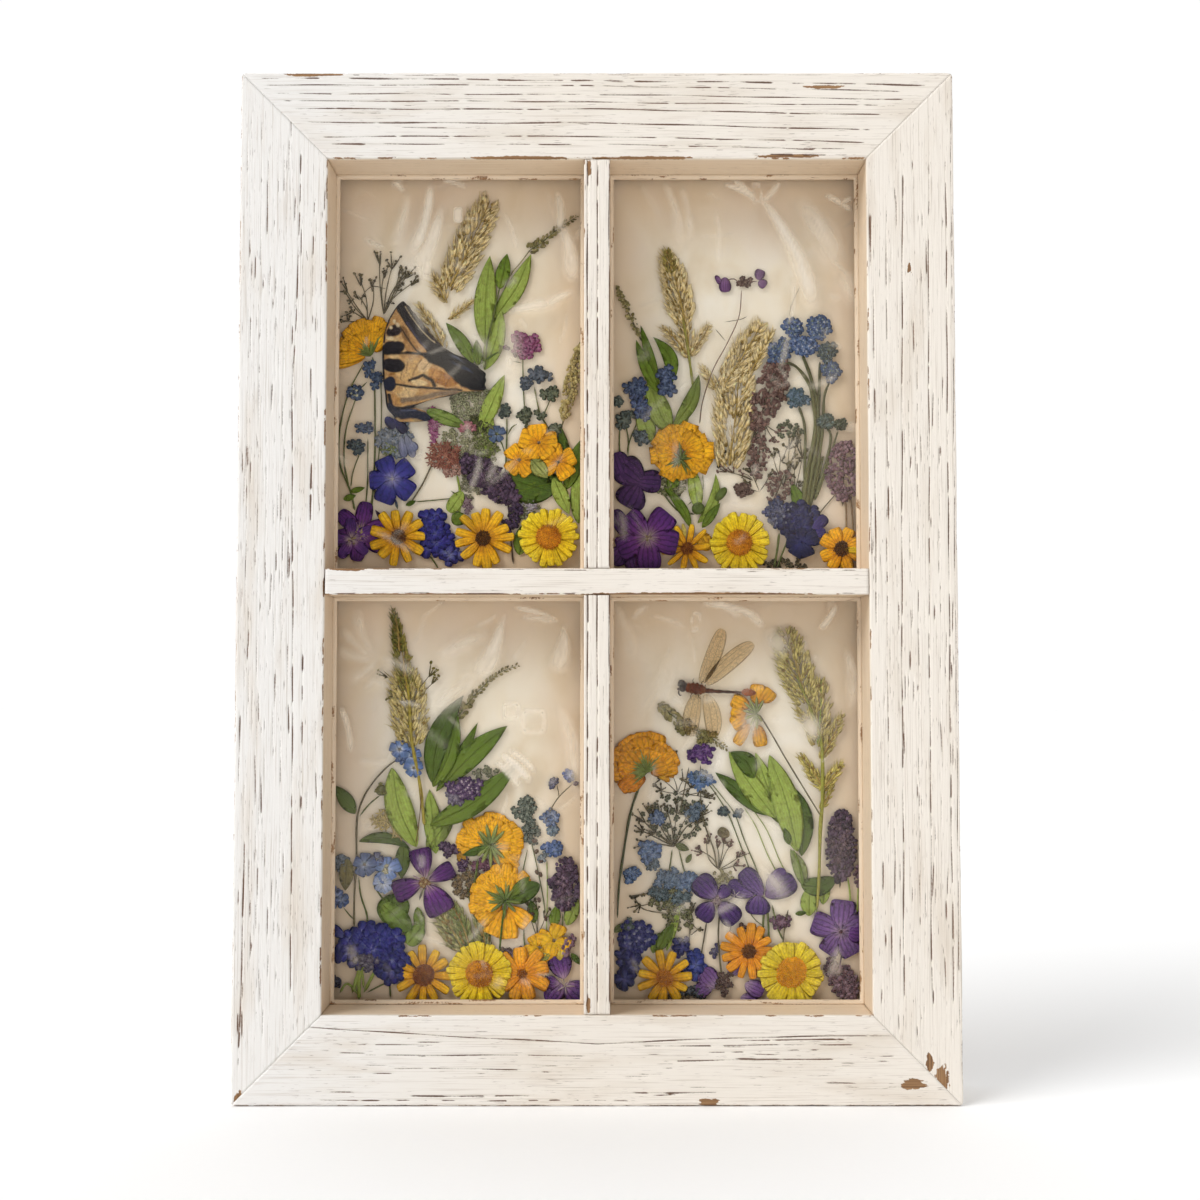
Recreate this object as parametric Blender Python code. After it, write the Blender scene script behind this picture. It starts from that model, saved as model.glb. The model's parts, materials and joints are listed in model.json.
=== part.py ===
"""Pressed flower frame: four window-like panes of dried flowers under clear film, in whitewashed wood.

Metres, +Z up. The front faces -Y. The origin is on the base, at the middle of the footprint.
"""

import math

import bmesh
import bpy
from mathutils import Vector

MM = 0.001

# Driving dimensions
WIDTH = 305 * MM
HEIGHT = 437 * MM
DEPTH = 38 * MM
BOARD_FACE = 37.5 * MM
MUNTIN_FACE = 11 * MM
MUNTIN_SETBACK = 0.4 * MM
FILM_SETBACK = 25 * MM
FILM_THICKNESS = 0.4 * MM
BACKING_THICKNESS = 4 * MM
RABBET_WIDTH = 8 * MM
LAYER_THICKNESS = 0.5 * MM
LAYER_COUNT = 5
GAP = 0.3 * MM
BOARD_BEVEL = 0.8 * MM
SHEET_BEVEL = 0.1 * MM

# Depths along Y, from the front face to the back
FRONT_Y = -DEPTH / 2
BACK_Y = DEPTH / 2
FILM_Y = FRONT_Y + FILM_SETBACK
LAYER_PITCH = LAYER_THICKNESS + GAP
BACKING_Y = FILM_Y + FILM_THICKNESS + GAP + LAYER_COUNT * LAYER_PITCH
RABBET_Y = FILM_Y - GAP

# The opening and the middles of its four panes
OPENING_HALF_WIDTH = WIDTH / 2 - BOARD_FACE
OPENING_LOW = BOARD_FACE
OPENING_HIGH = HEIGHT - BOARD_FACE
CROSS_Z = HEIGHT / 2
PANE_X = (OPENING_HALF_WIDTH + MUNTIN_FACE / 2) / 2
PANE_RISE = (OPENING_HIGH - CROSS_Z + MUNTIN_FACE / 2) / 2
PANES = {
    "upper_left": (-1, 1),
    "upper_right": (1, 1),
    "lower_left": (-1, -1),
    "lower_right": (1, -1),
}

# sRGB colours
WHITEWASH = "f0ebe2"
BACKING_CREAM = "d9cfc0"
CLEAR = "f4f6f5"
LEMON = "ecca1c"
GOLD = "e2a416"
ORANGE = "d97a14"
VIOLET = "57307d"
INDIGO = "2b2a66"
BLUE = "6a83b8"
GREEN = "5d6b35"
PALE_GREEN = "8d9468"
STRAW = "c9b894"
WING = "d9c98e"
INSECT_BROWN = "4a3a2a"


def linear(channel):
    """One sRGB channel as the linear value that a shader takes."""
    if channel <= 0.04045:
        return channel / 12.92
    return ((channel + 0.055) / 1.055) ** 2.4


def material(name, colour, roughness, alpha=1.0):
    """A Principled material of one sRGB hex colour."""
    made = bpy.data.materials.get(name) or bpy.data.materials.new(name)
    made.use_nodes = True
    shader = made.node_tree.nodes["Principled BSDF"]
    channels = [linear(int(colour[i : i + 2], 16) / 255) for i in (0, 2, 4)]
    shader.inputs["Base Color"].default_value = (*channels, 1)
    shader.inputs["Roughness"].default_value = roughness
    shader.inputs["Metallic"].default_value = 0
    shader.inputs["Alpha"].default_value = alpha
    return made


def add_object(name, mesh, finish, bevel=0.0, segments=1):
    """Put a mesh in the scene with its material and, if asked, a bevel on its sharp edges."""
    mesh.materials.append(finish)
    piece = bpy.data.objects.new(name, mesh)
    bpy.context.scene.collection.objects.link(piece)
    if bevel:
        rounding = piece.modifiers.new("Bevel", "BEVEL")
        rounding.width = bevel
        rounding.segments = segments
        rounding.limit_method = "ANGLE"
    return piece


def loft_mesh(name, first, last):
    """A closed prism between two loops of points, with its faces turned outwards."""
    shape = bmesh.new()
    loops = [[shape.verts.new(point) for point in loop] for loop in (first, last)]
    count = len(first)
    for i in range(count):
        j = (i + 1) % count
        shape.faces.new((loops[0][i], loops[0][j], loops[1][j], loops[1][i]))
    shape.faces.new(loops[0])
    shape.faces.new(loops[1])
    bmesh.ops.recalc_face_normals(shape, faces=shape.faces)
    mesh = bpy.data.meshes.new(name)
    shape.to_mesh(mesh)
    shape.free()
    return mesh


def box_mesh(name, low, high):
    """A block between two opposite corners."""
    loops = []
    for y in (low[1], high[1]):
        corners = ((low[0], low[2]), (high[0], low[2]), (high[0], high[2]), (low[0], high[2]))
        loops.append([(x, y, z) for x, z in corners])
    return loft_mesh(name, *loops)


# The wooden frame


def board_profile():
    """The section of a board: distance in from its outer edge, and Y. The rabbet is at the inner back."""
    shoulder = BOARD_FACE - RABBET_WIDTH
    return (
        (0, FRONT_Y),
        (BOARD_FACE, FRONT_Y),
        (BOARD_FACE, RABBET_Y),
        (shoulder, RABBET_Y),
        (shoulder, BACK_Y),
        (0, BACK_Y),
    )


def mitred_board(name, start, end, inward, finish):
    """A board between two outer corners of the frame, cut at 45 degrees with half the gap at each end."""
    start, end, inward = Vector(start), Vector(end), Vector(inward)
    along = (end - start).normalized()
    relief = GAP / math.sqrt(2)
    loops = []
    for corner, direction in ((start, along), (end, -along)):
        loops.append(
            [
                corner + inward * depth_in + direction * (depth_in + relief) + Vector((0, y, 0))
                for depth_in, y in board_profile()
            ]
        )
    add_object(name, loft_mesh(name, *loops), finish, BOARD_BEVEL, 2)


def add_boards():
    wood = material("Whitewashed wood", WHITEWASH, 0.75)
    half = WIDTH / 2
    low_left, low_right = (-half, 0, 0), (half, 0, 0)
    high_left, high_right = (-half, 0, HEIGHT), (half, 0, HEIGHT)
    mitred_board("stile_left", low_left, high_left, (1, 0, 0), wood)
    mitred_board("stile_right", low_right, high_right, (-1, 0, 0), wood)
    mitred_board("rail_top", high_left, high_right, (0, 0, -1), wood)
    mitred_board("rail_bottom", low_left, low_right, (0, 0, 1), wood)


def add_muntins():
    """The crossbar runs the whole width, and an upright bar butts against it above and below."""
    wood = material("Whitewashed wood", WHITEWASH, 0.75)
    front, back = FRONT_Y + MUNTIN_SETBACK, FILM_Y - GAP
    half_face = MUNTIN_FACE / 2
    half_width = OPENING_HALF_WIDTH - GAP
    spans = {
        "muntin_horizontal": (-half_width, half_width, CROSS_Z - half_face, CROSS_Z + half_face),
        "muntin_upper": (-half_face, half_face, CROSS_Z + half_face + GAP, OPENING_HIGH - GAP),
        "muntin_lower": (-half_face, half_face, OPENING_LOW + GAP, CROSS_Z - half_face - GAP),
    }
    for name, (left, right, low, high) in spans.items():
        mesh = box_mesh(name, (left, front, low), (right, back, high))
        add_object(name, mesh, wood, BOARD_BEVEL, 2)


def add_film():
    """One clear sheet behind each pane. The sheets meet behind the muntins and reach into the rabbet."""
    clear = material("Clear film", CLEAR, 0.08, 0.25)
    reach_x = OPENING_HALF_WIDTH + RABBET_WIDTH - GAP
    reach_z = OPENING_HIGH + RABBET_WIDTH - GAP - CROSS_Z
    for pane, (side, level) in PANES.items():
        xs = sorted((side * GAP, side * reach_x))
        zs = sorted((CROSS_Z + level * GAP, CROSS_Z + level * reach_z))
        mesh = box_mesh(pane, (xs[0], FILM_Y, zs[0]), (xs[1], FILM_Y + FILM_THICKNESS, zs[1]))
        add_object("film_" + pane, mesh, clear)


def add_backing():
    cream = material("Pearly cream board", BACKING_CREAM, 0.45)
    half = OPENING_HALF_WIDTH + RABBET_WIDTH - GAP
    low = OPENING_LOW - RABBET_WIDTH + GAP
    high = OPENING_HIGH + RABBET_WIDTH - GAP
    mesh = box_mesh("backing", (-half, BACKING_Y, low), (half, BACKING_Y + BACKING_THICKNESS, high))
    add_object("backing_board", mesh, cream, SHEET_BEVEL)


# Outlines of the specimens, in millimetres across a pane: x to the right and z up from the pane's middle


def rosette(x, z, radius, petals, notch=0.72, turn=0):
    """An open flower from the front: a notch, then a blunt tip, for each petal."""
    points = []
    for petal in range(petals):
        for share, reach in ((0, notch), (0.3, 0.97), (0.5, 1), (0.7, 0.97)):
            angle = math.radians(turn) + math.tau * (petal + share) / petals
            points.append((x + radius * reach * math.cos(angle), z + radius * reach * math.sin(angle)))
    return points


def cluster(x, z, width, height, lobes=8):
    """A pressed head of small flowers: an ellipse with a scalloped edge."""
    points = []
    for step in range(3 * lobes):
        angle = math.tau * step / (3 * lobes)
        reach = 0.82 if step % 3 == 0 else 1
        points.append((x + width / 2 * reach * math.cos(angle), z + height / 2 * reach * math.sin(angle)))
    return points


def fan(x, z, radius, facing, sweep, lobes=7):
    """A double flower pressed from the side: lobes on an arc about the calyx at x, z."""
    points = []
    start = math.radians(facing - sweep / 2)
    for step in range(3 * lobes + 1):
        angle = start + math.radians(sweep) * step / (3 * lobes)
        reach = 0.86 if step % 3 == 0 else 1
        points.append((x + radius * reach * math.cos(angle), z + radius * reach * math.sin(angle)))
    calyx = math.radians(facing + 180)
    points.append((x + 0.28 * radius * math.cos(calyx), z + 0.28 * radius * math.sin(calyx)))
    return points


def along_axis(base, tip, sides):
    """Points given as a share of the axis and an offset in mm to its left, from base to tip."""
    axis_x, axis_z = tip[0] - base[0], tip[1] - base[1]
    length = math.hypot(axis_x, axis_z)
    points = []
    for share, offset in sides:
        x = base[0] + axis_x * share - axis_z / length * offset
        z = base[1] + axis_z * share + axis_x / length * offset
        points.append((x, z))
    return points


def leaf(base, tip, width, steps=7):
    """A lance-shaped leaf, widest a little below its middle."""
    shares = [step / steps for step in range(1, steps)]
    half_widths = [width / 2 * math.sin(math.pi * share**0.85) for share in shares]
    right = [(share, -half) for share, half in zip(shares, half_widths)]
    left = [(share, half) for share, half in reversed(list(zip(shares, half_widths)))]
    return along_axis(base, tip, [(0, 0), *right, (1, 0), *left])


def plume(base, tip, width, tufts=7):
    """A grass plume: tufts that stand out from its axis, longest above the middle."""
    right = []
    for tuft in range(tufts):
        share = (tuft + 0.6) / (tufts + 0.6)
        half = width / 2 * math.sin(math.pi * min(1, 0.12 + 0.8 * share))
        right.append((share - 0.05, -0.45 * half))
        right.append((share + 0.04, -half))
    left = [(share, -offset) for share, offset in reversed(right)]
    return along_axis(base, tip, [(0, 0), *right, (1, 0), *left])


def butterfly():
    """A swallowtail with its wings closed: a tall forewing over a hindwing that ends in a short tail."""
    forewing = [(11, -7), (8, 2), (-5, 11), (-15, 22), (-25, 32), (-30, 27), (-33, 16)]
    hindwing = [(-34, 4), (-33, -6), (-31, -15), (-26, -21), (-19, -20), (-12, -14), (-1, -12), (7, -11)]
    return forewing + hindwing


def dragonfly():
    """A dragonfly from above: head to the left, a long abdomen, and four narrow wings."""
    upper = [(-25, 52), (-21, 52), (-19, 50), (-10, 62), (-6, 74), (-2, 71), (-4, 60), (-10, 51)]
    upper += [(-6, 54), (4, 68), (8, 67), (7, 60), (-4, 49), (8, 49), (11, 47)]
    lower = [(8, 45), (-6, 45), (-7, 34), (-10, 28), (-13, 32), (-13, 44), (-15, 36), (-20, 28)]
    lower += [(-23, 31), (-20, 45), (-25, 48)]
    return upper + lower


# name: (material, layer counted from the backing, outline)
SPECIMENS = {
    "upper_left": {
        "plume": (STRAW, 1, plume((-6, 20), (16, 82), 27)),
        "marigold": (GOLD, 1, fan(-40, 8, 15, 118, 150)),
        "butterfly": (WING, 3, butterfly()),
        "leaf_pale": (PALE_GREEN, 2, leaf((11, 14), (12, 54), 10)),
        "leaf_slim": (PALE_GREEN, 1, leaf((15, 26), (31, 54), 7)),
        "blue_flower": (BLUE, 2, rosette(-30, -46, 9, 5)),
        "indigo": (INDIGO, 1, cluster(-11, -72, 17, 27)),
        "violet": (VIOLET, 1, cluster(-43, -71, 22, 27, 5)),
        "coreopsis": (GOLD, 2, rosette(-27, -72, 13, 11)),
        "gold_daisy": (GOLD, 2, rosette(11, -73, 13, 13)),
        "lemon_daisy": (LEMON, 3, rosette(39, -72, 13.5, 15)),
        "orange_bloom": (ORANGE, 2, cluster(35, -40, 25, 20, 5)),
    },
    "upper_right": {
        "plume_pale": (STRAW, 1, plume((-20, 10), (-29, 57), 22)),
        "plume_gold": (STRAW, 1, plume((-7, -42), (17, 25), 30)),
        "marigold": (ORANGE, 2, rosette(-23, -34, 14, 9, 0.85)),
        "violet_upper": (VIOLET, 1, cluster(-42, -49, 22, 23, 5)),
        "violet_lower": (VIOLET, 3, cluster(-40, -73, 26, 25, 5)),
        "coreopsis": (GOLD, 2, rosette(-21, -76, 11, 9, 0.45)),
        "lemon_daisy": (LEMON, 3, rosette(2, -73, 13.5, 16)),
        "navy_flower": (INDIGO, 2, cluster(30, -71, 20, 22, 6)),
        "small_orange": (ORANGE, 3, rosette(45, -77, 9, 6)),
        "heliotrope": (BLUE, 2, cluster(33, 11, 22, 26)),
    },
    "lower_left": {
        "plume": (STRAW, 1, plume((-21, 22), (-28, 84), 25)),
        "leaf_dark": (GREEN, 2, leaf((-11, 7), (2, 45), 10)),
        "leaf_broad": (GREEN, 1, leaf((-3, 10), (21, 31), 10)),
        "leaf_low": (GREEN, 3, leaf((-11, -11), (25, 15), 10)),
        "geranium": (VIOLET, 2, rosette(-14, -35, 15, 5, 0.5)),
        "delphinium": (BLUE, 1, cluster(-37, -65, 34, 25)),
        "coreopsis": (GOLD, 2, rosette(-15, -74, 13, 10)),
        "lemon_daisy": (LEMON, 3, rosette(10, -73, 13.5, 16)),
        "orange_coreopsis": (ORANGE, 2, rosette(28, -75, 11, 8)),
        "violet": (VIOLET, 1, cluster(45, -78, 20, 21, 5)),
        "marigold_upper": (ORANGE, 1, cluster(14, -16, 29, 22, 7)),
        "marigold_lower": (ORANGE, 2, rosette(17, -46, 14, 9, 0.85)),
    },
    "lower_right": {
        "dragonfly": (INSECT_BROWN, 2, dragonfly()),
        "orange_bloom": (ORANGE, 1, cluster(6, 37, 21, 28, 5)),
        "marigold": (GOLD, 1, fan(-38, 12, 17, 110, 150)),
        "plume": (STRAW, 2, plume((32, 38), (24, 76), 20)),
        "leaf_pale": (PALE_GREEN, 2, leaf((26, -22), (15, 19), 11)),
        "violet_left": (VIOLET, 2, rosette(-8, -41, 11.5, 5)),
        "violet_middle": (VIOLET, 1, cluster(10, -39, 30, 19, 6)),
        "violet_right": (VIOLET, 1, rosette(44, -57, 13, 5)),
        "coreopsis": (GOLD, 2, rosette(-31, -75, 12, 10)),
        "orange_coreopsis": (ORANGE, 2, rosette(5, -64, 11.5, 8)),
        "lemon_daisy": (LEMON, 3, rosette(23, -73, 14, 16)),
        "indigo": (INDIGO, 1, cluster(-43, -65, 16, 28)),
    },
}


def add_specimens():
    """Each specimen is a thin plate on its own layer between the backing and the film."""
    for pane, specimens in SPECIMENS.items():
        side, level = PANES[pane]
        middle_x, middle_z = side * PANE_X, CROSS_Z + level * PANE_RISE
        for name, (colour, layer, outline) in specimens.items():
            back = BACKING_Y - GAP - layer * LAYER_PITCH
            loops = []
            for y in (back - LAYER_THICKNESS, back):
                loops.append([(middle_x + x * MM, y, middle_z + z * MM) for x, z in outline])
            node = f"{pane}_{name}"
            add_object(node, loft_mesh(node, *loops), material("Dried " + colour, colour, 0.8))


def main():
    for old in list(bpy.data.objects):
        bpy.data.objects.remove(old)
    add_boards()
    add_muntins()
    add_film()
    add_backing()
    add_specimens()


main()
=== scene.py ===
"""Pressed flower frame: dried flowers, a butterfly and a dragonfly under clear film,
in a whitewashed window frame.

Lengths are millimetres until a mesh is made. +Z is up and the front faces -Y.
A pane's own places are (right, up) from its middle, and a depth is a Y.
"""

import json

import bmesh
import bpy
import numpy as np
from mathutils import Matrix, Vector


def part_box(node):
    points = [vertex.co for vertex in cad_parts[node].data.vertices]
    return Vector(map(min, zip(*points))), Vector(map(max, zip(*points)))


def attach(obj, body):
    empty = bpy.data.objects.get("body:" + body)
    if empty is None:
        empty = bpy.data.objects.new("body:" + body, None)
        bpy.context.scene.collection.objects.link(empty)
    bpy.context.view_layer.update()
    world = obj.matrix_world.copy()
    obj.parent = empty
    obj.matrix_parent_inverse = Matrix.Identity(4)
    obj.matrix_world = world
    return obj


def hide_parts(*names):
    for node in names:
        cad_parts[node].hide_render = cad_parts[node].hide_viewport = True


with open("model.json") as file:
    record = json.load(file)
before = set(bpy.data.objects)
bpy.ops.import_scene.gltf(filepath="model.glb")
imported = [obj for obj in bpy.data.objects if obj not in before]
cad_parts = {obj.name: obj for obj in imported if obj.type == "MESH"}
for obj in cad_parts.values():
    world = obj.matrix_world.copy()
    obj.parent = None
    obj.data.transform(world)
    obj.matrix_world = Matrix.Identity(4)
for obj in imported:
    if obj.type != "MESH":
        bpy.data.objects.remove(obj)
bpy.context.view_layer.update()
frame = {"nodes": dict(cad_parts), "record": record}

MM = 0.001
TAU = 2 * np.pi


# Nodes, colours and noise


def linear(colour):
    """An sRGB hex colour as linear red, green, blue and an alpha of 1."""
    channels = [int(colour[i : i + 2], 16) / 255 for i in (1, 3, 5)]
    return tuple(c / 12.92 if c <= 0.04045 else ((c + 0.055) / 1.055) ** 2.4 for c in channels) + (1.0,)


def add(tree, kind, inputs=None, stops=(), **settings):
    """Adds a node. settings are its properties, inputs its sockets: each a value, or an output to link.
    stops are a ramp's."""
    made = tree.nodes.new(kind)
    for key, value in settings.items():
        setattr(made, key, value)
    for key, value in (inputs or {}).items():
        if isinstance(value, bpy.types.NodeSocket):
            tree.links.new(value, made.inputs[key])
        elif isinstance(value, str):
            made.inputs[key].default_value = linear(value)
        else:
            made.inputs[key].default_value = value
    for i, (place, value) in enumerate(stops):
        ramp = made.color_ramp
        stop = ramp.elements[i] if i < len(ramp.elements) else ramp.elements.new(place)
        stop.position = place
        stop.color = linear(value) if isinstance(value, str) else (value, value, value, 1)
    return made


def new_material(name):
    """An empty node material, and the output that its surface goes to."""
    material = bpy.data.materials.new(name)
    material.use_nodes = True
    material.node_tree.nodes.clear()
    return material, material.node_tree, add(material.node_tree, "ShaderNodeOutputMaterial")


def cloud(rng, u, v, step_u, step_v):
    """Smooth noise from 0 to 1: random heights on a grid of step_u by step_v, eased between the grid's
    points."""
    u = (u - u.min()) / step_u
    v = (v - v.min()) / step_v
    heights = rng.random((int(u.max()) + 3, int(v.max()) + 3))
    i, j = u.astype(int), v.astype(int)
    a, b = u - i, v - j
    a, b = a * a * (3 - 2 * a), b * b * (3 - 2 * b)
    low = heights[i, j] * (1 - b) + heights[i, j + 1] * b
    high = heights[i + 1, j] * (1 - b) + heights[i + 1, j + 1] * b
    return low * (1 - a) + high * a


def ease(low, high, x):
    """0 below low, 1 above high, and a smooth step between."""
    x = np.clip((x - low) / (high - low), 0, 1)
    return x * x * (3 - 2 * x)


# Meshes


def make_piece(name, points, faces, material, stands_for=(), attributes=None, caps=(), flat=False):
    """One mesh object from points in millimetres. Its winding is turned if its volume comes out negative."""
    points = np.asarray(points, float).reshape(-1, 3)
    faces = np.asarray(faces, np.int64)
    corners = points[faces]
    spans = np.cross(corners[:, 1] - corners[:, 0], corners[:, 2] - corners[:, 0])
    spans += np.cross(corners[:, 2] - corners[:, 0], corners[:, 3] - corners[:, 0])
    volume = np.einsum("ij,ij->", spans, corners.mean(1) - points.mean(0))
    if volume < 0:
        faces = faces[:, ::-1]
        caps = [cap[::-1] for cap in caps]
    mesh = bpy.data.meshes.new(name)
    mesh.from_pydata((points * MM).tolist(), [], faces.tolist() + [list(cap) for cap in caps])
    for key, values in (attributes or {}).items():
        values = np.asarray(values, np.float32)
        if values.ndim == 1:
            mesh.attributes.new(key, "FLOAT", "POINT").data.foreach_set("value", values)
        elif values.shape[1] == 4:
            mesh.attributes.new(key, "FLOAT_COLOR", "POINT").data.foreach_set("color", values.ravel())
        else:
            mesh.attributes.new(key, "FLOAT_VECTOR", "POINT").data.foreach_set("vector", values.ravel())
    mesh.polygons.foreach_set("use_smooth", np.full(len(mesh.polygons), not flat))
    mesh.materials.append(material)
    mesh.validate()
    piece = bpy.data.objects.new(name, mesh)
    bpy.context.scene.collection.objects.link(piece)
    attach(piece, "root")
    if stands_for:
        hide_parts(*stands_for)
    return piece


def quads_of(index):
    """Quads of a grid of point numbers, over its last two axes."""
    return np.stack([index[..., :-1, :-1], index[..., :-1, 1:], index[..., 1:, 1:], index[..., 1:, :-1]], -1)


def ring_faces(rows, columns):
    """Quads of a grid whose last column joins its first."""
    index = np.arange(rows * columns).reshape(rows, columns)
    return quads_of(np.concatenate([index, index[:, :1]], axis=1)).reshape(-1, 4)


# Whitewashed woodwork

BOARD_FACE = 37.5
FRONT, BACK = -19.0, 19.0
RABBET_Y, RABBET_WIDTH = 5.7, 8.0
OUTER_ARRIS, INNER_ARRIS = 1.1, 0.6
CORNER_ROUND = 2.6
HALF_WIDTH, HEIGHT = 152.5, 437.0


def whitewash():
    """Pine, wire-brushed and painted with a thin white wash: cream paint that is dark in the open grain and
    worn to bare brown wood at the edges. "grain" holds (along, across, board) in millimetres."""
    material, tree, out = new_material("whitewashed_pine")
    grain = add(tree, "ShaderNodeAttribute", attribute_name="grain").outputs["Vector"]
    groove = add(tree, "ShaderNodeAttribute", attribute_name="groove").outputs["Fac"]
    worn = add(tree, "ShaderNodeAttribute", attribute_name="worn").outputs["Fac"]
    wall = add(tree, "ShaderNodeAttribute", attribute_name="wall").outputs["Fac"]
    place = add(tree, "ShaderNodeTexCoord").outputs["Object"]
    across = add(tree, "ShaderNodeSeparateXYZ", {0: place}).outputs["X"]

    # Grain streaks: about 0.6 mm wide and 40 mm long.
    streak_at = add(tree, "ShaderNodeMapping", {0: grain, 3: (0.025, 1.7, 1.0)}).outputs[0]
    streak = add(tree, "ShaderNodeTexNoise", {0: streak_at, "Scale": 1.0, "Detail": 3.0,
                                              "Roughness": 0.6}).outputs[0]
    # Pores: dashes 0.3 mm wide and 7 mm long, where the wash never filled the grain.
    pore_at = add(tree, "ShaderNodeMapping", {0: grain, 3: (0.13, 3.0, 1.0)}).outputs[0]
    pore = add(tree, "ShaderNodeTexNoise", {0: pore_at, "Scale": 1.0, "Detail": 2.0,
                                            "Roughness": 0.55}).outputs[0]
    # Patches where the wash is thinner, a few centimetres long.
    patch_at = add(tree, "ShaderNodeMapping", {0: grain, 3: (0.018, 0.09, 1.0)}).outputs[0]
    patch = add(tree, "ShaderNodeTexNoise", {0: patch_at, "Scale": 1.0, "Detail": 3.0}).outputs[0]
    speck = add(tree, "ShaderNodeTexNoise", {0: grain, "Scale": 0.9, "Detail": 4.0,
                                             "Roughness": 0.7}).outputs[0]

    warm = add(tree, "ShaderNodeMapRange", {0: across, 1: -0.135, 2: -0.02}).outputs[0]
    wash = add(tree, "ShaderNodeMix", {0: warm, 6: "#f5f2ee", 7: "#f6eee3"}, data_type="RGBA").outputs[2]
    thin = add(tree, "ShaderNodeMapRange", {0: patch, 1: 0.5, 2: 0.75, 3: 0.0, 4: 0.55}).outputs[0]
    wash = add(tree, "ShaderNodeMix", {0: thin, 6: wash, 7: "#ddcfbd"}, data_type="RGBA").outputs[2]
    shade = add(tree, "ShaderNodeMapRange", {0: streak, 1: 0.54, 2: 0.74, 3: 0.0, 4: 0.62}).outputs[0]
    wash = add(tree, "ShaderNodeMix", {0: shade, 6: wash, 7: "#b5a594"}, data_type="RGBA").outputs[2]

    bare = add(
        tree,
        "ShaderNodeValToRGB",
        {0: streak},
        stops=[(0.3, "#6b4a32"), (0.55, "#9c7650"), (0.75, "#bd9a72")],
    ).outputs[0]
    dark = add(tree, "ShaderNodeMix", {0: patch, 6: "#33271f", 7: "#7d5335"}, data_type="RGBA").outputs[2]

    # The recess walls are a warm beige: partly thinner paint, partly painted shade of the recess with warm
    # bounce light.
    wall_tone_and_shade = add(tree, "ShaderNodeMix", {0: streak, 6: "#ead8be", 7: "#d2b592"}, data_type="RGBA").outputs[2]
    some_wall = add(tree, "ShaderNodeMath", {0: wall, 1: 0.85}, operation="MULTIPLY").outputs[0]
    colour = add(tree, "ShaderNodeMix", {0: some_wall, 6: wash, 7: wall_tone_and_shade}, data_type="RGBA").outputs[2]
    flecks = add(tree, "ShaderNodeMapRange", {0: pore, 1: 0.655, 2: 0.71}).outputs[0]
    gate = add(tree, "ShaderNodeMapRange", {0: patch, 1: 0.34, 2: 0.56, 3: 0.0, 4: 0.9}).outputs[0]
    flecks = add(tree, "ShaderNodeMath", {0: flecks, 1: gate}, operation="MULTIPLY").outputs[0]
    colour = add(tree, "ShaderNodeMix", {0: flecks, 6: colour, 7: dark}, data_type="RGBA").outputs[2]
    # The worn edge is ragged: its spread is broken by the specks before it is cut off.
    ragged = add(tree, "ShaderNodeMath", {0: speck, 1: 0.5}, operation="SUBTRACT").outputs[0]
    ragged = add(tree, "ShaderNodeMath", {0: ragged, 1: 1.4, 2: worn}, operation="MULTIPLY_ADD").outputs[0]
    ragged = add(tree, "ShaderNodeMapRange", {0: ragged, 1: 0.42, 2: 0.6}).outputs[0]
    colour = add(tree, "ShaderNodeMix", {0: ragged, 6: colour, 7: bare}, data_type="RGBA").outputs[2]
    broken = add(tree, "ShaderNodeMath", {0: speck, 1: -0.5}, operation="ADD").outputs[0]
    broken = add(tree, "ShaderNodeMath", {0: broken, 1: 0.5, 2: groove}, operation="MULTIPLY_ADD").outputs[0]
    cut = add(tree, "ShaderNodeMapRange", {0: broken, 1: 0.3, 2: 0.62, 4: 0.95}).outputs[0]
    colour = add(tree, "ShaderNodeMix", {0: cut, 6: colour, 7: dark}, data_type="RGBA").outputs[2]

    relief = add(tree, "ShaderNodeMath", {0: streak, 1: flecks}, operation="SUBTRACT").outputs[0]
    relief = add(tree, "ShaderNodeMath", {0: speck, 1: 0.35, 2: relief}, operation="MULTIPLY_ADD").outputs[0]
    bump = add(tree, "ShaderNodeBump", {"Strength": 0.35, "Distance": 0.0003, "Height": relief}).outputs[0]
    rough = add(tree, "ShaderNodeMapRange", {0: streak, 1: 0.3, 2: 0.7, 3: 0.5, 4: 0.72}).outputs[0]
    surface = add(
        tree,
        "ShaderNodeBsdfPrincipled",
        {"Base Color": colour, "Roughness": rough, "Normal": bump, "Specular IOR Level": 0.35},
    )
    tree.links.new(surface.outputs[0], out.inputs[0])
    return material


WHITEWASH = whitewash()


def rounded_section(corners, arrises, steps):
    """The points round a section whose corners are cut to quarter rounds, with each side filled at its own
    spacing. Each corner is (across, depth). A side's points run from the end of one round to the start of
    the next."""
    corners = np.array(corners, float)
    points = []
    for i, corner in enumerate(corners):
        back = corners[i - 1] - corner
        ahead = corners[(i + 1) % len(corners)] - corner
        back, ahead = back / np.hypot(*back), ahead / np.hypot(*ahead)
        radius = arrises[i]
        turn = np.linspace(0, np.pi / 2, 5 if radius > 0.3 else 2)[:, None]
        rounded = corner + radius * (back * (1 - np.sin(turn)) + ahead * (1 - np.cos(turn)))
        following = corners[(i + 1) % len(corners)] - ahead * arrises[(i + 1) % len(corners)]
        count = max(int(np.hypot(*(following - rounded[-1])) / steps[i]), 1)
        side = rounded[-1] + (following - rounded[-1]) * (np.arange(1, count) / count)[:, None]
        points.append(np.concatenate([rounded, side]))
    return np.concatenate(points)


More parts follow.
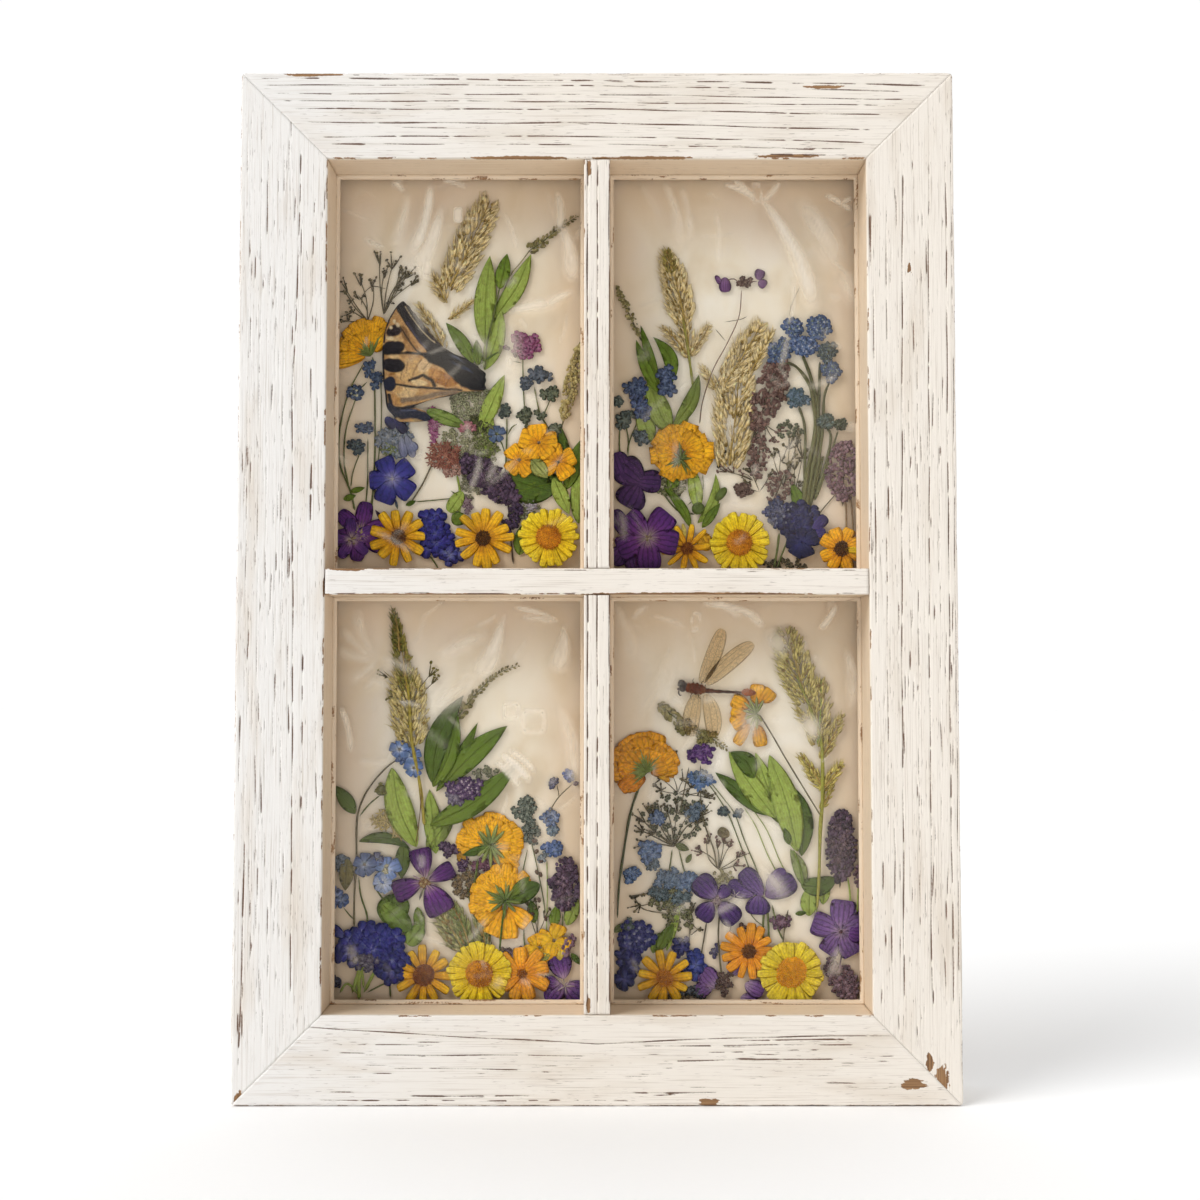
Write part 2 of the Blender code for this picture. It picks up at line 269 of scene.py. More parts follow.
def cracks(along, girth, lines, rng):
    """How open the grain is, from 0 to 1. Each line is (points along it, half width, strength, how broken):
    its middle runs through the points with a little wander, its edge falls off as a bell curve, and it
    thins out at its ends."""
    field = np.zeros_like(along)
    for path, half, strength, broken in lines:
        path = np.array(path, float)
        middle = np.interp(along, path[:, 0], path[:, 1])
        phases = rng.random(4) * TAU
        wander = 0.12 * np.sin(along / 9 + phases[0]) + 0.1 * np.sin(along / 23 + phases[1])
        swell = 0.75 + 0.25 * np.sin(along / 6 + phases[2]) * np.sin(along / 17 + phases[3])
        if broken:
            swell = swell * ease(broken - 0.15, broken + 0.1, cloud(rng, along, along * 0, 4.5, 1))
        ends = ease(0, 5, along - path[0, 0]) * ease(0, 5, path[-1, 0] - along)
        bell = np.exp(-(((girth - middle - wander) / (half * (0.7 + 0.5 * swell))) ** 2))
        field = np.maximum(field, strength * bell * swell * ends)
    return field


def dashes(count, reach, spread, rng, half=(0.14, 0.3), lengths=(2, 16)):
    """Short open pores as lines for cracks(): most are short, and a few run several times as long."""
    starts = rng.uniform(*reach, count)
    places = rng.uniform(*spread, count)
    sizes = lengths[0] + (lengths[1] - lengths[0]) * rng.random(count) ** 2.2
    halves = rng.uniform(*half, count)
    forces = rng.uniform(0.55, 1.0, count)
    tilts = rng.normal(0, 0.25, count)
    return [
        (((a, g), (a + n, g + d)), h, f, 0) for a, g, n, h, f,
        d in zip(starts, places, sizes, halves, forces, tilts)
    ]


def chips(along, girth, places, rng):
    """How far the paint is gone, from 0 to 1: ragged ovals. Each place is (along, across, half length, half
    width)."""
    field = np.zeros_like(along)
    ragged = cloud(rng, along, girth, 1.6, 0.8) - 0.5
    for a, g, length, width in places:
        distance = np.hypot((along - a) / length, (girth - g) / width)
        field = np.maximum(field, ease(1.25, 0.65, distance + 0.7 * ragged))
    return field


def lay_board(name, lines, worn_places, seed, edge_wear):
    """One side of the frame: an L section carried along the mitred length, so a point at distance t from
    the outer edge runs from t to the length less t. The grain sinks it, and the frame's corners are pulled
    in to a small round."""
    rng = np.random.default_rng(seed)
    upright = name.startswith("stile")
    length = HEIGHT if upright else 2 * HALF_WIDTH
    corners = [
        (0, BACK),
        (0, FRONT),
        (BOARD_FACE, FRONT),
        (BOARD_FACE, RABBET_Y),
        (BOARD_FACE - RABBET_WIDTH, RABBET_Y),
        (BOARD_FACE - RABBET_WIDTH, BACK),
    ]
    section = rounded_section(
        corners, (0.6, OUTER_ARRIS, INNER_ARRIS, 0.1, 0.1, 0.3), (0.6, 0.28, 2.5, 4, 6, 6)
    )
    t, y = section[:, 0], section[:, 1]
    step = np.roll(section, -1, 0) - np.roll(section, 1, 0)
    normal = np.stack([step[:, 1], -step[:, 0]], 1)
    normal /= np.hypot(normal[:, 0], normal[:, 1])[:, None]
    if normal[np.argmin(y)][1] > 0:
        normal = -normal
    rows = int(length / 1.45)
    v = np.linspace(0, 1, rows)[:, None]
    gap = 0.04
    along = t + gap + v * (length - 2 * t - 2 * gap)
    t, y = t + 0 * along, y + 0 * along
    # Girth: how far round the section, 0 at the outer front edge, less than 0 on the outer side.
    outer_side = t < 0.02
    girth = np.where(outer_side & (y > FRONT + OUTER_ARRIS), -(y - FRONT), t)
    wall_side = (t > BOARD_FACE - 0.02) & (y > FRONT + INNER_ARRIS)
    girth = np.where(wall_side, BOARD_FACE + (y - FRONT), girth)

    groove = cracks(along, girth, lines, rng)
    # The back and the rabbet are hidden and unpainted, and carry no open grain.
    hidden = (y > RABBET_Y - 0.1) & (t > 0.7)
    groove = np.where(hidden, 0, groove)
    worn = chips(along, girth, worn_places, rng)
    outer_edge = np.exp(-(((girth + 0.3) / 0.8) ** 2))
    inner_edge = np.exp(-(((girth - BOARD_FACE + 0.1) / 0.55) ** 2))
    back_edge = np.exp(-(((girth + (BACK - FRONT)) / 1.2) ** 2))
    rub = cloud(rng, along, along * 0, 9, 1) * 0.6 + cloud(rng, along, girth, 2.2, 0.7) * 0.4
    worn = np.maximum(worn, outer_edge * ease(*edge_wear[0], rub))
    worn = np.maximum(worn, inner_edge * ease(*edge_wear[1], rub))
    worn = np.maximum(worn, back_edge * ease(0.35, 0.7, rub))
    worn = np.where(hidden, 1.0, worn)
    # wall marks the recess walls, which the paint turns beige: thinner paint, and painted shade.
    wall = np.where(wall_side, ease(0.2, 1.6, y - FRONT), 0)

    uneven = 0.16 * cloud(rng, along, girth, 34, 6) + 0.06 * cloud(rng, along, girth, 8, 1.1)
    sink = 0.42 * groove + 0.12 * worn * ~hidden + uneven * ~hidden
    dents = np.exp(-(((girth + 0.2) / 1.4) ** 2)) + np.exp(-(((girth - BOARD_FACE) / 1.0) ** 2))
    sink = sink + dents * 0.35 * ease(0.55, 0.95, rub)
    t = t - normal[:, 0] * sink
    y = y - normal[:, 1] * sink
    if upright:
        side = -1 if name.endswith("left") else 1
        x, z = side * (HALF_WIDTH - t), along
    else:
        x, z = along - HALF_WIDTH, (HEIGHT - t if name.endswith("top") else t)
    # Corners: a point outside the corner's round comes in to it along the line to the round's middle.
    beyond_x = np.abs(x) - (HALF_WIDTH - CORNER_ROUND)
    beyond_z = np.abs(z - HEIGHT / 2) - (HEIGHT / 2 - CORNER_ROUND)
    reach = np.hypot(beyond_x, beyond_z)
    shrink = np.where((beyond_x > 0) & (beyond_z > 0) & (reach > CORNER_ROUND), CORNER_ROUND / reach, 1)
    x = np.sign(x) * np.where(shrink < 1, HALF_WIDTH - CORNER_ROUND + beyond_x * shrink, np.abs(x))
    middle = HEIGHT / 2
    z = np.where(shrink < 1, middle + np.sign(z - middle) * (middle - CORNER_ROUND + beyond_z * shrink), z)

    grain = np.stack([along, girth, np.full_like(along, 40.0 * seed)], -1).reshape(-1, 3)
    count = along.shape[1]
    caps = [list(range(count)), list(range((rows - 1) * count, rows * count))[::-1]]
    return make_piece(
        name + "_board",
        np.stack([x, y, z], -1),
        ring_faces(rows, count),
        WHITEWASH,
        (name,),
        {"grain": grain, "groove": groove.ravel(), "worn": worn.ravel(), "wall": wall.ravel()},
        [cap[::-1] for cap in caps],
    )


# Each long crack is ((along, across), ...), half width, strength and how broken it is. Along runs from the
# bottom of a stile and from the left end of a rail, and across from the outer edge.
side_pores = dict(spread=(-36, -1))
rng = np.random.default_rng(11)
LEFT_STILE = [
    (((45, 24.6), (120, 24.8), (210, 24.2), (300, 23.2), (345, 25.0), (404, 26.2)), 0.3, 1.0, 0.22),
    (((14, 3.4), (60, 4.4), (112, 4.8)), 0.34, 1.0, 0.15),
    (((112, 4.6), (230, 4.2), (420, 4.6)), 0.2, 0.62, 0.4),
    (((90, 9.6), (250, 9.2), (424, 9.4)), 0.2, 0.6, 0.35),
    (((30, 12.4), (180, 13.0), (330, 12.2)), 0.18, 0.6, 0.5),
    (((150, 16.6), (300, 16.0), (400, 16.6)), 0.18, 0.62, 0.5),
    (((180, 20.0), (290, 19.4), (402, 20.2)), 0.2, 0.66, 0.45),
    (((120, 28.6), (190, 28.8)), 0.36, 1.0, 0.35),
    (((235, 31.2), (280, 31.8)), 0.42, 1.0, 0.35),
    (((290, 31.0), (330, 31.2), (385, 32.2)), 0.26, 0.9, 0.5),
    (((60, 33.6), (200, 34.4)), 0.18, 0.6, 0.55),
    (((330, 35.2), (380, 35.4)), 0.22, 0.75, 0.5),
]
LEFT_STILE += dashes(260, (14, 420), (2, 24), rng, (0.18, 0.4), (3, 24))
LEFT_STILE += dashes(90, (40, 395), (24, 36.5), rng, (0.15, 0.3), (2, 18))
LEFT_STILE += dashes(46, (3, 60), (1, 24), rng, (0.13, 0.3), (1, 7))
LEFT_STILE += dashes(110, (5, 430), rng=rng, **side_pores)
RIGHT_STILE = [
    (((40, 3.9), (200, 4.0), (402, 3.6)), 0.28, 1.0, 0.2),
    (((44, 12.8), (200, 12.4), (400, 10.8)), 0.26, 0.95, 0.22),
    (((42, 24.4), (130, 24.2), (250, 23.6), (330, 22.6), (395, 22.0)), 0.28, 1.0, 0.18),
    (((120, 30.4), (260, 29.8), (380, 29.0)), 0.22, 0.85, 0.42),
    (((60, 17.6), (200, 17.0), (330, 16.4)), 0.22, 0.8, 0.5),
    (((150, 8.0), (300, 7.4)), 0.2, 0.75, 0.5),
    (((195, 34.6), (290, 34.8), (345, 34.8)), 0.3, 0.9, 0.45),
    (((350, 36.0), (378, 36.2)), 0.5, 0.9, 0.1),
    (((225, 36.4), (255, 36.5)), 0.5, 0.8, 0.2),
    (((30, 1.4), (220, 1.3), (420, 1.2)), 0.2, 0.9, 0.2),
    (((200, 20.4), (320, 20.0)), 0.18, 0.7, 0.5),
]
RIGHT_STILE += dashes(240, (20, 400), (2, 36), rng, (0.17, 0.38), (2, 22))
RIGHT_STILE += dashes(16, (380, 425), (3, 18), rng, (0.12, 0.22), (1, 6))
RIGHT_STILE += dashes(60, (25, 75), (2, 30), rng, (0.14, 0.26), (1, 6))
RIGHT_STILE += dashes(110, (5, 430), rng=rng, **side_pores)
TOP_RAIL = [
    (((6, 2.4), (60, 2.8), (150, 3.6), (275, 5.2), (296, 5.6)), 0.4, 0.9, 0.3),
    (((8, 5.4), (150, 5.8), (285, 8.3)), 0.26, 0.9, 0.2),
    (((12, 9.3), (150, 9.6), (286, 11.8)), 0.26, 0.95, 0.16),
    (((16, 12.3), (150, 12.9), (284, 14.6)), 0.26, 0.95, 0.14),
    (((20, 15.9), (150, 16.0), (277, 18.5)), 0.3, 1.0, 0.1),
    (((26, 21.9), (150, 22.0), (272, 25.0)), 0.32, 1.0, 0.1),
    (((33, 28.0), (150, 27.8), (270, 30.5)), 0.28, 1.0, 0.14),
    (((36, 31.4), (56, 31.3)), 0.4, 1.0, 0.1),
    (((58, 31.2), (150, 31.2), (262, 33.8)), 0.26, 0.9, 0.52),
    (((36, 17.9), (64, 17.6)), 0.25, 0.8, 0.4),
    (((50, 24.0), (110, 24.2)), 0.25, 0.85, 0.5),
    (((140, 25.0), (220, 26.6)), 0.16, 0.6, 0.5),
    (((180, 31.6), (262, 33.4)), 0.24, 0.75, 0.5),
    (((215, 35.4), (262, 36.2)), 0.45, 0.85, 0.4),
    (((28, 1.2), (200, 1.0), (300, 1.0)), 0.22, 0.8, 0.5),
]
TOP_RAIL += dashes(34, (30, 265), (3, 36), rng, (0.12, 0.24), (2, 14))
TOP_RAIL += dashes(80, (4, 300), rng=rng, **side_pores)
BOTTOM_RAIL = [
    (((29, 33.0), (90, 28.8), (152, 25.8), (208, 28.2), (279, 29.2)), 0.26, 1.0, 0.06),
    (((52, 21.2), (150, 20.8)), 0.26, 0.95, 0.3),
    (((178, 18.6), (255, 19.6)), 0.3, 1.0, 0.15),
    (((65, 15.6), (125, 15.2)), 0.24, 0.9, 0.35),
    (((165, 5.4), (205, 5.8)), 0.34, 1.0, 0.2),
    (((72, 4.2), (128, 4.4)), 0.34, 1.0, 0.25),
    (((34, 2.6), (170, 2.4)), 0.3, 1.0, 0.45),
    (((168, 24.6), (262, 25.6)), 0.28, 0.9, 0.5),
    (((42, 25.6), (88, 25.2)), 0.24, 0.85, 0.45),
    (((210, 27.2), (258, 27.4)), 0.34, 1.0, 0.35),
    (((196, 22.2), (252, 23.4)), 0.28, 0.9, 0.45),
]
BOTTOM_RAIL += dashes(150, (30, 270), (2, 27), rng, (0.15, 0.34), (2, 18))
BOTTOM_RAIL += dashes(46, (6, 44), (1, 22), rng, (0.14, 0.26), (1, 6))
BOTTOM_RAIL += dashes(50, (262, 300), (1, 26), rng, (0.13, 0.24), (1, 6))
BOTTOM_RAIL += dashes(80, (4, 300), rng=rng, **side_pores)

lay_board("stile_left", LEFT_STILE, [(2, 4, 5, 2.5)], 1, ((0.42, 0.66), (0.5, 0.75)))
lay_board("stile_right", RIGHT_STILE, [(11, 9, 6, 3), (18, 14, 4, 1.6), (352, 19.5, 2, 1)], 2,
          ((0.45, 0.7), (0.5, 0.8)))
lay_board(
    "rail_top",
    TOP_RAIL,
    [(30, 1.0, 12, 0.9), (118, 37.2, 22, 0.8), (176, 37.2, 22, 0.7), (235, 36.4, 14, 0.8),
     (250, 6.4, 9, 0.8)],
    3,
    ((0.5, 0.75), (0.4, 0.7)),
)
lay_board("rail_bottom", BOTTOM_RAIL, [(199, 1.6, 4, 2.0), (284, 9, 5, 2.4)], 4, ((0.22, 0.5), (0.5, 0.75)))


def lay_bar(node, lines, worn_places, seed, beads=()):
    """A glazing bar: a box section carried along its length. Each bead is (place across, half width,
    depth): a shallow round groove run into the face. Grain and wear are as on the boards."""
    rng = np.random.default_rng(seed)
    low, high = (np.array(corner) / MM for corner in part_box(node))
    upright = node != "muntin_horizontal"
    face = (high[0] - low[0]) if upright else (high[2] - low[2])
    start, end = (low[2], high[2]) if upright else (low[0], high[0])
    section = rounded_section(
        [(0, high[1]), (0, low[1]), (face, low[1]), (face, high[1])], (0.1, 0.5, 0.5, 0.1),
        (2.5, 0.22, 2.5, 3)
    )
    t, y = section[:, 0], section[:, 1]
    rows = int((end - start) / 1.2)
    # The ends run on into the boards' arrises, so that no gap shows at the joint.
    along = np.linspace(start, end, rows)[:, None] + 0 * t
    t, y = t + 0 * along, y + 0 * along
    front = y < low[1] + 0.6
    wall_side = ~front & (y < high[1] - 0.05)
    girth = np.where(front, t, np.where(t < face / 2, -(y - low[1]), face + y - low[1]))
    groove = np.where(front, cracks(along, girth, lines, rng), 0)
    worn = chips(along, girth, worn_places, rng)
    rub = cloud(rng, along, along * 0, 8, 1) * 0.6 + cloud(rng, along, girth, 2.0, 0.6) * 0.4
    edges = np.exp(-((girth / 0.5) ** 2)) + np.exp(-(((girth - face) / 0.5) ** 2))
    worn = np.maximum(worn, edges * ease(0.5, 0.8, rub))
    sink = 0.3 * groove + 0.08 * worn + 0.08 * cloud(rng, along, girth, 20, 3)
    for place, half, depth in beads:
        sink = sink + depth * np.exp(-(((girth - place) / half) ** 4)) * front
    y = y + np.where(front, sink, 0)
    # wall marks the sides in the recess, which the paint turns beige: thinner paint, and painted shade.
    wall = np.where(wall_side, ease(0.2, 1.6, y - low[1]), 0)
    if upright:
        points = np.stack([low[0] + t, y, along], -1)
    else:
        points = np.stack([along, y, low[2] + t], -1)
    grain = np.stack([along, girth, np.full_like(along, 40.0 * seed)], -1).reshape(-1, 3)
    count = along.shape[1]
    caps = [list(range(count))[::-1], list(range((rows - 1) * count, rows * count))]
    return make_piece(
        node + "_bar",
        points,
        ring_faces(rows, count),
        WHITEWASH,
        (node,),
        {"grain": grain, "groove": groove.ravel(), "worn": worn.ravel(), "wall": wall.ravel()},
        caps,
    )


lay_bar(
    "muntin_horizontal",
    [
        (((-114, 10.4), (-60, 10.5), (114, 10.4)), 0.2, 0.8, 0.5),
        (((-114, 0.5), (0, 0.4), (114, 0.5)), 0.25, 0.9, 0.35),
        (((106, 6.8), (114, 6.8)), 0.25, 0.9, 0),
        (((60, 9.6), (100, 9.4)), 0.2, 0.8, 0.5),
        (((-8, 6.0), (-6.5, 6.0)), 0.5, 0.9, 0),
        (((-5.6, 6.0), (-4.2, 6.1)), 0.5, 0.9, 0),
        (((-3, 6.9), (-1.8, 6.9)), 0.4, 0.8, 0),
    ],
    [(-107, 10.8, 9, 1.0), (40, 0.2, 60, 0.7), (-70, 0.1, 40, 0.4)],
    5,
)
BAR_LINES = [
    (((40, 1.5), (220, 1.5), (400, 1.5)), 0.32, 1.0, 0.3),
    (((40, 5.6), (220, 5.6), (400, 5.9)), 0.3, 1.0, 0.28),
    (((40, 10.8), (400, 10.8)), 0.3, 1.0, 0.1),
    (((40, 8.2), (400, 8.4)), 0.14, 0.6, 0.55),
    (((40, 3.6), (400, 3.4)), 0.14, 0.6, 0.55),
]
BAR_LINES += dashes(30, (40, 400), (1.5, 10), rng, (0.12, 0.22), (1, 8))
BAR_BEADS = [(1.5, 0.45, 0.45), (5.7, 0.4, 0.3)]
lay_bar("muntin_upper", BAR_LINES, [(395, 2, 4, 1)], 6, BAR_BEADS)
lay_bar("muntin_lower", BAR_LINES, [(42, 2, 3, 1)], 7, BAR_BEADS)


# Backing and film

PANES = {"upper_left": (-1, 1), "upper_right": (1, 1), "lower_left": (-1, -1), "lower_right": (1, -1)}
PANE_X, PANE_RISE, CROSS_Z = 60.25, 93.25, 218.5
OPENING_X = 60.375
HALF_OPENING = (54.8, 87.8)
FILM_FRONT, FILM_THICK, FILM_STEP = 5.75, 0.12, 1.1
STOP_WIDTH, STOP_BACK = 1.8, 5.32


def pearl():
    """Card with a pearly lacquer: warm cream, mottled at a centimetre and streaked, with a soft sheen."""
    material, tree, out = new_material("pearly_lacquered_card")
    place = add(tree, "ShaderNodeTexCoord").outputs["Object"]
    mottle_at = add(tree, "ShaderNodeMapping", {0: place, 3: (38.0, 38.0, 22.0)}).outputs[0]
    mottle = add(
        tree, "ShaderNodeTexNoise", {0: mottle_at, "Scale": 1.0, "Detail": 4.0, "Distortion": 1.2}
    ).outputs[0]
    tooth = add(tree, "ShaderNodeTexNoise", {0: place, "Scale": 900.0, "Detail": 2.0}).outputs[0]
    colour = add(
        tree,
        "ShaderNodeValToRGB",
        {0: mottle},
        stops=[(0.32, "#ecdfc9"), (0.5, "#f8f0e0"), (0.68, "#fefaf1")],
    ).outputs[0]
    # Painted shade: darker and browner towards each pane's edges, where the recess walls shade the card.
    parts = add(tree, "ShaderNodeSeparateXYZ", {0: place}).outputs
    edge = []
    for axis, centre, apart, half in (("X", 0.0, 0.06025, 0.056), ("Z", 0.2185, 0.09325, 0.089)):
        off = add(tree, "ShaderNodeMath", {0: parts[axis], 1: centre}, operation="SUBTRACT").outputs[0]
        off = add(tree, "ShaderNodeMath", {0: off}, operation="ABSOLUTE").outputs[0]
        off = add(tree, "ShaderNodeMath", {0: off, 1: apart}, operation="SUBTRACT").outputs[0]
        off = add(tree, "ShaderNodeMath", {0: off}, operation="ABSOLUTE").outputs[0]
        edge.append(add(tree, "ShaderNodeMapRange", {0: off, 1: 0.45 * half, 2: half}).outputs[0])
    brown = add(tree, "ShaderNodeMath", {0: edge[0], 1: edge[1]}, operation="MAXIMUM").outputs[0]
    brown = add(tree, "ShaderNodeMath", {0: mottle, 1: 0.8, 2: brown}, operation="MULTIPLY_ADD").outputs[0]
    brown = add(tree, "ShaderNodeMapRange", {0: brown, 1: 0.6, 2: 1.5, 4: 0.62}).outputs[0]
    colour = add(tree, "ShaderNodeMix", {0: brown, 6: colour, 7: "#d0a97c"}, data_type="RGBA").outputs[2]
    bump = add(tree, "ShaderNodeBump", {"Strength": 0.2, "Distance": 0.0002, "Height": tooth}).outputs[0]
    surface = add(
        tree,
        "ShaderNodeBsdfPrincipled",
        {"Base Color": colour, "Roughness": 0.38, "Normal": bump, "Sheen Weight": 0.1},
    )
    tree.links.new(surface.outputs[0], out.inputs[0])
    return material


backing = frame["nodes"]["backing_board"]
backing.data.materials.clear()
backing.data.materials.append(pearl())


def clear_film():
    """Cellophane, pulled over the flowers and crinkled: clear and glossy, with milky white where it is
    creased, and painted highlight where its folds would catch the light."""
    material, tree, out = new_material("crinkled_cellophane")
    haze_and_glare = add(tree, "ShaderNodeAttribute", attribute_name="haze_and_glare").outputs["Fac"]
    place = add(tree, "ShaderNodeTexCoord").outputs["Object"]
    fine = add(tree, "ShaderNodeTexNoise", {0: place, "Scale": 160.0, "Detail": 3.0,
                                            "Distortion": 0.6}).outputs[0]
    bump = add(tree, "ShaderNodeBump", {"Strength": 0.25, "Distance": 0.0006, "Height": fine}).outputs[0]
    clear = add(tree, "ShaderNodeBsdfTransparent", {"Color": "#fffefc"}).outputs[0]
    shine = add(
        tree,
        "ShaderNodeBsdfPrincipled",
        {"Base Color": "#ffffff", "Metallic": 1.0, "Roughness": 0.09, "Normal": bump},
    ).outputs[0]
    # What a thin film mirrors: a little head on, and more at a slant.
    slant = add(tree, "ShaderNodeLayerWeight", {"Blend": 0.5, "Normal": bump}).outputs["Facing"]
    slant = add(tree, "ShaderNodeMath", {0: slant, 1: 5.0}, operation="POWER").outputs[0]
    mirror = add(tree, "ShaderNodeMath", {0: slant, 1: 0.9, 2: 0.006}, operation="MULTIPLY_ADD").outputs[0]
    glossy = add(tree, "ShaderNodeMixShader", {0: mirror, 1: clear, 2: shine}).outputs[0]
    # A white diffuse layer where the film is milky; it also carries painted highlight.
    milky_and_glare = add(
        tree, "ShaderNodeBsdfPrincipled", {"Base Color": "#fff6e6", "Roughness": 0.3, "Normal": bump}
    ).outputs[0]
    surface = add(tree, "ShaderNodeMixShader", {0: haze_and_glare, 1: glossy, 2: milky_and_glare})
    tree.links.new(surface.outputs[0], out.inputs[0])
    return material


CELLOPHANE = clear_film()

# Folds: (from right, up, to right, up, half width at each end, height, milkiness and painted highlight) in
# the pane.
FOLDS = {
    "upper_left": [
        (-13.4, 83, -21, 55, 0.7, 1.4, 0.5, 0.6),
        (-9, 73, -20, 46, 0.8, 2.6, 0.45, 0.5),
        (-16.5, 52, -15.5, 42, 1.0, 1.4, 0.3, 0.55),
        (-24, 79, -30, 57, 0.9, 1.8, 0.3, 0.25),
        (-34, 56, -42, 60, 0.6, 0.6, 0.25, 0.3),
        (-30, 85, -25, 81, 0.5, 0.5, 0.25, 0.3),
        (42.8, 80, 43.4, 64, 0.7, 1.0, 0.35, 0.45),
        (44.6, 66, 48.5, 42, 0.9, 2.2, 0.45, 0.5),
        (22, 27, 40, 30, 0.8, 1.6, 0.3, 0.35),
        (38, 29, 49, 36, 1.6, 0.6, 0.3, 0.35),
        (20, 24, 20, -4, 2.4, 3.0, 0.3, 0.2),
        (-8, 86, 2, 83, 0.4, 0.4, 0.2, 0.3),
        (4, 18, 12, 8, 1, 2, 0.2, 0.2),
    ],
    "upper_right": [
        (13, 77, 34, 31, 0.6, 3.0, 0.5, 0.6),
        (29, 76, 45, 46, 3.0, 3.6, 0.5, 0.42),
        (45, 46, 52, 30, 3.0, 2.0, 0.3, 0.25),
        (41, 79, 48, 75, 0.5, 0.5, 0.3, 0.55),
        (48, 75, 52, 78, 0.4, 0.4, 0.3, 0.5),
        (-4, 84, 9, 78, 0.4, 0.5, 0.2, 0.4),
        (0, 86, 10, 76, 0.4, 0.5, 0.2, 0.45),
        (20, 85, 12, 76, 0.4, 0.6, 0.2, 0.4),
        (-30, 84, -24, 58, 0.7, 1.6, 0.25, 0.22),
        (-23, 82, -20, 60, 0.6, 1.2, 0.25, 0.2),
        (-8, 72, -7, 50, 0.4, 0.5, -0.25, 0.18),
        (26, 42, 24, 22, 0.4, 0.4, -0.2, 0.25),
        (41, 52, 52, 40, 0.4, 0.4, -0.25, 0.25),
    ],
    "lower_left": [
        (-37, 60, -52, 66, 0.5, 1.8, 0.2, 0.22),
        (-37, 61, -50, 75, 0.5, 1.8, 0.2, 0.22),
        (-37, 62, -44, 82, 0.5, 1.8, 0.2, 0.25),
        (-36, 60, -47, 52, 0.5, 1.6, 0.2, 0.2),
        (-34, 61, -20, 55, 0.5, 1.6, 0.2, 0.2),
        (-51, 39, -47, 21, 0.45, 0.45, 0.3, 0.6),
        (19, 78, 8, 54, 0.5, 3.2, 0.4, 0.5),
        (8, 56, -14, 40, 3, 4, 0.3, 0.22),
        (-8, 62, 14, 70, 1.5, 3, 0.3, 0.25),
        (25, 83, 43, 77, 0.4, 0.5, 0.2, 0.4),
        (28, 79, 40, 77, 0.4, 0.4, 0.2, 0.35),
        (46, 75, 42, 56, 0.5, 3.2, 0.35, 0.5),
        (19, 19, 31, 8, 0.6, 0.7, 0.35, 0.75),
        (17, 16, 26, 6, 0.5, 0.8, 0.35, 0.7),
        (22, 21, 33, 12, 0.5, 0.5, 0.3, 0.6),
        (44, 40, 50, 6, 1.6, 2.6, 0.3, 0.25),
        (-26, 42, -16, 40, 0.3, 0.4, 0.2, 0.2),
    ],
    "lower_right": [
        (-14, 85, 10, 79, 0.5, 0.8, 0.3, 0.45),
        (-9, 86, 2, 79, 0.5, 1.0, 0.25, 0.4),
        (-1, 84, 12, 75, 0.5, 1.0, 0.25, 0.35),
        (44, 84, 37, 74, 0.4, 0.7, 0.3, 0.6),
        (14, 72, 20, 62, 3.5, 3, 0.35, 0.4),
        (6, 40, 2, 24, 4, 4, 0.3, 0.25),
        (29, 35, 34, 27, 2.4, 2.6, 0.35, 0.6),
        (-30, 60, -40, 40, 5, 5, 0.3, 0.2),
        (-52, 84, -46, 60, 1, 2, 0.3, 0.2),
        (48, 66, 50, 40, 1, 2.4, 0.3, 0.25),
        (10, -30, 20, -44, 2, 3, 0.3, 0.3),
        (-45, 78, -38, 84, 0.5, 0.8, 0.2, 0.25),
    ],
}
# Glints: (right, up, half width, half height, turn in degrees, hollow): painted highlights, whiter spots on
# the film where a facet would catch the light.
GLINTS = {
    "upper_left": [(-1, 70.5, 1.6, 2.8, 0, 0)],
    "upper_right": [(10.4, 80.5, 1.7, 4.0, 12, 1), (50, 74, 1.4, 0.7, -20, 0)],
    "lower_left": [(23, 12, 4.0, 2.2, -40, 0), (23, 38.2, 3.4, 3.4, 0, 0.7), (32.7, 33.6, 5.0, 5.0, 0, 0.8)],
    "lower_right": [(-17.5, 77, 1.6, 4.0, -10, 1)],
}


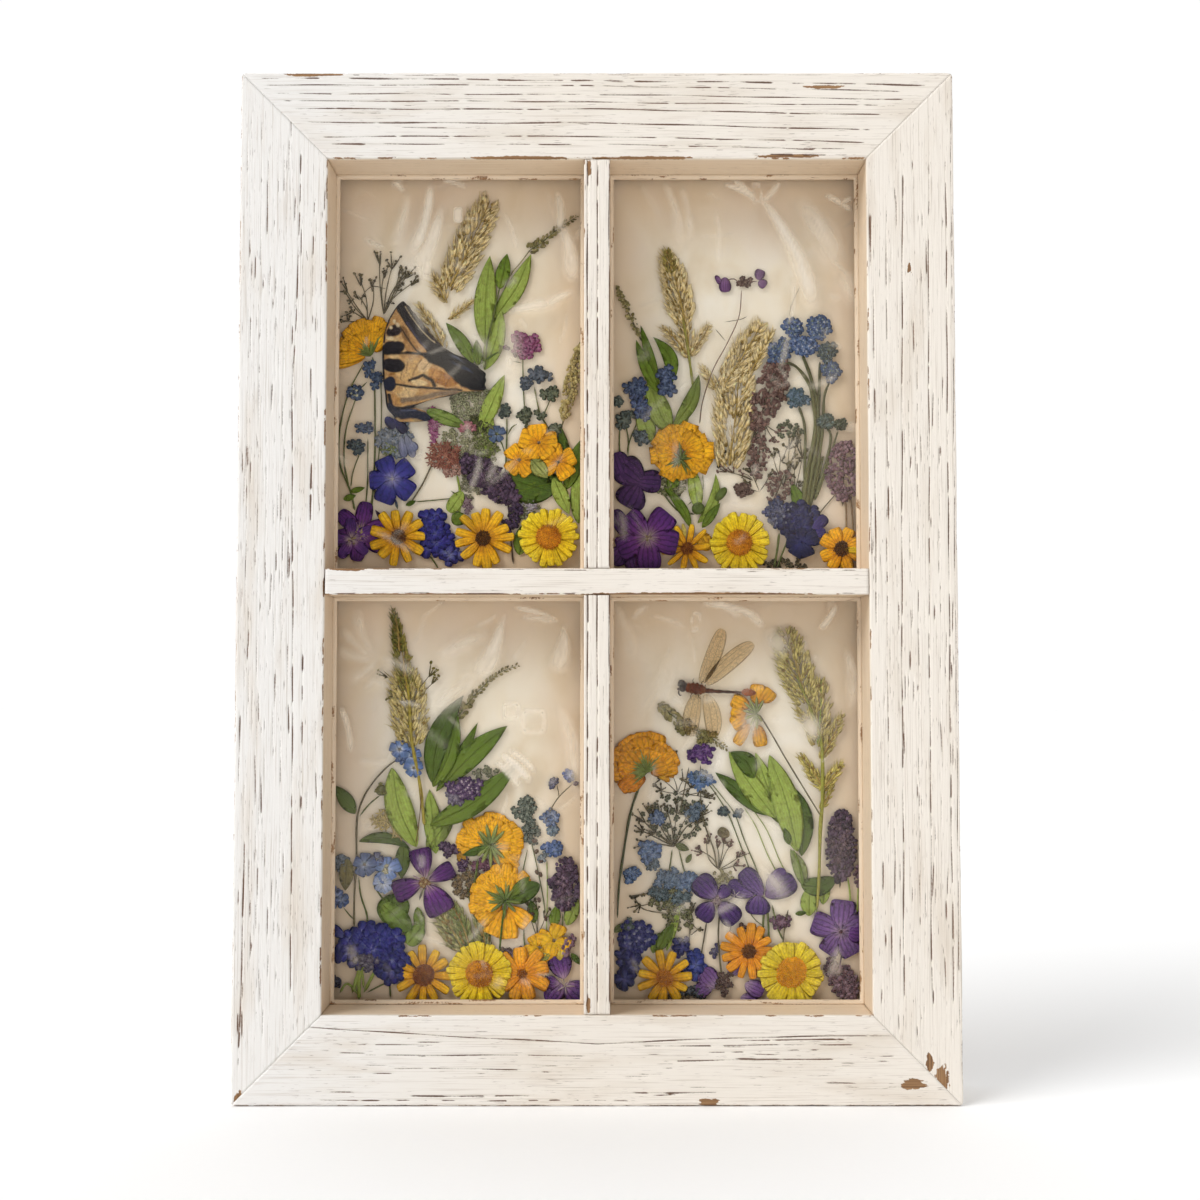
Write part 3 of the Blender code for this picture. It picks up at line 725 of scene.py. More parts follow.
def lay_film(pane, seed):
    """One pane's film: a height field of folds, each a ridge with a bell-shaped section that runs between
    two points, over a slack unevenness, as a thin shell. Its whiteness is milkiness and painted highlight."""
    rng = np.random.default_rng(seed)
    low, high = (np.array(corner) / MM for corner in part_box("film_" + pane))
    side, level = PANES[pane]
    middle = np.array([side * OPENING_X, CROSS_Z + level * PANE_RISE])
    columns, rows = int((high[0] - low[0]) / FILM_STEP), int((high[2] - low[2]) / FILM_STEP)
    x, z = np.meshgrid(np.linspace(low[0], high[0], columns), np.linspace(low[2], high[2], rows))
    u, w = x - middle[0], z - middle[1]
    height = 0.5 * cloud(rng, u, w, 24, 30) + 0.22 * cloud(rng, u + w, w - u, 9, 16) + 0.05 * cloud(rng, u,
        w, 3, 4)
    haze_and_glare = 0.03 * ease(0.45, 0.9, cloud(rng, u, w, 26, 34))
    for u0, w0, u1, w1, near, far, rise, milk_and_glare in FOLDS[pane]:
        run = np.hypot(u1 - u0, w1 - w0)
        du, dw = (u1 - u0) / run, (w1 - w0) / run
        share = ((u - u0) * du + (w - w0) * dw) / run
        bow = 0.05 * run * np.sin(np.pi * np.clip(share, 0, 1))
        off = (u - u0) * -dw + (w - w0) * du - bow
        half = near + (far - near) * np.clip(share, 0, 1)
        blur = 0.15 + 1.2 * (near + far) / run
        ends = ease(-0.5 * blur, blur, share) * ease(1 + 0.5 * blur, 1 - blur, share)
        bell = np.exp(-((off / (1.25 * half)) ** 2)) * ends
        height = height + 0.55 * rise * bell
        # Painted highlight: each fold is whitened in a band set off to one side, where the light would catch
        # it.
        lit = np.exp(-(((off - 0.35 * half) / (0.4 + 1.25 * half)) ** 2)) * ends
        ragged = 0.65 + 0.7 * cloud(rng, off, share * run, 1.2, 7)
        haze_and_glare = np.maximum(haze_and_glare, 1.2 * milk_and_glare * lit * ragged)
    # Painted highlights: each glint whitens a rounded spot, or only its ring where hollow.
    for u0, w0, wide, tall, turn, hollow in GLINTS[pane]:
        turn = np.radians(turn)
        a = (u - u0) * np.cos(turn) + (w - w0) * np.sin(turn)
        b = (w - w0) * np.cos(turn) - (u - u0) * np.sin(turn)
        reach = (np.abs(a / wide) ** 4 + np.abs(b / tall) ** 4) ** 0.25
        spot = ease(1.3, 0.9, reach) * (1 - hollow * ease(0.95, 0.6, reach))
        haze_and_glare = np.maximum(haze_and_glare, (0.5 - 0.25 * hollow) * spot)
    # Small crinkles: each a low ridge, whitened a little as milky crease and painted highlight.
    for _ in range(44):
        u0, w0 = rng.uniform(-50, 50), rng.uniform(-82, 82)
        turn, run = rng.uniform(0, np.pi), rng.uniform(5, 22)
        du, dw = np.cos(turn), np.sin(turn)
        share = ((u - u0) * du + (w - w0) * dw) / run
        off = (u - u0) * -dw + (w - w0) * du + 1.4 * np.sin(share * 2.5)
        ends = ease(0, 0.3, share) * ease(1, 0.7, share)
        bell = np.exp(-((off / rng.uniform(0.5, 1.8)) ** 2)) * ends
        height = height + 0.16 * bell
        haze_and_glare = np.maximum(haze_and_glare, rng.uniform(0.03, 0.2) * bell)
    # The edge is flat, where the boards hold it.
    rim = ease(0, 7, np.minimum(np.minimum(x - low[0], high[0] - x), np.minimum(z - low[2], high[2] - z)))
    y = FILM_FRONT + 0.35 - np.clip(height, 0, 1.1) * 0.75 * rim
    # A thin closed shell: the same grid again behind it, joined round the edge.
    shell = np.stack([np.stack([x, y, z], -1), np.stack([x, y + FILM_THICK, z], -1)])
    index = np.arange(2 * rows * columns).reshape(2, rows, columns)
    sheet = quads_of(index)
    border = [np.concatenate([k[0, :-1], k[:-1, -1], k[-1, :0:-1], k[:0:-1, 0]]) for k in index]
    edge = np.stack([border[0], border[1], np.roll(border[1], -1), np.roll(border[0], -1)], -1)
    return make_piece(
        "cellophane_" + pane,
        shell,
        np.concatenate([sheet[0].reshape(-1, 4), sheet[1].reshape(-1, 4)[:, ::-1], edge]),
        CELLOPHANE,
        ("film_" + pane,),
        {"haze_and_glare": np.tile(np.clip(haze_and_glare, 0, 0.85).ravel(), 2)},
    )


for number, pane in enumerate(PANES):
    lay_film(pane, 30 + number)


def lay_stop(pane, seed):
    """The bead that holds one pane's film: a quarter round, carried round the opening with mitred corners.
    A point is inset from the opening by the width times the sine of its angle, and stands forward by the
    width times the cosine."""
    side, level = PANES[pane]
    middle = np.array([side * OPENING_X, CROSS_Z + level * PANE_RISE])
    half = np.array(HALF_OPENING)
    steps = 70
    angle = np.linspace(0, np.pi / 2, 6)
    inset = np.append(STOP_WIDTH * np.sin(angle), 0)
    y = np.append(STOP_BACK - STOP_WIDTH * np.cos(angle), STOP_BACK)
    corners = np.array([(-1, -1), (1, -1), (1, 1), (-1, 1), (-1, -1)], float)
    share = np.arange(4 * steps) / steps
    unit = np.stack([np.interp(share, range(5), corners[:, axis]) for axis in (0, 1)], -1)
    rng = np.random.default_rng(seed)
    along = np.cumsum(np.append(0, np.abs(np.diff(unit, axis=0)) @ half))[:, None] + 0 * inset
    wobble = 0.12 * (cloud(rng, along, 0 * along, 7, 1) - 0.5) * (inset > 0)
    flat = middle + unit[:, None] * (half - inset[:, None])
    points = np.stack([flat[..., 0], y + wobble, flat[..., 1]], -1)
    index = np.arange(points[..., 0].size).reshape(points.shape[:2])
    after = np.roll(index, -1, 0)
    faces = np.stack([index, np.roll(index, -1, 1), np.roll(after, -1, 1), after], -1).reshape(-1, 4)
    grain = np.stack([along, 0 * along + inset, 0 * along + 40 * seed], -1).reshape(-1, 3)
    worn = 0.6 * ease(0.55, 0.9, cloud(rng, along, inset + 0 * along, 6, 0.8))
    blank = np.zeros(along.size)
    # The whole bead takes the recess walls' beige: thinner paint, and painted shade.
    return make_piece(
        "film_stop_" + pane, points, faces, WHITEWASH,
        attributes={"grain": grain, "groove": blank, "worn": worn.ravel(), "wall": blank + 1.0},
    )


for number, pane in enumerate(PANES):
    lay_stop(pane, 50 + number)


# Pressed plants: materials

FINISHES = {
    # Ray petals of a daisy, dried flat: waxy, with a few lengthwise folds that show as darker lines.
    "yellow_petals": ("dried_daisy_petals", 3.0, 0.2, 0.5),
    "gold_petals": ("dried_tickseed_petals", 3.0, 0.26, 0.5),
    # Marigold and trefoil petals: thinner, so more crumpled and mottled.
    "orange_petals": ("dried_marigold_petals", 4.0, 0.3, 0.55),
    # Crane's-bill and violet petals: papery, with dark branching veins.
    "violet_petals": ("dried_violet_petals", 5.0, 0.5, 0.6),
    "indigo_petals": ("dried_larkspur_petals", 4.0, 0.4, 0.6),
    "blue_petals": ("dried_forget_me_not_petals", 3.0, 0.3, 0.6),
    # Leaves: leathery, with side veins and a slight gloss on the ribs.
    "dried_leaf": ("pressed_leaves", 9.0, 0.16, 0.45),
    # Grass heads: straw, dry and dull, each husk ribbed along its length.
    "dried_grass": ("straw_husks", 4.0, 0.34, 0.7),
    # Wings: scales like dust, quite matt, over ribs.
    "butterfly_wing": ("butterfly_wing_scales", 0.0, 0.0, 0.75),
    "dragonfly_body": ("dragonfly_shell", 6.0, 0.2, 0.35),
}


def pressed(name, veins, vein_depth, roughness):
    """A dried plant or insect surface. "tint" is its colour, and "lie" holds (across from -1 to 1, along
    from 0 to 1, a number of its own): veins run along it, and mottling at 0.3 to 1.5 mm breaks the colour
    up as drying does."""
    material, tree, out = new_material(name)
    tint = add(tree, "ShaderNodeAttribute", attribute_name="tint").outputs["Color"]
    lie = add(tree, "ShaderNodeAttribute", attribute_name="lie").outputs["Vector"]
    place = add(tree, "ShaderNodeTexCoord").outputs["Object"]
    parts = add(tree, "ShaderNodeSeparateXYZ", {0: lie}).outputs
    blotch = add(tree, "ShaderNodeTexNoise", {0: place, "Scale": 650.0, "Detail": 3.0,
                                              "Roughness": 0.65}).outputs[0]
    fine = add(tree, "ShaderNodeTexNoise", {0: place, "Scale": 3000.0, "Detail": 1.0}).outputs[0]
    wave = add(tree, "ShaderNodeMath", {0: parts["X"], 1: veins * 3.14, 2: parts["Z"]},
               operation="MULTIPLY_ADD")
    wave = add(tree, "ShaderNodeMath", {0: blotch, 1: 5.0, 2: wave.outputs[0]},
               operation="MULTIPLY_ADD").outputs[0]
    wave = add(tree, "ShaderNodeMath", {0: wave}, operation="SINE").outputs[0]
    vein = add(tree, "ShaderNodeMapRange", {0: wave, 1: 0.35, 2: 0.95}).outputs[0]
    darken = add(tree, "ShaderNodeMath", {0: vein, 1: -vein_depth, 2: 1.0},
                 operation="MULTIPLY_ADD").outputs[0]
    mottle = add(tree, "ShaderNodeMapRange", {0: blotch, 1: 0.3, 2: 0.7, 3: 0.72, 4: 1.2}).outputs[0]
    grit = add(tree, "ShaderNodeMapRange", {0: fine, 1: 0.3, 2: 0.7, 3: 0.9, 4: 1.1}).outputs[0]
    value = add(tree, "ShaderNodeMath", {0: darken, 1: mottle}, operation="MULTIPLY").outputs[0]
    value = add(tree, "ShaderNodeMath", {0: value, 1: grit}, operation="MULTIPLY").outputs[0]
    hue = add(tree, "ShaderNodeMapRange", {0: blotch, 1: 0.3, 2: 0.7, 3: 0.49, 4: 0.51}).outputs[0]
    colour = add(tree, "ShaderNodeHueSaturation", {"Hue": hue, "Value": value, "Color": tint}).outputs[0]
    height = add(tree, "ShaderNodeMath", {0: vein, 1: -0.5, 2: blotch}, operation="MULTIPLY_ADD").outputs[0]
    bump = add(tree, "ShaderNodeBump", {"Strength": 0.5, "Distance": 0.0003, "Height": height}).outputs[0]
    surface = add(
        tree,
        "ShaderNodeBsdfPrincipled",
        {"Base Color": colour, "Roughness": roughness, "Normal": bump, "Specular IOR Level": 0.3},
    )
    tree.links.new(surface.outputs[0], out.inputs[0])
    return material


PRESSED = {slot: pressed(*finish) for slot, finish in FINISHES.items()}


def wing_membrane():
    """A dragonfly's wing: clear, faintly amber, netted with brown veins."""
    material, tree, out = new_material("dragonfly_wing_membrane")
    lie = add(tree, "ShaderNodeAttribute", attribute_name="lie").outputs["Vector"]
    parts = add(tree, "ShaderNodeSeparateXYZ", {0: lie}).outputs
    place = add(tree, "ShaderNodeTexCoord").outputs["Object"]
    # Cells of the net are about 1.2 mm.
    net = add(tree, "ShaderNodeTexVoronoi", {0: place, "Scale": 900.0},
              feature="DISTANCE_TO_EDGE").outputs[0]
    net = add(tree, "ShaderNodeMapRange", {0: net, 1: 0.01, 2: 0.07, 3: 0.3, 4: 0.03}).outputs[0]
    edge = add(tree, "ShaderNodeMath", {0: parts["X"]}, operation="ABSOLUTE").outputs[0]
    edge = add(tree, "ShaderNodeMapRange", {0: edge, 1: 0.88, 2: 0.97, 4: 0.5}).outputs[0]
    ribs = add(tree, "ShaderNodeMath", {0: parts["X"], 1: 9.0}, operation="MULTIPLY").outputs[0]
    ribs = add(tree, "ShaderNodeMath", {0: ribs}, operation="SINE").outputs[0]
    ribs = add(tree, "ShaderNodeMapRange", {0: ribs, 1: 0.9, 2: 1.0, 4: 0.32}).outputs[0]
    share = add(tree, "ShaderNodeMath", {0: net, 1: edge}, operation="MAXIMUM").outputs[0]
    share = add(tree, "ShaderNodeMath", {0: share, 1: ribs}, operation="MAXIMUM").outputs[0]
    clear = add(tree, "ShaderNodeBsdfTransparent", {"Color": "#fffaf0"}).outputs[0]
    vein = add(tree, "ShaderNodeBsdfPrincipled", {"Base Color": "#8a6f45", "Roughness": 0.4}).outputs[0]
    surface = add(tree, "ShaderNodeMixShader", {0: share, 1: clear, 2: vein})
    tree.links.new(surface.outputs[0], out.inputs[0])
    return material


WING_MEMBRANE = wing_membrane()


# Pressed plants: shapes

# Depths, from just off the backing to just behind the film.
BEHIND, LOW, MIDDLE, HIGH = 10.1, 9.4, 8.6, 7.8
SLOT_OF = {part["node"]: part["material_slot"] for part in frame["record"]["subparts"]}
LOOSE_SLOTS = {
    "leaves_and_stalks": "dried_leaf",
    "seed_heads": "dried_grass",
    "small_blue_flowers": "blue_petals",
    "small_violet_flowers": "violet_petals",
    "small_yellow_flowers": "gold_petals",
    "dragonfly_wings": "clear_film",
}


def shades(colours, share):
    """Colour at a share of the way through a list of hex colours, in linear light."""
    colours = np.array([linear(colour)[:3] for colour in colours])
    places = np.linspace(0, 1, len(colours))
    return np.stack([np.interp(share, places, colours[:, i]) for i in range(3)], -1)


def smooth_line(path, step):
    """Points about step apart along a Catmull-Rom line through path: a cubic between each two, by their
    neighbours."""
    path = np.asarray(path, float)
    padded = np.concatenate([2 * path[:1] - path[1:2], path, 2 * path[-1:] - path[-2:-1]])
    length = np.hypot(*np.diff(path, axis=0).T).sum()
    t = np.linspace(0, len(path) - 1, max(int(length / step), 3) + 1)
    i = np.minimum(t.astype(int), len(path) - 2)
    f = (t - i)[:, None]
    a, b, c, d = padded[i], padded[i + 1], padded[i + 2], padded[i + 3]
    return 0.5 * (2 * b + (c - a) * f + (2 * a - 5 * b + 4 * c - d) * f**2 + (3 * b - a - 3 * c + d) * f**3)


def heading(degrees):
    """Unit vectors (right, up) for angles in degrees, counted from the right."""
    angle = np.radians(degrees)
    return np.stack([np.cos(angle), np.sin(angle)], -1)


class Cutting:
    """A dried specimen in the making: closed rings of points carried along a line, with a tint and a lie at
    each."""

    def __init__(self, pane, name):
        side, level = PANES[pane]
        self.name = f"{pane}_{name}"
        self.kind = name
        self.middle = np.array([side * PANE_X, CROSS_Z + level * PANE_RISE])
        self.rng = np.random.default_rng([ord(letter) for letter in self.name])
        self.points, self.tints, self.lies, self.faces = [], [], [], []
        self.count = 0

    def add_rings(self, points, tints, lies):
        """Takes n strips, each rows by ring points of (right, depth, up). A strip is a closed tube: its
        volume is a third of the sum over its faces of their area vector times their centre, and where that
        is negative they are turned."""
        n, rows, ring = points.shape[:3]
        index = self.count + np.arange(n * rows * ring).reshape(n, rows, ring)
        index = np.concatenate([index, index[:, :, :1]], axis=2)
        quads = quads_of(index)
        centred = points - points.mean((1, 2), keepdims=True)
        corners = centred.reshape(-1, 3)[quads - self.count]
        spans = np.cross(corners[..., 2, :] - corners[..., 0, :], corners[..., 3, :] - corners[..., 1, :])
        inside_out = (spans * corners.mean(-2)).sum((1, 2, 3)) < 0
        quads[inside_out] = quads[inside_out][..., ::-1]
        self.faces.append(quads.reshape(-1, 4))
        self.points.append(points.reshape(-1, 3))
        self.tints.append(np.broadcast_to(tints, points.shape).reshape(-1, 3))
        self.lies.append(np.broadcast_to(lies, points.shape).reshape(-1, 3))
        self.count += n * rows * ring

    def blades(self, base, tip, width, colours, depth, foot=0.5, end=0.5, crown=0.25, notch=0.0, bend=0.0,
               lift=0.0, ruffle=0.1, across=5, rows=9, rim=None, thick=0.15, fold=0.0, vary=0.08):
        """Petals and leaves from base to tip. At share v of the length the half width goes as v to the foot
        times (1 - v) to the end, so small powers are blunt. The front rises by crown in the middle, or
        sinks by fold along the midrib, and ripples by ruffle; one point behind each row closes the ring.
        notch dents the tip."""
        base, tip = np.atleast_2d(np.asarray(base, float)), np.atleast_2d(np.asarray(tip, float))
        n = max(len(base), len(tip))
        base, tip = np.broadcast_to(base, (n, 2)), np.broadcast_to(tip, (n, 2))
        spread = lambda value: np.broadcast_to(np.asarray(value, float), (n,))[:, None, None]
        width, depth, bend, lift = spread(width), spread(depth), spread(bend), spread(lift)
        v = (0.5 - 0.5 * np.cos(np.pi * np.linspace(0, 1, rows)))[None, :, None]
        u = np.linspace(-1, 1, across)[None, None, :]
        shape = v**foot * (1 - v) ** end
        shape = shape / shape.max()
        run = tip - base
        length = np.hypot(run[:, 0], run[:, 1])
        ahead = (run / length[:, None])[:, None, None, :]
        right = ahead[..., ::-1] * [1, -1]
        far = v * (1 - notch) + notch * np.abs(u) ** 1.5 * np.sin(np.pi * v**3) * 1.3
        aside = width / 2 * shape * u + bend * length[:, None, None] * 4 * v * (1 - v)
        flat = base[:, None, None, :] + ahead * (length[:, None, None] * far)[..., None] + right * aside[...,
            None]
        phase = self.rng.random((n, 1, 1)) * TAU
        ripple = np.sin(7 * v + 3 * u + phase) * np.sin(4 * u + 2 * phase + 5 * v) * shape
        y = depth - crown * shape * (1 - u**2) + fold * shape * (1 - np.abs(u))
        y = y - lift * v**2 + ruffle * ripple
        back = np.full((n, rows, 1), thick) * shape + y[..., across // 2 : across // 2 + 1].clip(depth - 1,
            None)
        rest = flat[:, :, across // 2 : across // 2 + 1]
        flat = np.concatenate([flat, rest], 2)
        y = np.concatenate([y, np.maximum(back, y.max(2, keepdims=True) + 0.03 * shape)], 2)
        points = np.stack([flat[..., 0], y, flat[..., 1]], -1)
        v, u = v + 0 * y, np.concatenate([u + 0 * y[..., :-1], y[..., :1] * 0], 2)
        tints = shades(colours, v)
        if rim:
            tints += (np.array(linear(rim)[:3]) - tints) * (0.75 * np.abs(u) ** 3)[..., None]
        tints = tints * self.rng.normal(1, vary, (n, 1, 1, 1)).clip(0.7, 1.3)
        self.add_rings(points, tints, np.stack([u, v, phase + 0 * u], -1))

    def stem(self, path, radii, colours, depth=BEHIND, sides=5, step=1.6):
        """A stalk: a ring carried along a smooth line, its radius going from the first to the last of
        radii."""
        line = smooth_line(path, step)
        ahead = np.gradient(line, axis=0)
        ahead /= np.hypot(ahead[:, 0], ahead[:, 1])[:, None]
        share = np.linspace(0, 1, len(line))
        radius = np.interp(share, np.linspace(0, 1, len(radii)), radii)
        radius = radius * (1 + 0.12 * np.sin(share * 30 + self.rng.random() * 6))
        radius[0] = radius[-1] = 0
        angle = np.arange(sides) / sides * TAU
        aside = np.cos(angle) * radius[:, None]
        depths = np.interp(share, np.linspace(0, 1, np.size(depth)), np.atleast_1d(depth))
        right = ahead[:, ::-1] * [1, -1]
        x = line[:, :1] + right[:, :1] * aside
        z = line[:, 1:] + right[:, 1:] * aside
        y = depths[:, None] + np.sin(angle) * radius[:, None] * 0.8
        lies = np.stack([np.cos(angle) + 0 * x, share[:, None] + 0 * x, 0 * x], -1)
        self.add_rings(np.stack([x, y, z], -1)[None], shades(colours, share)[None, :, None, :], lies[None])

    def beads(self, at, size, colours, depth, stretch=1.3, turn=None, rows=4, ring=5, flat=0.55):
        """Buds, seeds and tiny heads: n squashed balls, each a ring whose radius goes as the sine of the
        share."""
        at = np.atleast_2d(np.asarray(at, float))
        n = len(at)
        size = np.broadcast_to(np.asarray(size, float), (n,))[:, None, None]
        depth = np.broadcast_to(np.asarray(depth, float), (n,))[:, None, None]
        turn = self.rng.uniform(0, 360, n) if turn is None else np.broadcast_to(np.asarray(turn, float),
            (n,))
        ahead = heading(turn)[:, None, None, :]
        v = np.linspace(0, 1, rows)[None, :, None]
        angle = (np.arange(ring) / ring * TAU)[None, None, :]
        radius = size * np.sin(np.pi * v) * (1 + 0.18 * np.sin(2 * angle + self.rng.random((n, 1, 1)) * 6))
        far = -size * stretch * np.cos(np.pi * v) + 0 * angle
        right = ahead[..., ::-1] * [1, -1]
        flat_points = at[:, None, None, :] + ahead * far[..., None] + right * (radius * np.cos(angle))[...,
            None]
        y = depth + radius * np.sin(angle) * flat
        points = np.stack([flat_points[..., 0], y, flat_points[..., 1]], -1)
        tints = shades(colours, self.rng.random((n, 1, 1)) + 0 * y) * self.rng.normal(1, 0.1,
            (n, 1, 1, 1)).clip(0.6, 1.4)
        self.add_rings(points, tints, np.stack([np.cos(angle) + 0 * y, v + 0 * y, 0 * y], -1))

    def florets(self, at, reach, petals, colours, depth, width=0.75, eye=None, eye_size=0.22, **shape):
        """Small open flowers: a round of petals about each place, turned at random, with an eye in the
        middle."""
        at = np.atleast_2d(np.asarray(at, float))
        n = len(at)
        reach = np.broadcast_to(np.asarray(reach, float), (n,))
        depth = np.broadcast_to(np.asarray(depth, float), (n,))
        turns = self.rng.uniform(0, 360, (n, 1)) + np.arange(petals) * 360 / petals + self.rng.normal(0, 9,
            (n, petals))
        long = reach[:, None] * self.rng.normal(1, 0.1, (n, petals)).clip(0.75, 1.25)
        base = np.repeat(at, petals, 0)
        tip = base + heading(turns.ravel()) * long.reshape(-1, 1)
        deep = np.repeat(depth, petals) - self.rng.uniform(0, 0.15, n * petals)
        shape = {"rows": 6, "across": 3, "foot": 0.6, "end": 0.35, "crown": 0.12, **shape}
        self.blades(base, tip, width * long.ravel(), colours, deep, **shape)
        if eye:
            self.beads(at, reach * eye_size, eye, depth - 0.3, stretch=1.0)

    def finish(self, material=None):
        """Joins what was added into one piece, which stands for the node of its name if there is one. A
        ring's end is drawn to a point, so its doubles are merged there."""
        node = self.name if self.name in SLOT_OF else None
        slot = SLOT_OF.get(self.name) or LOOSE_SLOTS[self.kind]
        name = self.name + "_pressed"
        points = np.concatenate(self.points)
        points[:, 0] += self.middle[0]
        points[:, 2] += self.middle[1]
        points[:, 1] = points[:, 1].clip(None, BEHIND + 0.56)
        tints = np.concatenate(self.tints).clip(0, 1)
        mesh = bpy.data.meshes.new(name)
        faces = np.concatenate(self.faces)
        mesh.from_pydata((points * MM).tolist(), [], faces.tolist())
        rgba = np.concatenate([tints, np.ones((len(tints), 1))], 1).astype(np.float32)
        mesh.attributes.new("tint", "FLOAT_COLOR", "POINT").data.foreach_set("color", rgba.ravel())
        lies = np.concatenate(self.lies).astype(np.float32)
        mesh.attributes.new("lie", "FLOAT_VECTOR", "POINT").data.foreach_set("vector", lies.ravel())
        shell = bmesh.new()
        shell.from_mesh(mesh)
        bmesh.ops.remove_doubles(shell, verts=shell.verts, dist=1e-7)
        shell.to_mesh(mesh)
        shell.free()
        mesh.validate()
        mesh.polygons.foreach_set("use_smooth", np.ones(len(mesh.polygons), bool))
        mesh.materials.append(material or PRESSED[slot])
        piece = bpy.data.objects.new(name, mesh)
        bpy.context.scene.collection.objects.link(piece)
        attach(piece, "root")
        if node:
            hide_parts(node)
        return piece


stem, blades, beads, florets = Cutting.stem, Cutting.blades, Cutting.beads, Cutting.florets


# Pressed plants: kinds of flower

LEMON = ("#b8860a", "#e9c616", "#f3d51e", "#f6de3c")
GOLD = ("#a05c06", "#e2a20c", "#f3bb18", "#f4c42c")
ORANGE = ("#c98406", "#e9a20c", "#f4b416", "#f0af20")
VIOLET = ("#c3a9bd", "#7a489e", "#5c3288", "#502a7a")
PURPLE = ("#b79ab0", "#74388e", "#5e2880", "#4e206e")
INDIGO = ("#6b6fa6", "#36369a", "#2b2b82", "#22226a")
NAVY = ("#3c3f78", "#24285e", "#1c1f4c", "#181a40")
FORGET = ("#dfe3ec", "#7f97c8", "#6480b8", "#5a74a8")
SLATE = ("#7c8a9c", "#5b6f8e", "#4f6284", "#4a5878")
GREEN = ("#768a2c", "#668022", "#5a741c")
DARK_GREEN = ("#5e7522", "#4f691c", "#445b18")
PALE_GREEN = ("#93a848", "#a0b455", "#95aa4c")
STRAW = ("#c4a968", "#e4cc94", "#f2e0b4", "#ead7a2")
STALK = ("#6d7440", "#5f6c38", "#6c7644")
BROWN_STALK = ("#5c5440", "#6a6248", "#7a7256")


def ray_flower(cut, x, z, reach, petals, depth, colours, disc, eye, width=1.0, second=False, turn=0.0,
               **shape):
    """A daisy: rays from the disc's edge, uneven in length and turn, and a domed disc of seeds set on a
    spiral."""
    at = np.array([x, z], float)
    for row in range(2 if second else 1):
        angles = turn + (np.arange(petals) + 0.5 * row) * 360 / petals + cut.rng.normal(0, 2.4, petals)
        long = reach * cut.rng.normal(1.0 if row == 0 else 0.97, 0.05, petals).clip(0.82, 1.06)
        ways = heading(angles)
        wide = width * 2 * np.pi * reach * 0.78 / petals * cut.rng.normal(1, 0.08, petals)
        shape = {"foot": 0.42, "end": 0.24, "crown": 0.22, "rows": 10, "notch": 0.05, **shape}
        cut.blades(
            at + ways * disc * 0.6, at + ways * long[:, None], wide, colours,
            depth + 0.25 * row - cut.rng.uniform(0, 0.2, petals), bend=cut.rng.normal(0, 0.02, petals),
            **shape
        )
    count = int(disc * disc * 5.5)
    place = np.sqrt((np.arange(count) + 0.5) / count)
    spiral = at + heading(np.arange(count) * 137.508) * (place * disc)[:, None]
    dome = depth - 0.35 - 0.45 * (1 - place**2)
    cut.beads([at], disc * 1.02, (eye[0], eye[0]), depth - 0.1, stretch=1.0, rows=7, ring=16, flat=0.12)
    cut.beads(spiral, 0.36 + 0.0 * place, eye, dome, stretch=1.3, turn=np.arange(count) * 137.508, flat=0.8)


def broad_flower(cut, x, z, reach, depth, colours, petals=5, turn=90.0, width=0.85, pale=True, **shape):
    """A crane's-bill or violet: broad petals that overlap, thin and rippled, with a pale middle and dark
    veins."""
    at = np.array([x, z], float)
    angles = turn + np.arange(petals) * 360 / petals + cut.rng.normal(0, 5, petals)
    long = reach * cut.rng.normal(1, 0.06, petals).clip(0.85, 1.1)
    shape = {"foot": 0.62, "end": 0.3, "crown": 0.2, "ruffle": 0.22, "rows": 14, "across": 9, "notch": 0.07,
             **shape}
    cut.blades(
        at + heading(angles) * 0.6, at + heading(angles) * long[:, None], width * long, colours,
        depth - np.arange(petals) * 0.06, rim=colours[-1], **shape
    )
    if pale:
        cut.blades(
            at, at + heading(angles[:, None] + [-14, 0, 14]).reshape(-1, 2) * np.repeat(long, 3)[:,
                None] * 0.42, 0.5,
            ("#d8cdb8", colours[0], colours[1]), depth - 0.42, rows=5, across=3, crown=0.05, ruffle=0
        )
        cut.beads(at + cut.rng.normal(0, 0.8, (7, 2)), 0.45, ("#c9b87c", "#8a6f8a"), depth - 0.6)


def side_marigold(cut, x, z, reach, facing, sweep, depth, count=26, colours=ORANGE):
    """A marigold pressed on its side: rays fanned from the cup in three layers, over a green cup of narrow
    sepals."""
    at = np.array([x, z], float)
    for layer, share in enumerate((1.0, 0.84, 0.62)):
        angles = facing + np.linspace(-sweep / 2, sweep / 2, count) * (1 - 0.06 * layer) + cut.rng.normal(0,
            3, count)
        long = reach * share * cut.rng.normal(1, 0.07, count).clip(0.8, 1.1)
        cut.blades(
            at + heading(angles) * reach * 0.12, at + heading(angles) * long[:, None],
            2 * reach * np.radians(sweep) / count * 1.5, colours,
            depth - 0.16 * layer + cut.rng.uniform(-0.1, 0.1, count),
            foot=0.3, end=0.22, notch=0.06, rows=9
        )
    angles = facing + np.linspace(-sweep * 0.42, sweep * 0.42, 13) + cut.rng.normal(0, 4, 13)
    cut.blades(
        at - heading(facing) * 1.5, at + heading(angles) * (reach * 0.46 * cut.rng.normal(1, 0.2, 13))[:,
            None], 1.1,
        ("#5f6b34", "#7f8f48", "#9aa560"), depth - 0.55, foot=0.4, end=0.8, rows=7, across=3
    )


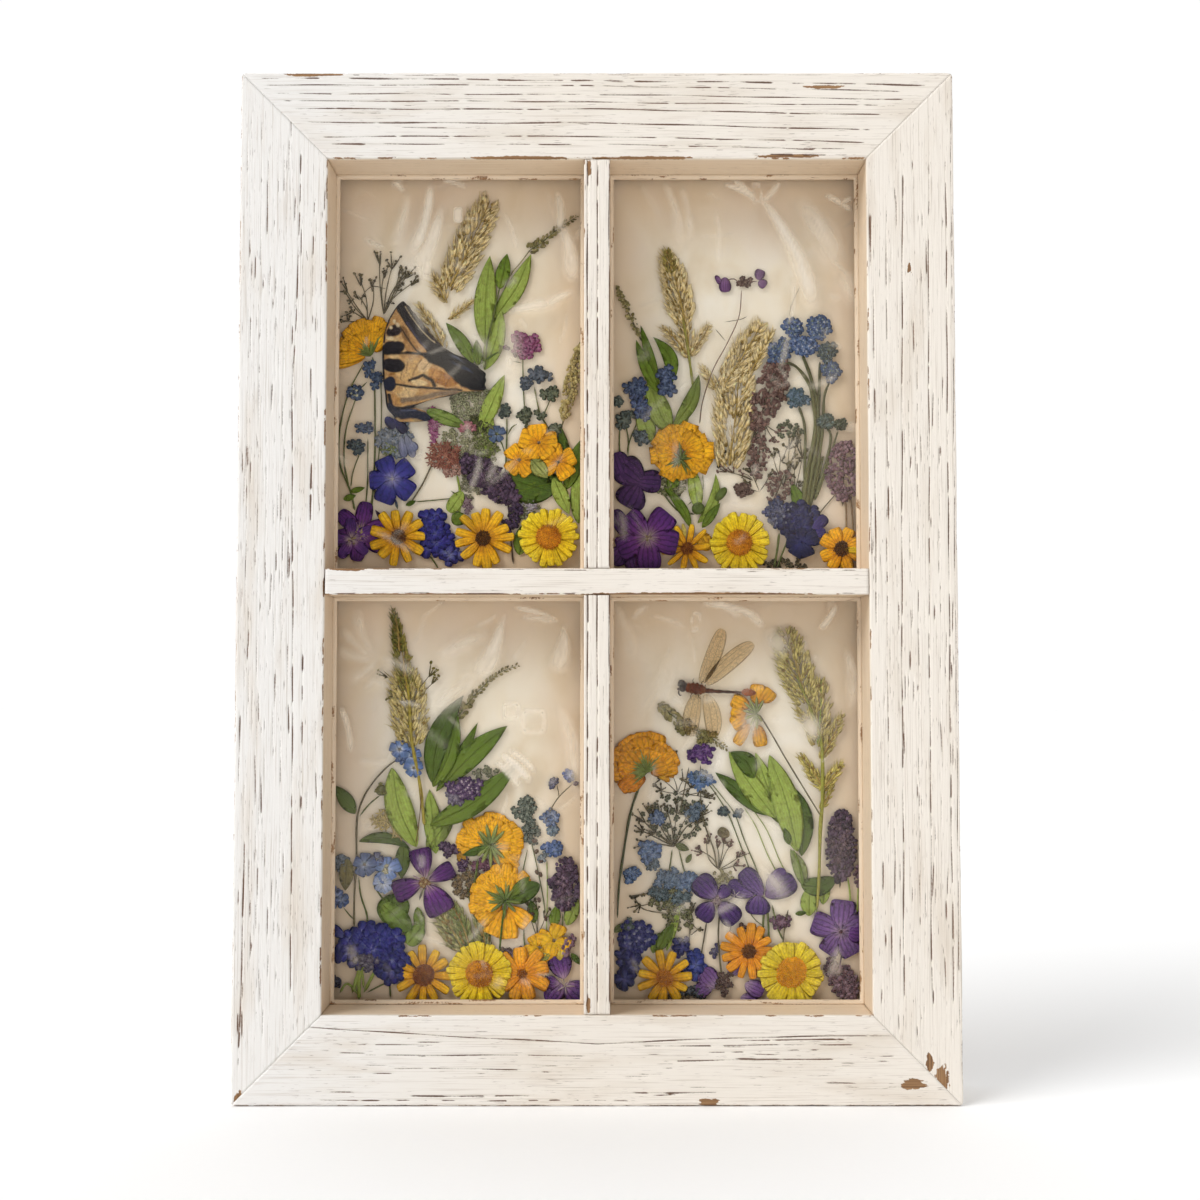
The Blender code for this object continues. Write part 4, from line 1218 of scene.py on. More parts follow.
def ragged_bloom(cut, x, z, reach, depth, colours=ORANGE, petals=15, stretch=1.0, green=True, turn=0.0,
                 hub=(0, 0)):
    """A marigold pressed from behind: broad crumpled petals all round, with the cup and its stalk over the
    middle."""
    at = np.array([x, z], float)
    for layer, share in enumerate((1.0, 0.8)):
        angles = turn + np.arange(petals) * 360 / petals + 12 * layer + cut.rng.normal(0, 5, petals)
        ways = heading(angles) * [1, stretch]
        long = reach * share * cut.rng.normal(1, 0.08, petals).clip(0.78, 1.12)
        cut.blades(
            at + ways * reach * 0.1, at + ways * long[:, None], 2 * np.pi * reach / petals * 1.25, colours,
            depth - 0.2 * layer + cut.rng.uniform(-0.1, 0.1, petals), foot=0.6, end=0.25, notch=0.12,
            ruffle=0.2
        )
    if green:
        middle = at + np.array(hub, float)
        angles = cut.rng.uniform(0, 360, 16)
        cut.blades(
            middle, middle + heading(angles) * cut.rng.uniform(3, 0.55 * reach, 16)[:, None], 1.3,
            ("#4d5c28", "#67783a", "#9a9a4c"), depth - 0.62, foot=0.4, end=0.8, rows=6, across=3
        )


def spray_of(cut, x, z, wide, tall, count, reach, petals, colours, depth, eye=None, turn=0.0, **shape):
    """Open flowers crowded in an oval: places from a spiral, so they are even, then shaken."""
    share = np.sqrt((np.arange(count) + 0.5) / count)
    places = heading(np.arange(count) * 137.508) * share[:, None] * [wide / 2 - reach * 0.6,
        tall / 2 - reach * 0.6]
    places = places + cut.rng.normal(0, 0.6, (count, 2))
    c, s = np.cos(np.radians(turn)), np.sin(np.radians(turn))
    places = places @ np.array([[c, s], [-s, c]]) + [x, z]
    sizes = reach * cut.rng.uniform(0.75, 1.15, count)
    cut.florets(places, sizes, petals, colours, depth - 0.5 * (1 - share) + 0.2, eye=eye, **shape)


def husk_plume(cut, base, tip, wide, depth, colours=STRAW, count=230, shape=0.55, long=5.2,
               axis=("#b59a58", "#a58a4a"), open=32):
    """A grass head: husks leave a curved axis on both sides, pointing forward and out, longest in the
    middle. They lie in three depths, so the near ones shade the far ones."""
    base, tip = np.array(base, float), np.array(tip, float)
    run = tip - base
    length = np.hypot(*run)
    facing = np.degrees(np.arctan2(run[1], run[0]))
    share = (np.arange(count) + 0.5) / count
    side = np.where(np.arange(count) % 2, 1, -1)
    envelope = (wide / 2) * (share + 0.04) ** 0.28 * (1.02 - share) ** shape
    aside = side * envelope * cut.rng.random(count) ** 0.7 * 0.82
    right = np.array([run[1], -run[0]]) / length
    at = base + run * (share * 0.93)[:, None] + right * aside[:, None]
    tilt = facing - side * (open * (0.35 + 0.65 * np.abs(aside) / (envelope + 0.1)) + cut.rng.normal(0, 9,
        count))
    size = long * (0.62 + 0.5 * envelope / (wide / 2)) * cut.rng.uniform(0.7, 1.15, count)
    start = at - heading(tilt) * (size * 0.45)[:, None]
    deep = depth + 0.25 - 0.55 * cut.rng.random(count)
    cut.blades(start, at + heading(tilt) * (size * 0.55)[:, None], size * 0.3, colours, deep, foot=0.7,
               end=0.9, rows=6, across=3, crown=0.2, vary=0.16)
    # A bristle leaves one husk in two.
    some = np.arange(0, count, 2)
    cut.blades(at[some], at[some] + heading(tilt[some]) * (size[some] * 1.05)[:, None], 0.28, colours[1:],
               deep[some] - 0.1, rows=4, across=3, crown=0.05, foot=0.3, end=0.6)
    # Painted shade: darker strips among the husks near the axis, standing for the shade between them.
    shade_strips = cut.rng.integers(0, count, count // 5)
    cut.blades(start[shade_strips], at[shade_strips], 0.7, ("#8a7038", "#a38a4c"), depth - 0.35, rows=4, across=3,
               crown=0.05)
    cut.stem([base - run * 0.02, base + run * 0.5 + right * 0.6, tip - run * 0.06], (0.55, 0.3, 0.15), axis,
             depth - 0.2)


def raceme(cut, path, size, count, colours, depth=BEHIND - 0.3, stalk=STALK, spread=1.6):
    """A thin spike: seeds on short stalks at both sides of a line, smaller towards its end."""
    line = smooth_line(path, 0.5)
    place = (np.linspace(0.02, 0.99, count) * (len(line) - 1)).astype(int)
    ahead = np.gradient(line, axis=0)[place]
    ahead /= np.hypot(ahead[:, 0], ahead[:, 1])[:, None]
    right = ahead[:, ::-1] * [1, -1]
    side = np.where(np.arange(count) % 2, 1, -1)
    taper = np.linspace(1, 0.45, count)
    off = side * spread * taper * cut.rng.uniform(0.3, 1.2, count)
    at = line[place] + right * off[:, None] + ahead * cut.rng.normal(0.6, 0.4, count)[:, None]
    cut.stem(path, (0.32, 0.22, 0.12), stalk, depth + 0.1)
    cut.beads(at, size * taper * cut.rng.uniform(0.7, 1.2, count), colours, depth - 0.2, stretch=1.6,
              turn=np.degrees(np.arctan2(ahead[:, 1], ahead[:, 0])) - side * 35)


def spike(cut, base, tip, wide, count, colours, depth=BEHIND - 0.5, size=0.85, stalk=BROWN_STALK):
    """A lavender or statice spike: seeds crowd an oval round the stalk, in front of and beside each other."""
    base, tip = np.array(base, float), np.array(tip, float)
    run = tip - base
    right = np.array([run[1], -run[0]]) / np.hypot(*run)
    share = cut.rng.random(count)
    envelope = wide / 2 * np.sqrt(np.clip(4 * share * (1 - share), 0.12, 1))
    at = base + run * share[:, None] + right * (envelope * cut.rng.uniform(-1, 1, count))[:, None]
    cut.beads(at, size * cut.rng.uniform(0.6, 1.25, count), colours, depth - 0.6 * cut.rng.random(count),
              stretch=1.25)
    cut.stem([base - run * 0.1, tip], (0.4, 0.25), stalk, depth + 0.2)


def umbel(cut, hub, heads, colours, stalk=BROWN_STALK, radius=0.2, depth=BEHIND - 0.2, seeds=5, size=0.55,
          spread=1.8):
    """Rays from one point, each with a few side twigs that carry seeds."""
    hub = np.array(hub, float)
    for head in np.atleast_2d(np.asarray(heads, float)):
        bow = (hub + head) / 2 + cut.rng.normal(0, 0.06 * np.hypot(*(head - hub)), 2)
        cut.stem([hub, bow, head], (radius, radius * 0.7), stalk, depth + 0.15, sides=4)
        ends = head + cut.rng.normal(0, spread, (seeds, 2))
        for end in ends:
            cut.stem([head + (hub - head) * 0.16, end], (radius * 0.6, radius * 0.5), stalk, depth + 0.05,
                     sides=3)
        cut.beads(ends, size * cut.rng.uniform(0.6, 1.3, seeds), colours, depth - 0.15, stretch=1.4)
        cut.blades(head + (hub - head) * 0.2, ends, 0.5, (stalk[0], colours[0]), depth, rows=4, across=3,
                   crown=0.05)


def leaf(cut, base, tip, wide, depth, colours=GREEN, bend=0.0, foot=0.75, end=0.95, rib=True, **shape):
    """A lance-shaped leaf, folded a little along its midrib, which is a raised paler line."""
    base, tip = np.array(base, float), np.array(tip, float)
    shape = {"rows": 17, "across": 9, "crown": 0.1, "fold": 0.14, "ruffle": 0.16, **shape}
    cut.blades([base], [tip], wide, colours, depth, foot=foot, end=end, bend=bend, rim=colours[-1], **shape)
    if rib:
        run = tip - base
        right = np.array([run[1], -run[0]])
        middle = base + run * 0.5 + right * bend
        cut.stem([base, middle, tip - run * 0.04], (0.3, 0.2, 0.08), (colours[0], colours[-1]), depth - 0.12,
                 sides=4)


# Insects


def swallowtail():
    """One swallowtail wing pair, closed, seen from the side: rows from the wing tip down to the hind lobes,
    each running from the outline's left to its right. Markings are strokes and ovals laid on in order, soft
    at 0.3 mm."""
    cut = Cutting("upper_left", "butterfly")
    left = np.array([
        (-22, -21.4), (-27, -21), (-30, -18), (-32.4, -14.8), (-33.2, -9.1), (-34, -2.9), (-34.5, 4.2),
        (-34.5, 10.9),
        (-33.8, 17.6), (-32, 23.8), (-29.4, 28.5), (-27.6, 31), (-25.8, 32.4),
    ])
    right = np.array([
        (-20, -21.4), (-13.4, -20.4), (-15, -17), (-20, -14.6), (-17.2, -12.9), (-11, -11), (-4, -9.6),
        (1, -7.8),
        (10, -7.5), (11, -3.5), (10.8, 0.4), (6.5, 4.2), (1.8, 7.1), (-5.4, 10.4), (-12, 16.6),
        (-17.2, 23.3),
        (-21.5, 28.5), (-24.2, 31.4), (-25.2, 32.4),
    ])
    rows, columns = 170, 130
    left, right = smooth_line(left, 0.3), smooth_line(right, 0.3)
    z = np.linspace(-21.2, 32.3, rows)
    edges = [np.interp(z, np.maximum.accumulate(line[:, 1]), line[:, 0]) for line in (left, right)]
    share = 0.5 - 0.5 * np.cos(np.pi * np.linspace(0, 1, columns))
    x = edges[0][:, None] + (edges[1] - edges[0])[:, None] * share
    z = z[:, None] + 0 * x
    rng = cut.rng
    x = x + 0.25 * np.sin(z * 1.9 + 1) * (share > 0.98)
    wobble_x = x + 0.5 * (cloud(rng, x, z, 2.2, 2.2) - 0.5)
    wobble_z = z + 0.5 * (cloud(rng, x, z, 2.2, 2.2) - 0.5)
    tint = shades(("#8a6a45", "#c09560", "#d8b583"), 0.25 + 0.6 * cloud(rng, x, z, 5, 4))
    ridge = 0 * x

    def lay_on(distance, colour, soft=0.3):
        amount = ease(soft, -soft, distance)[..., None]
        tint[:] = tint * (1 - amount) + np.array(linear(colour)[:3]) * amount
        return amount[..., 0]

    def oval(cx, cz, wide, tall, colour, turn=0, soft=0.3):
        c, s = np.cos(np.radians(turn)), np.sin(np.radians(turn))
        a = ((wobble_x - cx) * c + (wobble_z - cz) * s) / wide
        b = ((wobble_z - cz) * c - (wobble_x - cx) * s) / tall
        return lay_on((np.hypot(a, b) - 1) * min(wide, tall), colour, soft)

    def stroke(line, half, colour, soft=0.3):
        line = np.array(line, float)
        nearest = np.full_like(x, 99)
        for (ax, az), (bx, bz) in zip(line[:-1], line[1:]):
            run = np.hypot(bx - ax, bz - az)
            along = np.clip(((wobble_x - ax) * (bx - ax) + (wobble_z - az) * (bz - az)) / run**2, 0, 1)
            nearest = np.minimum(nearest, np.hypot(wobble_x - ax - along * (bx - ax),
                                                   wobble_z - az - along * (bz - az)))
        return lay_on(nearest - half, colour, soft)

    black, navy, cream, brown = "#1d1a22", "#1c2238", "#dcbd8c", "#9a6c3a"
    # Cream and tan cells, from the root outwards.
    oval(-20.5, 1.6, 8.5, 5.2, "#d2ab74", 12)
    oval(-15.5, 4.2, 4.2, 2.6, "#dfc093", 50)
    oval(-25.5, 1.0, 3.2, 4.0, "#d7b27c")
    oval(-7.6, -2.2, 6.6, 3.0, "#a9743c", -18)
    oval(-11.5, 0.2, 3.0, 2.0, "#c48f52", -30)
    oval(-22.0, 12.6, 2.8, 4.4, "#b08452", 35)
    oval(-24.6, 18.0, 1.6, 4.0, "#8d6840", 22)
    oval(-23.6, -8.0, 5.0, 2.9, cream, 14)
    oval(-27.5, -6.6, 2.2, 2.2, "#cfa872")
    oval(-29.6, -11.6, 2.2, 2.8, "#c4945a", 20)
    oval(-27.2, -12.6, 2.0, 1.8, "#b98a50", 30)
    # Fine veins over the cells.
    for line in (
        ((-17.2, 6.4), (-20.6, 1.2), (-21.4, -2.4)), ((-14.2, 5.0), (-16.6, 1.8)),
        ((-11.2, 2.0), (-13.2, -2.2)),
        ((-8.2, 0.6), (-10.4, -4.4)), ((-25.2, 4.6), (-26.4, -2.4)), ((-23.6, 5.4), (-23.8, 0.4)),
        ((-28.2, -8.1), (-25.3, -12.2)), ((-24.4, -5.8), (-21.6, -11.4)), ((-4.6, -1.6), (-6.8, -5.4)),
    ):
        stroke(line, 0.12, "#6b4a2a", 0.25)
    stroke(((-31.5, -3.2), (-28.7, -4.6), (-21.5, -5.6), (-14.9, -6.2), (-6, -6.8), (0.6, -7.2)), 0.5, black)
    stroke(((-22.2, -3.0), (-19.6, -1.6), (-16.3, -0.6), (-12.5, -2.9), (-11.4, -5.2)), 0.75, "#2a1e1a")
    oval(-18.2, -3.9, 3.6, 1.3, "#e2c898", -6)
    # Grey-brown scales over the hind margin, then its black edge.
    stroke(((-25.3, -11.8), (-18, -10.8), (-10, -9.0), (-2, -8.0)), 1.1, "#84705c", 0.6)
    stroke(((-31.5, -9.5), (-30.4, -15.6), (-25, -15.4), (-17, -13.6), (-8, -11.0), (1.5, -8.8)), 0.9, black)
    stroke(((-31.6, -15), (-28, -18.2), (-22, -17.6), (-16.4, -18.6), (-13.6, -21)), 2.2, navy, 0.5)
    oval(-28.2, -20.6, 1.6, 0.9, "#a58b62", 20)
    oval(-19.4, -20.6, 1.6, 0.8, "#a58b62", -10)
    stroke(((-26, -16.4), (-20, -16.2)), 0.35, "#48506e", 0.4)
    # The outer margin and its blotches.
    stroke(((-34.4, 12), (-34.4, 4), (-34, -4), (-32.6, -14)), 0.75, black)
    oval(-29.4, 19.2, 3.6, 2.6, "#2a2126", 24, 0.5)
    oval(-29.6, 11.6, 5.0, 3.3, black, 10)
    oval(-29.6, 4.0, 5.2, 3.3, black, -6)
    oval(-31.2, -4.4, 2.9, 3.3, navy)
    oval(-29.4, 7.8, 2.9, 0.85, "#d9b98a", -8)
    oval(-28.0, 8.3, 1.0, 0.9, "#d9b98a")
    oval(-30.2, 0.0, 1.7, 0.7, brown, 10)
    oval(-31.4, 15.9, 1.9, 0.8, "#e0cda6", -12)
    oval(-28.4, 15.4, 1.2, 0.7, "#cdb084", 20)
    stroke(((-33.8, 14), (-33.6, 19), (-31.4, 25), (-28, 30.4), (-25.6, 32)), 0.5, "#2a2228")
    for cx, cz, r in ((-26.2, 29.8, 0.55), (-24.3, 28.0, 0.6), (-22.7, 24.9, 0.5), (-29.3, 23.2, 0.75),
                      (-27.7, 21.7, 0.8), (-25.0, 26.2, 0.4), (-30.9, 20.6, 0.6)):
        oval(cx, cz, r, r * 1.3, "#d9c7a4", 30)
    # The leading band, from the tip to the body, with a row of cream dashes inside its edge.
    stroke(((-24.8, 31.4), (-20.6, 27), (-16.4, 21.6), (-11.4, 15.2), (-5, 9.4)), 2.3, "#3f2c26", 0.5)
    stroke(((-25.4, 29.5), (-21.8, 23.6), (-17.9, 18), (-13, 12.4), (-8, 7.6)), 3.0, "#1c1820")
    stroke(((-23.6, 22.8), (-19.8, 16.8), (-15.6, 11.6)), 0.4, "#3d3a52", 0.6)
    for step in np.linspace(0, 1, 17):
        oval(-24.2 + 12.6 * step, 29.6 - 15.6 * step - 1.6 * np.sin(np.pi * step), 0.45, 0.22, "#cbb894",
             -52)
    stroke(((-26.4, 20.4), (-23.4, 15.6), (-19.8, 10.8), (-16.8, 8.6)), 0.4, "#3a2a1c")
    stroke(((-23.8, 9.6), (-16.8, 8.8)), 0.5, "#2a1e18")
    # The body is a black wedge, nearly as deep as the wings are long.
    body = lay_on(
        np.maximum.reduce([
            wobble_z - np.interp(wobble_x, (-17, -6, 2, 7, 11), (9.6, 10.6, 7.6, 4.4, 1.0)),
            np.interp(wobble_x, (-17, -13.9, -7.7, -3, 0.4, 4, 11),
                      (8.6, 4.9, 2.5, -2.7, -5.4, -7.2, -8)) - wobble_z,
        ]),
        "#14141b",
        0.5,
    )
    oval(-1.5, 7.0, 3.2, 0.5, "#4a5064", -28)
    oval(3.2, 2.0, 2.6, 0.5, "#2e3550", -34)
    oval(-1.0, 3.6, 3.4, 0.4, "#2b3350", -30)
    for line in (((-28, 27), (-24, 16), (-17, 8)), ((-31, 20), (-25, 8), (-12, 1)),
                 ((-32, 10), (-22, 3), (-8, -2)),
                 ((-32, 1), (-22, -3), (-6, -4)), ((-30, -10), (-20, -8), (-4, -7))):
        line = np.array(line, float)
        nearest = np.min([np.hypot(x - a, z - b) for a, b in smooth_line(line, 1.2)], 0)
        ridge = np.maximum(ridge, np.exp(-((nearest / 0.7) ** 2)))
    rim = ease(0, 0.05, share) * ease(1, 0.95, share)
    y = HIGH - 0.1 - rim * (0.35 * body + 0.16 * ridge + 0.35 * cloud(rng, x, z, 16, 14) + 0.1 * cloud(rng,
        x, z, 2, 3))
    tint *= (0.86 + 0.28 * cloud(rng, x * 3 + z, z * 3 - x, 1.2, 1.6))[..., None]
    front = np.stack([x, y, z], -1)
    # Two points behind each row close it.
    back = np.stack([front[:, -1] + [0, 0.35, 0], front[:, 0] + [0, 0.35, 0]], 1)
    tints = np.concatenate([tint, tint[:, -1:], tint[:, :1]], 1)
    cut.add_rings(np.concatenate([front, back], 1)[None], tints[None], np.zeros((1, rows, columns + 2, 3)))
    cut.finish()


def dragonfly():
    """A dragonfly from above, with two of its wings spread up and two folded down. Its body is rings on a
    line."""
    cut = Cutting("lower_right", "dragonfly")
    deep = MIDDLE + 0.3
    shell = ("#7a3a1c", "#5c2613", "#8a4a22")
    cut.stem([(-21.6, 48.6), (-19.5, 48.2), (-17.2, 47.9), (-14.6, 47.5), (-12.6, 47.1)],
             (1.7, 2.2, 2.5, 2.2, 1.1), shell, deep - 0.4, 16, 0.4)
    for i, at in enumerate(np.linspace(-12.9, -10.6, 4)):
        cut.beads([(at, 47.0 - 0.05 * i)], 1.15 - 0.06 * i, ("#6a3218", "#4a2010"), deep - 0.2, 0.8, 0, 6,
                  12, 0.9)
    cut.stem([(-12.4, 47.0), (-8, 46.7), (-2, 46.4), (3.6, 46.2)], (1.05, 0.78, 0.6, 0.62),
             ("#6b3a20", "#3e2018", "#4a2418"), deep - 0.1, 12, 0.5)
    cut.stem([(2.8, 46.2), (4.8, 46.3), (7.2, 46.1), (9.4, 46.0)], (0.7, 1.7, 1.5, 0.5),
             ("#8a3f1a", "#a4531f", "#7a3517"), deep - 0.3, 12, 0.4)
    cut.beads([(-23.2, 50.2), (-22.8, 48.2)], (1.75, 1.6), ("#2c1c20", "#3c2628"), deep - 0.5, 1.0, 0, 9, 14,
              0.8)
    cut.beads([(-24.3, 49.6), (-24.6, 47.8), (-21.4, 49.4)], (0.8, 0.7, 1.0), ("#4a3a3c", "#221618"),
              deep - 0.8, 1.0, 0, 7, 10, 0.8)
    # The face and forelegs.
    cut.stem([(-24.2, 47.4), (-24.6, 46.0), (-23.8, 44.9), (-23.2, 45.3)], (0.42, 0.3, 0.16),
             ("#2c1c20", "#3c2a2c"), deep - 0.3, 6, 0.4)
    for path in (
        [(-18, 46.2), (-19.4, 44.6), (-18.8, 43.2)], [(-16, 45.8), (-15.6, 44.0), (-14.4, 43.2)],
        [(-17.4, 49.8), (-18.4, 51.4), (-17.6, 52.6)], [(-15, 49.6), (-14, 51), (-13.2, 51.2)],
    ):
        cut.stem(path, (0.22, 0.16, 0.1), ("#3a241c", "#4a3226"), deep, 5, 0.5)
    # Bands across the chest.
    for x in np.linspace(-20.2, -13.8, 7):
        cut.blades([(x, 45.9 + 0.1 * x / 7)], [(x + 0.9, 50.0 + 0.1 * x / 7)], 0.55, ("#8f5a34", "#3a1a10"),
                   deep - 2.0, rows=6, across=3, crown=0.1, foot=0.4, end=0.4)
    cut.finish()

    wings = Cutting("lower_right", "dragonfly_wings")
    amber = ("#8a6f45", "#8a6f45")
    settings = dict(rows=22, across=9, crown=0.12, ruffle=0.1, thick=0.06, foot=0.42, end=0.34, vary=0)
    wings.blades([(-14.8, 50.2)], [(-5.2, 74.0)], 7.0, amber, deep - 0.8, bend=0.02, **settings)
    wings.blades([(-12.6, 49.8)], [(8.0, 67.8)], 7.4, amber, deep - 1.0, bend=-0.02, **settings)
    wings.blades([(-16.4, 45.6)], [(-19.4, 27.0)], 7.6, amber, deep - 0.8, bend=0.05, **settings)
    wings.blades([(-12.6, 45.4)], [(-9.4, 26.6)], 7.6, amber, deep - 1.0, bend=-0.06, **settings)
    wings.finish(WING_MEMBRANE)


# What lies in each pane. A place is (right, up) from the pane's middle. Each step is a maker and the values
# it takes.

PINK = ("#c9a3bd", "#a8628f", "#8e4a78")
MAUVE = ("#7a5a68", "#5b3f50", "#94788a", "#4a3342")
PLUM = ("#3a2a40", "#4e3a54", "#6b5570", "#2a1e2e")
BROWN_MAUVE = ("#7d5f58", "#6a4e4a", "#937a72", "#5a423e")
SEED = ("#55503c", "#6e6648", "#3f3a2c", "#80785a")
OLIVE_SEED = ("#7c7648", "#9a9262", "#b5aa7c", "#645f3a")

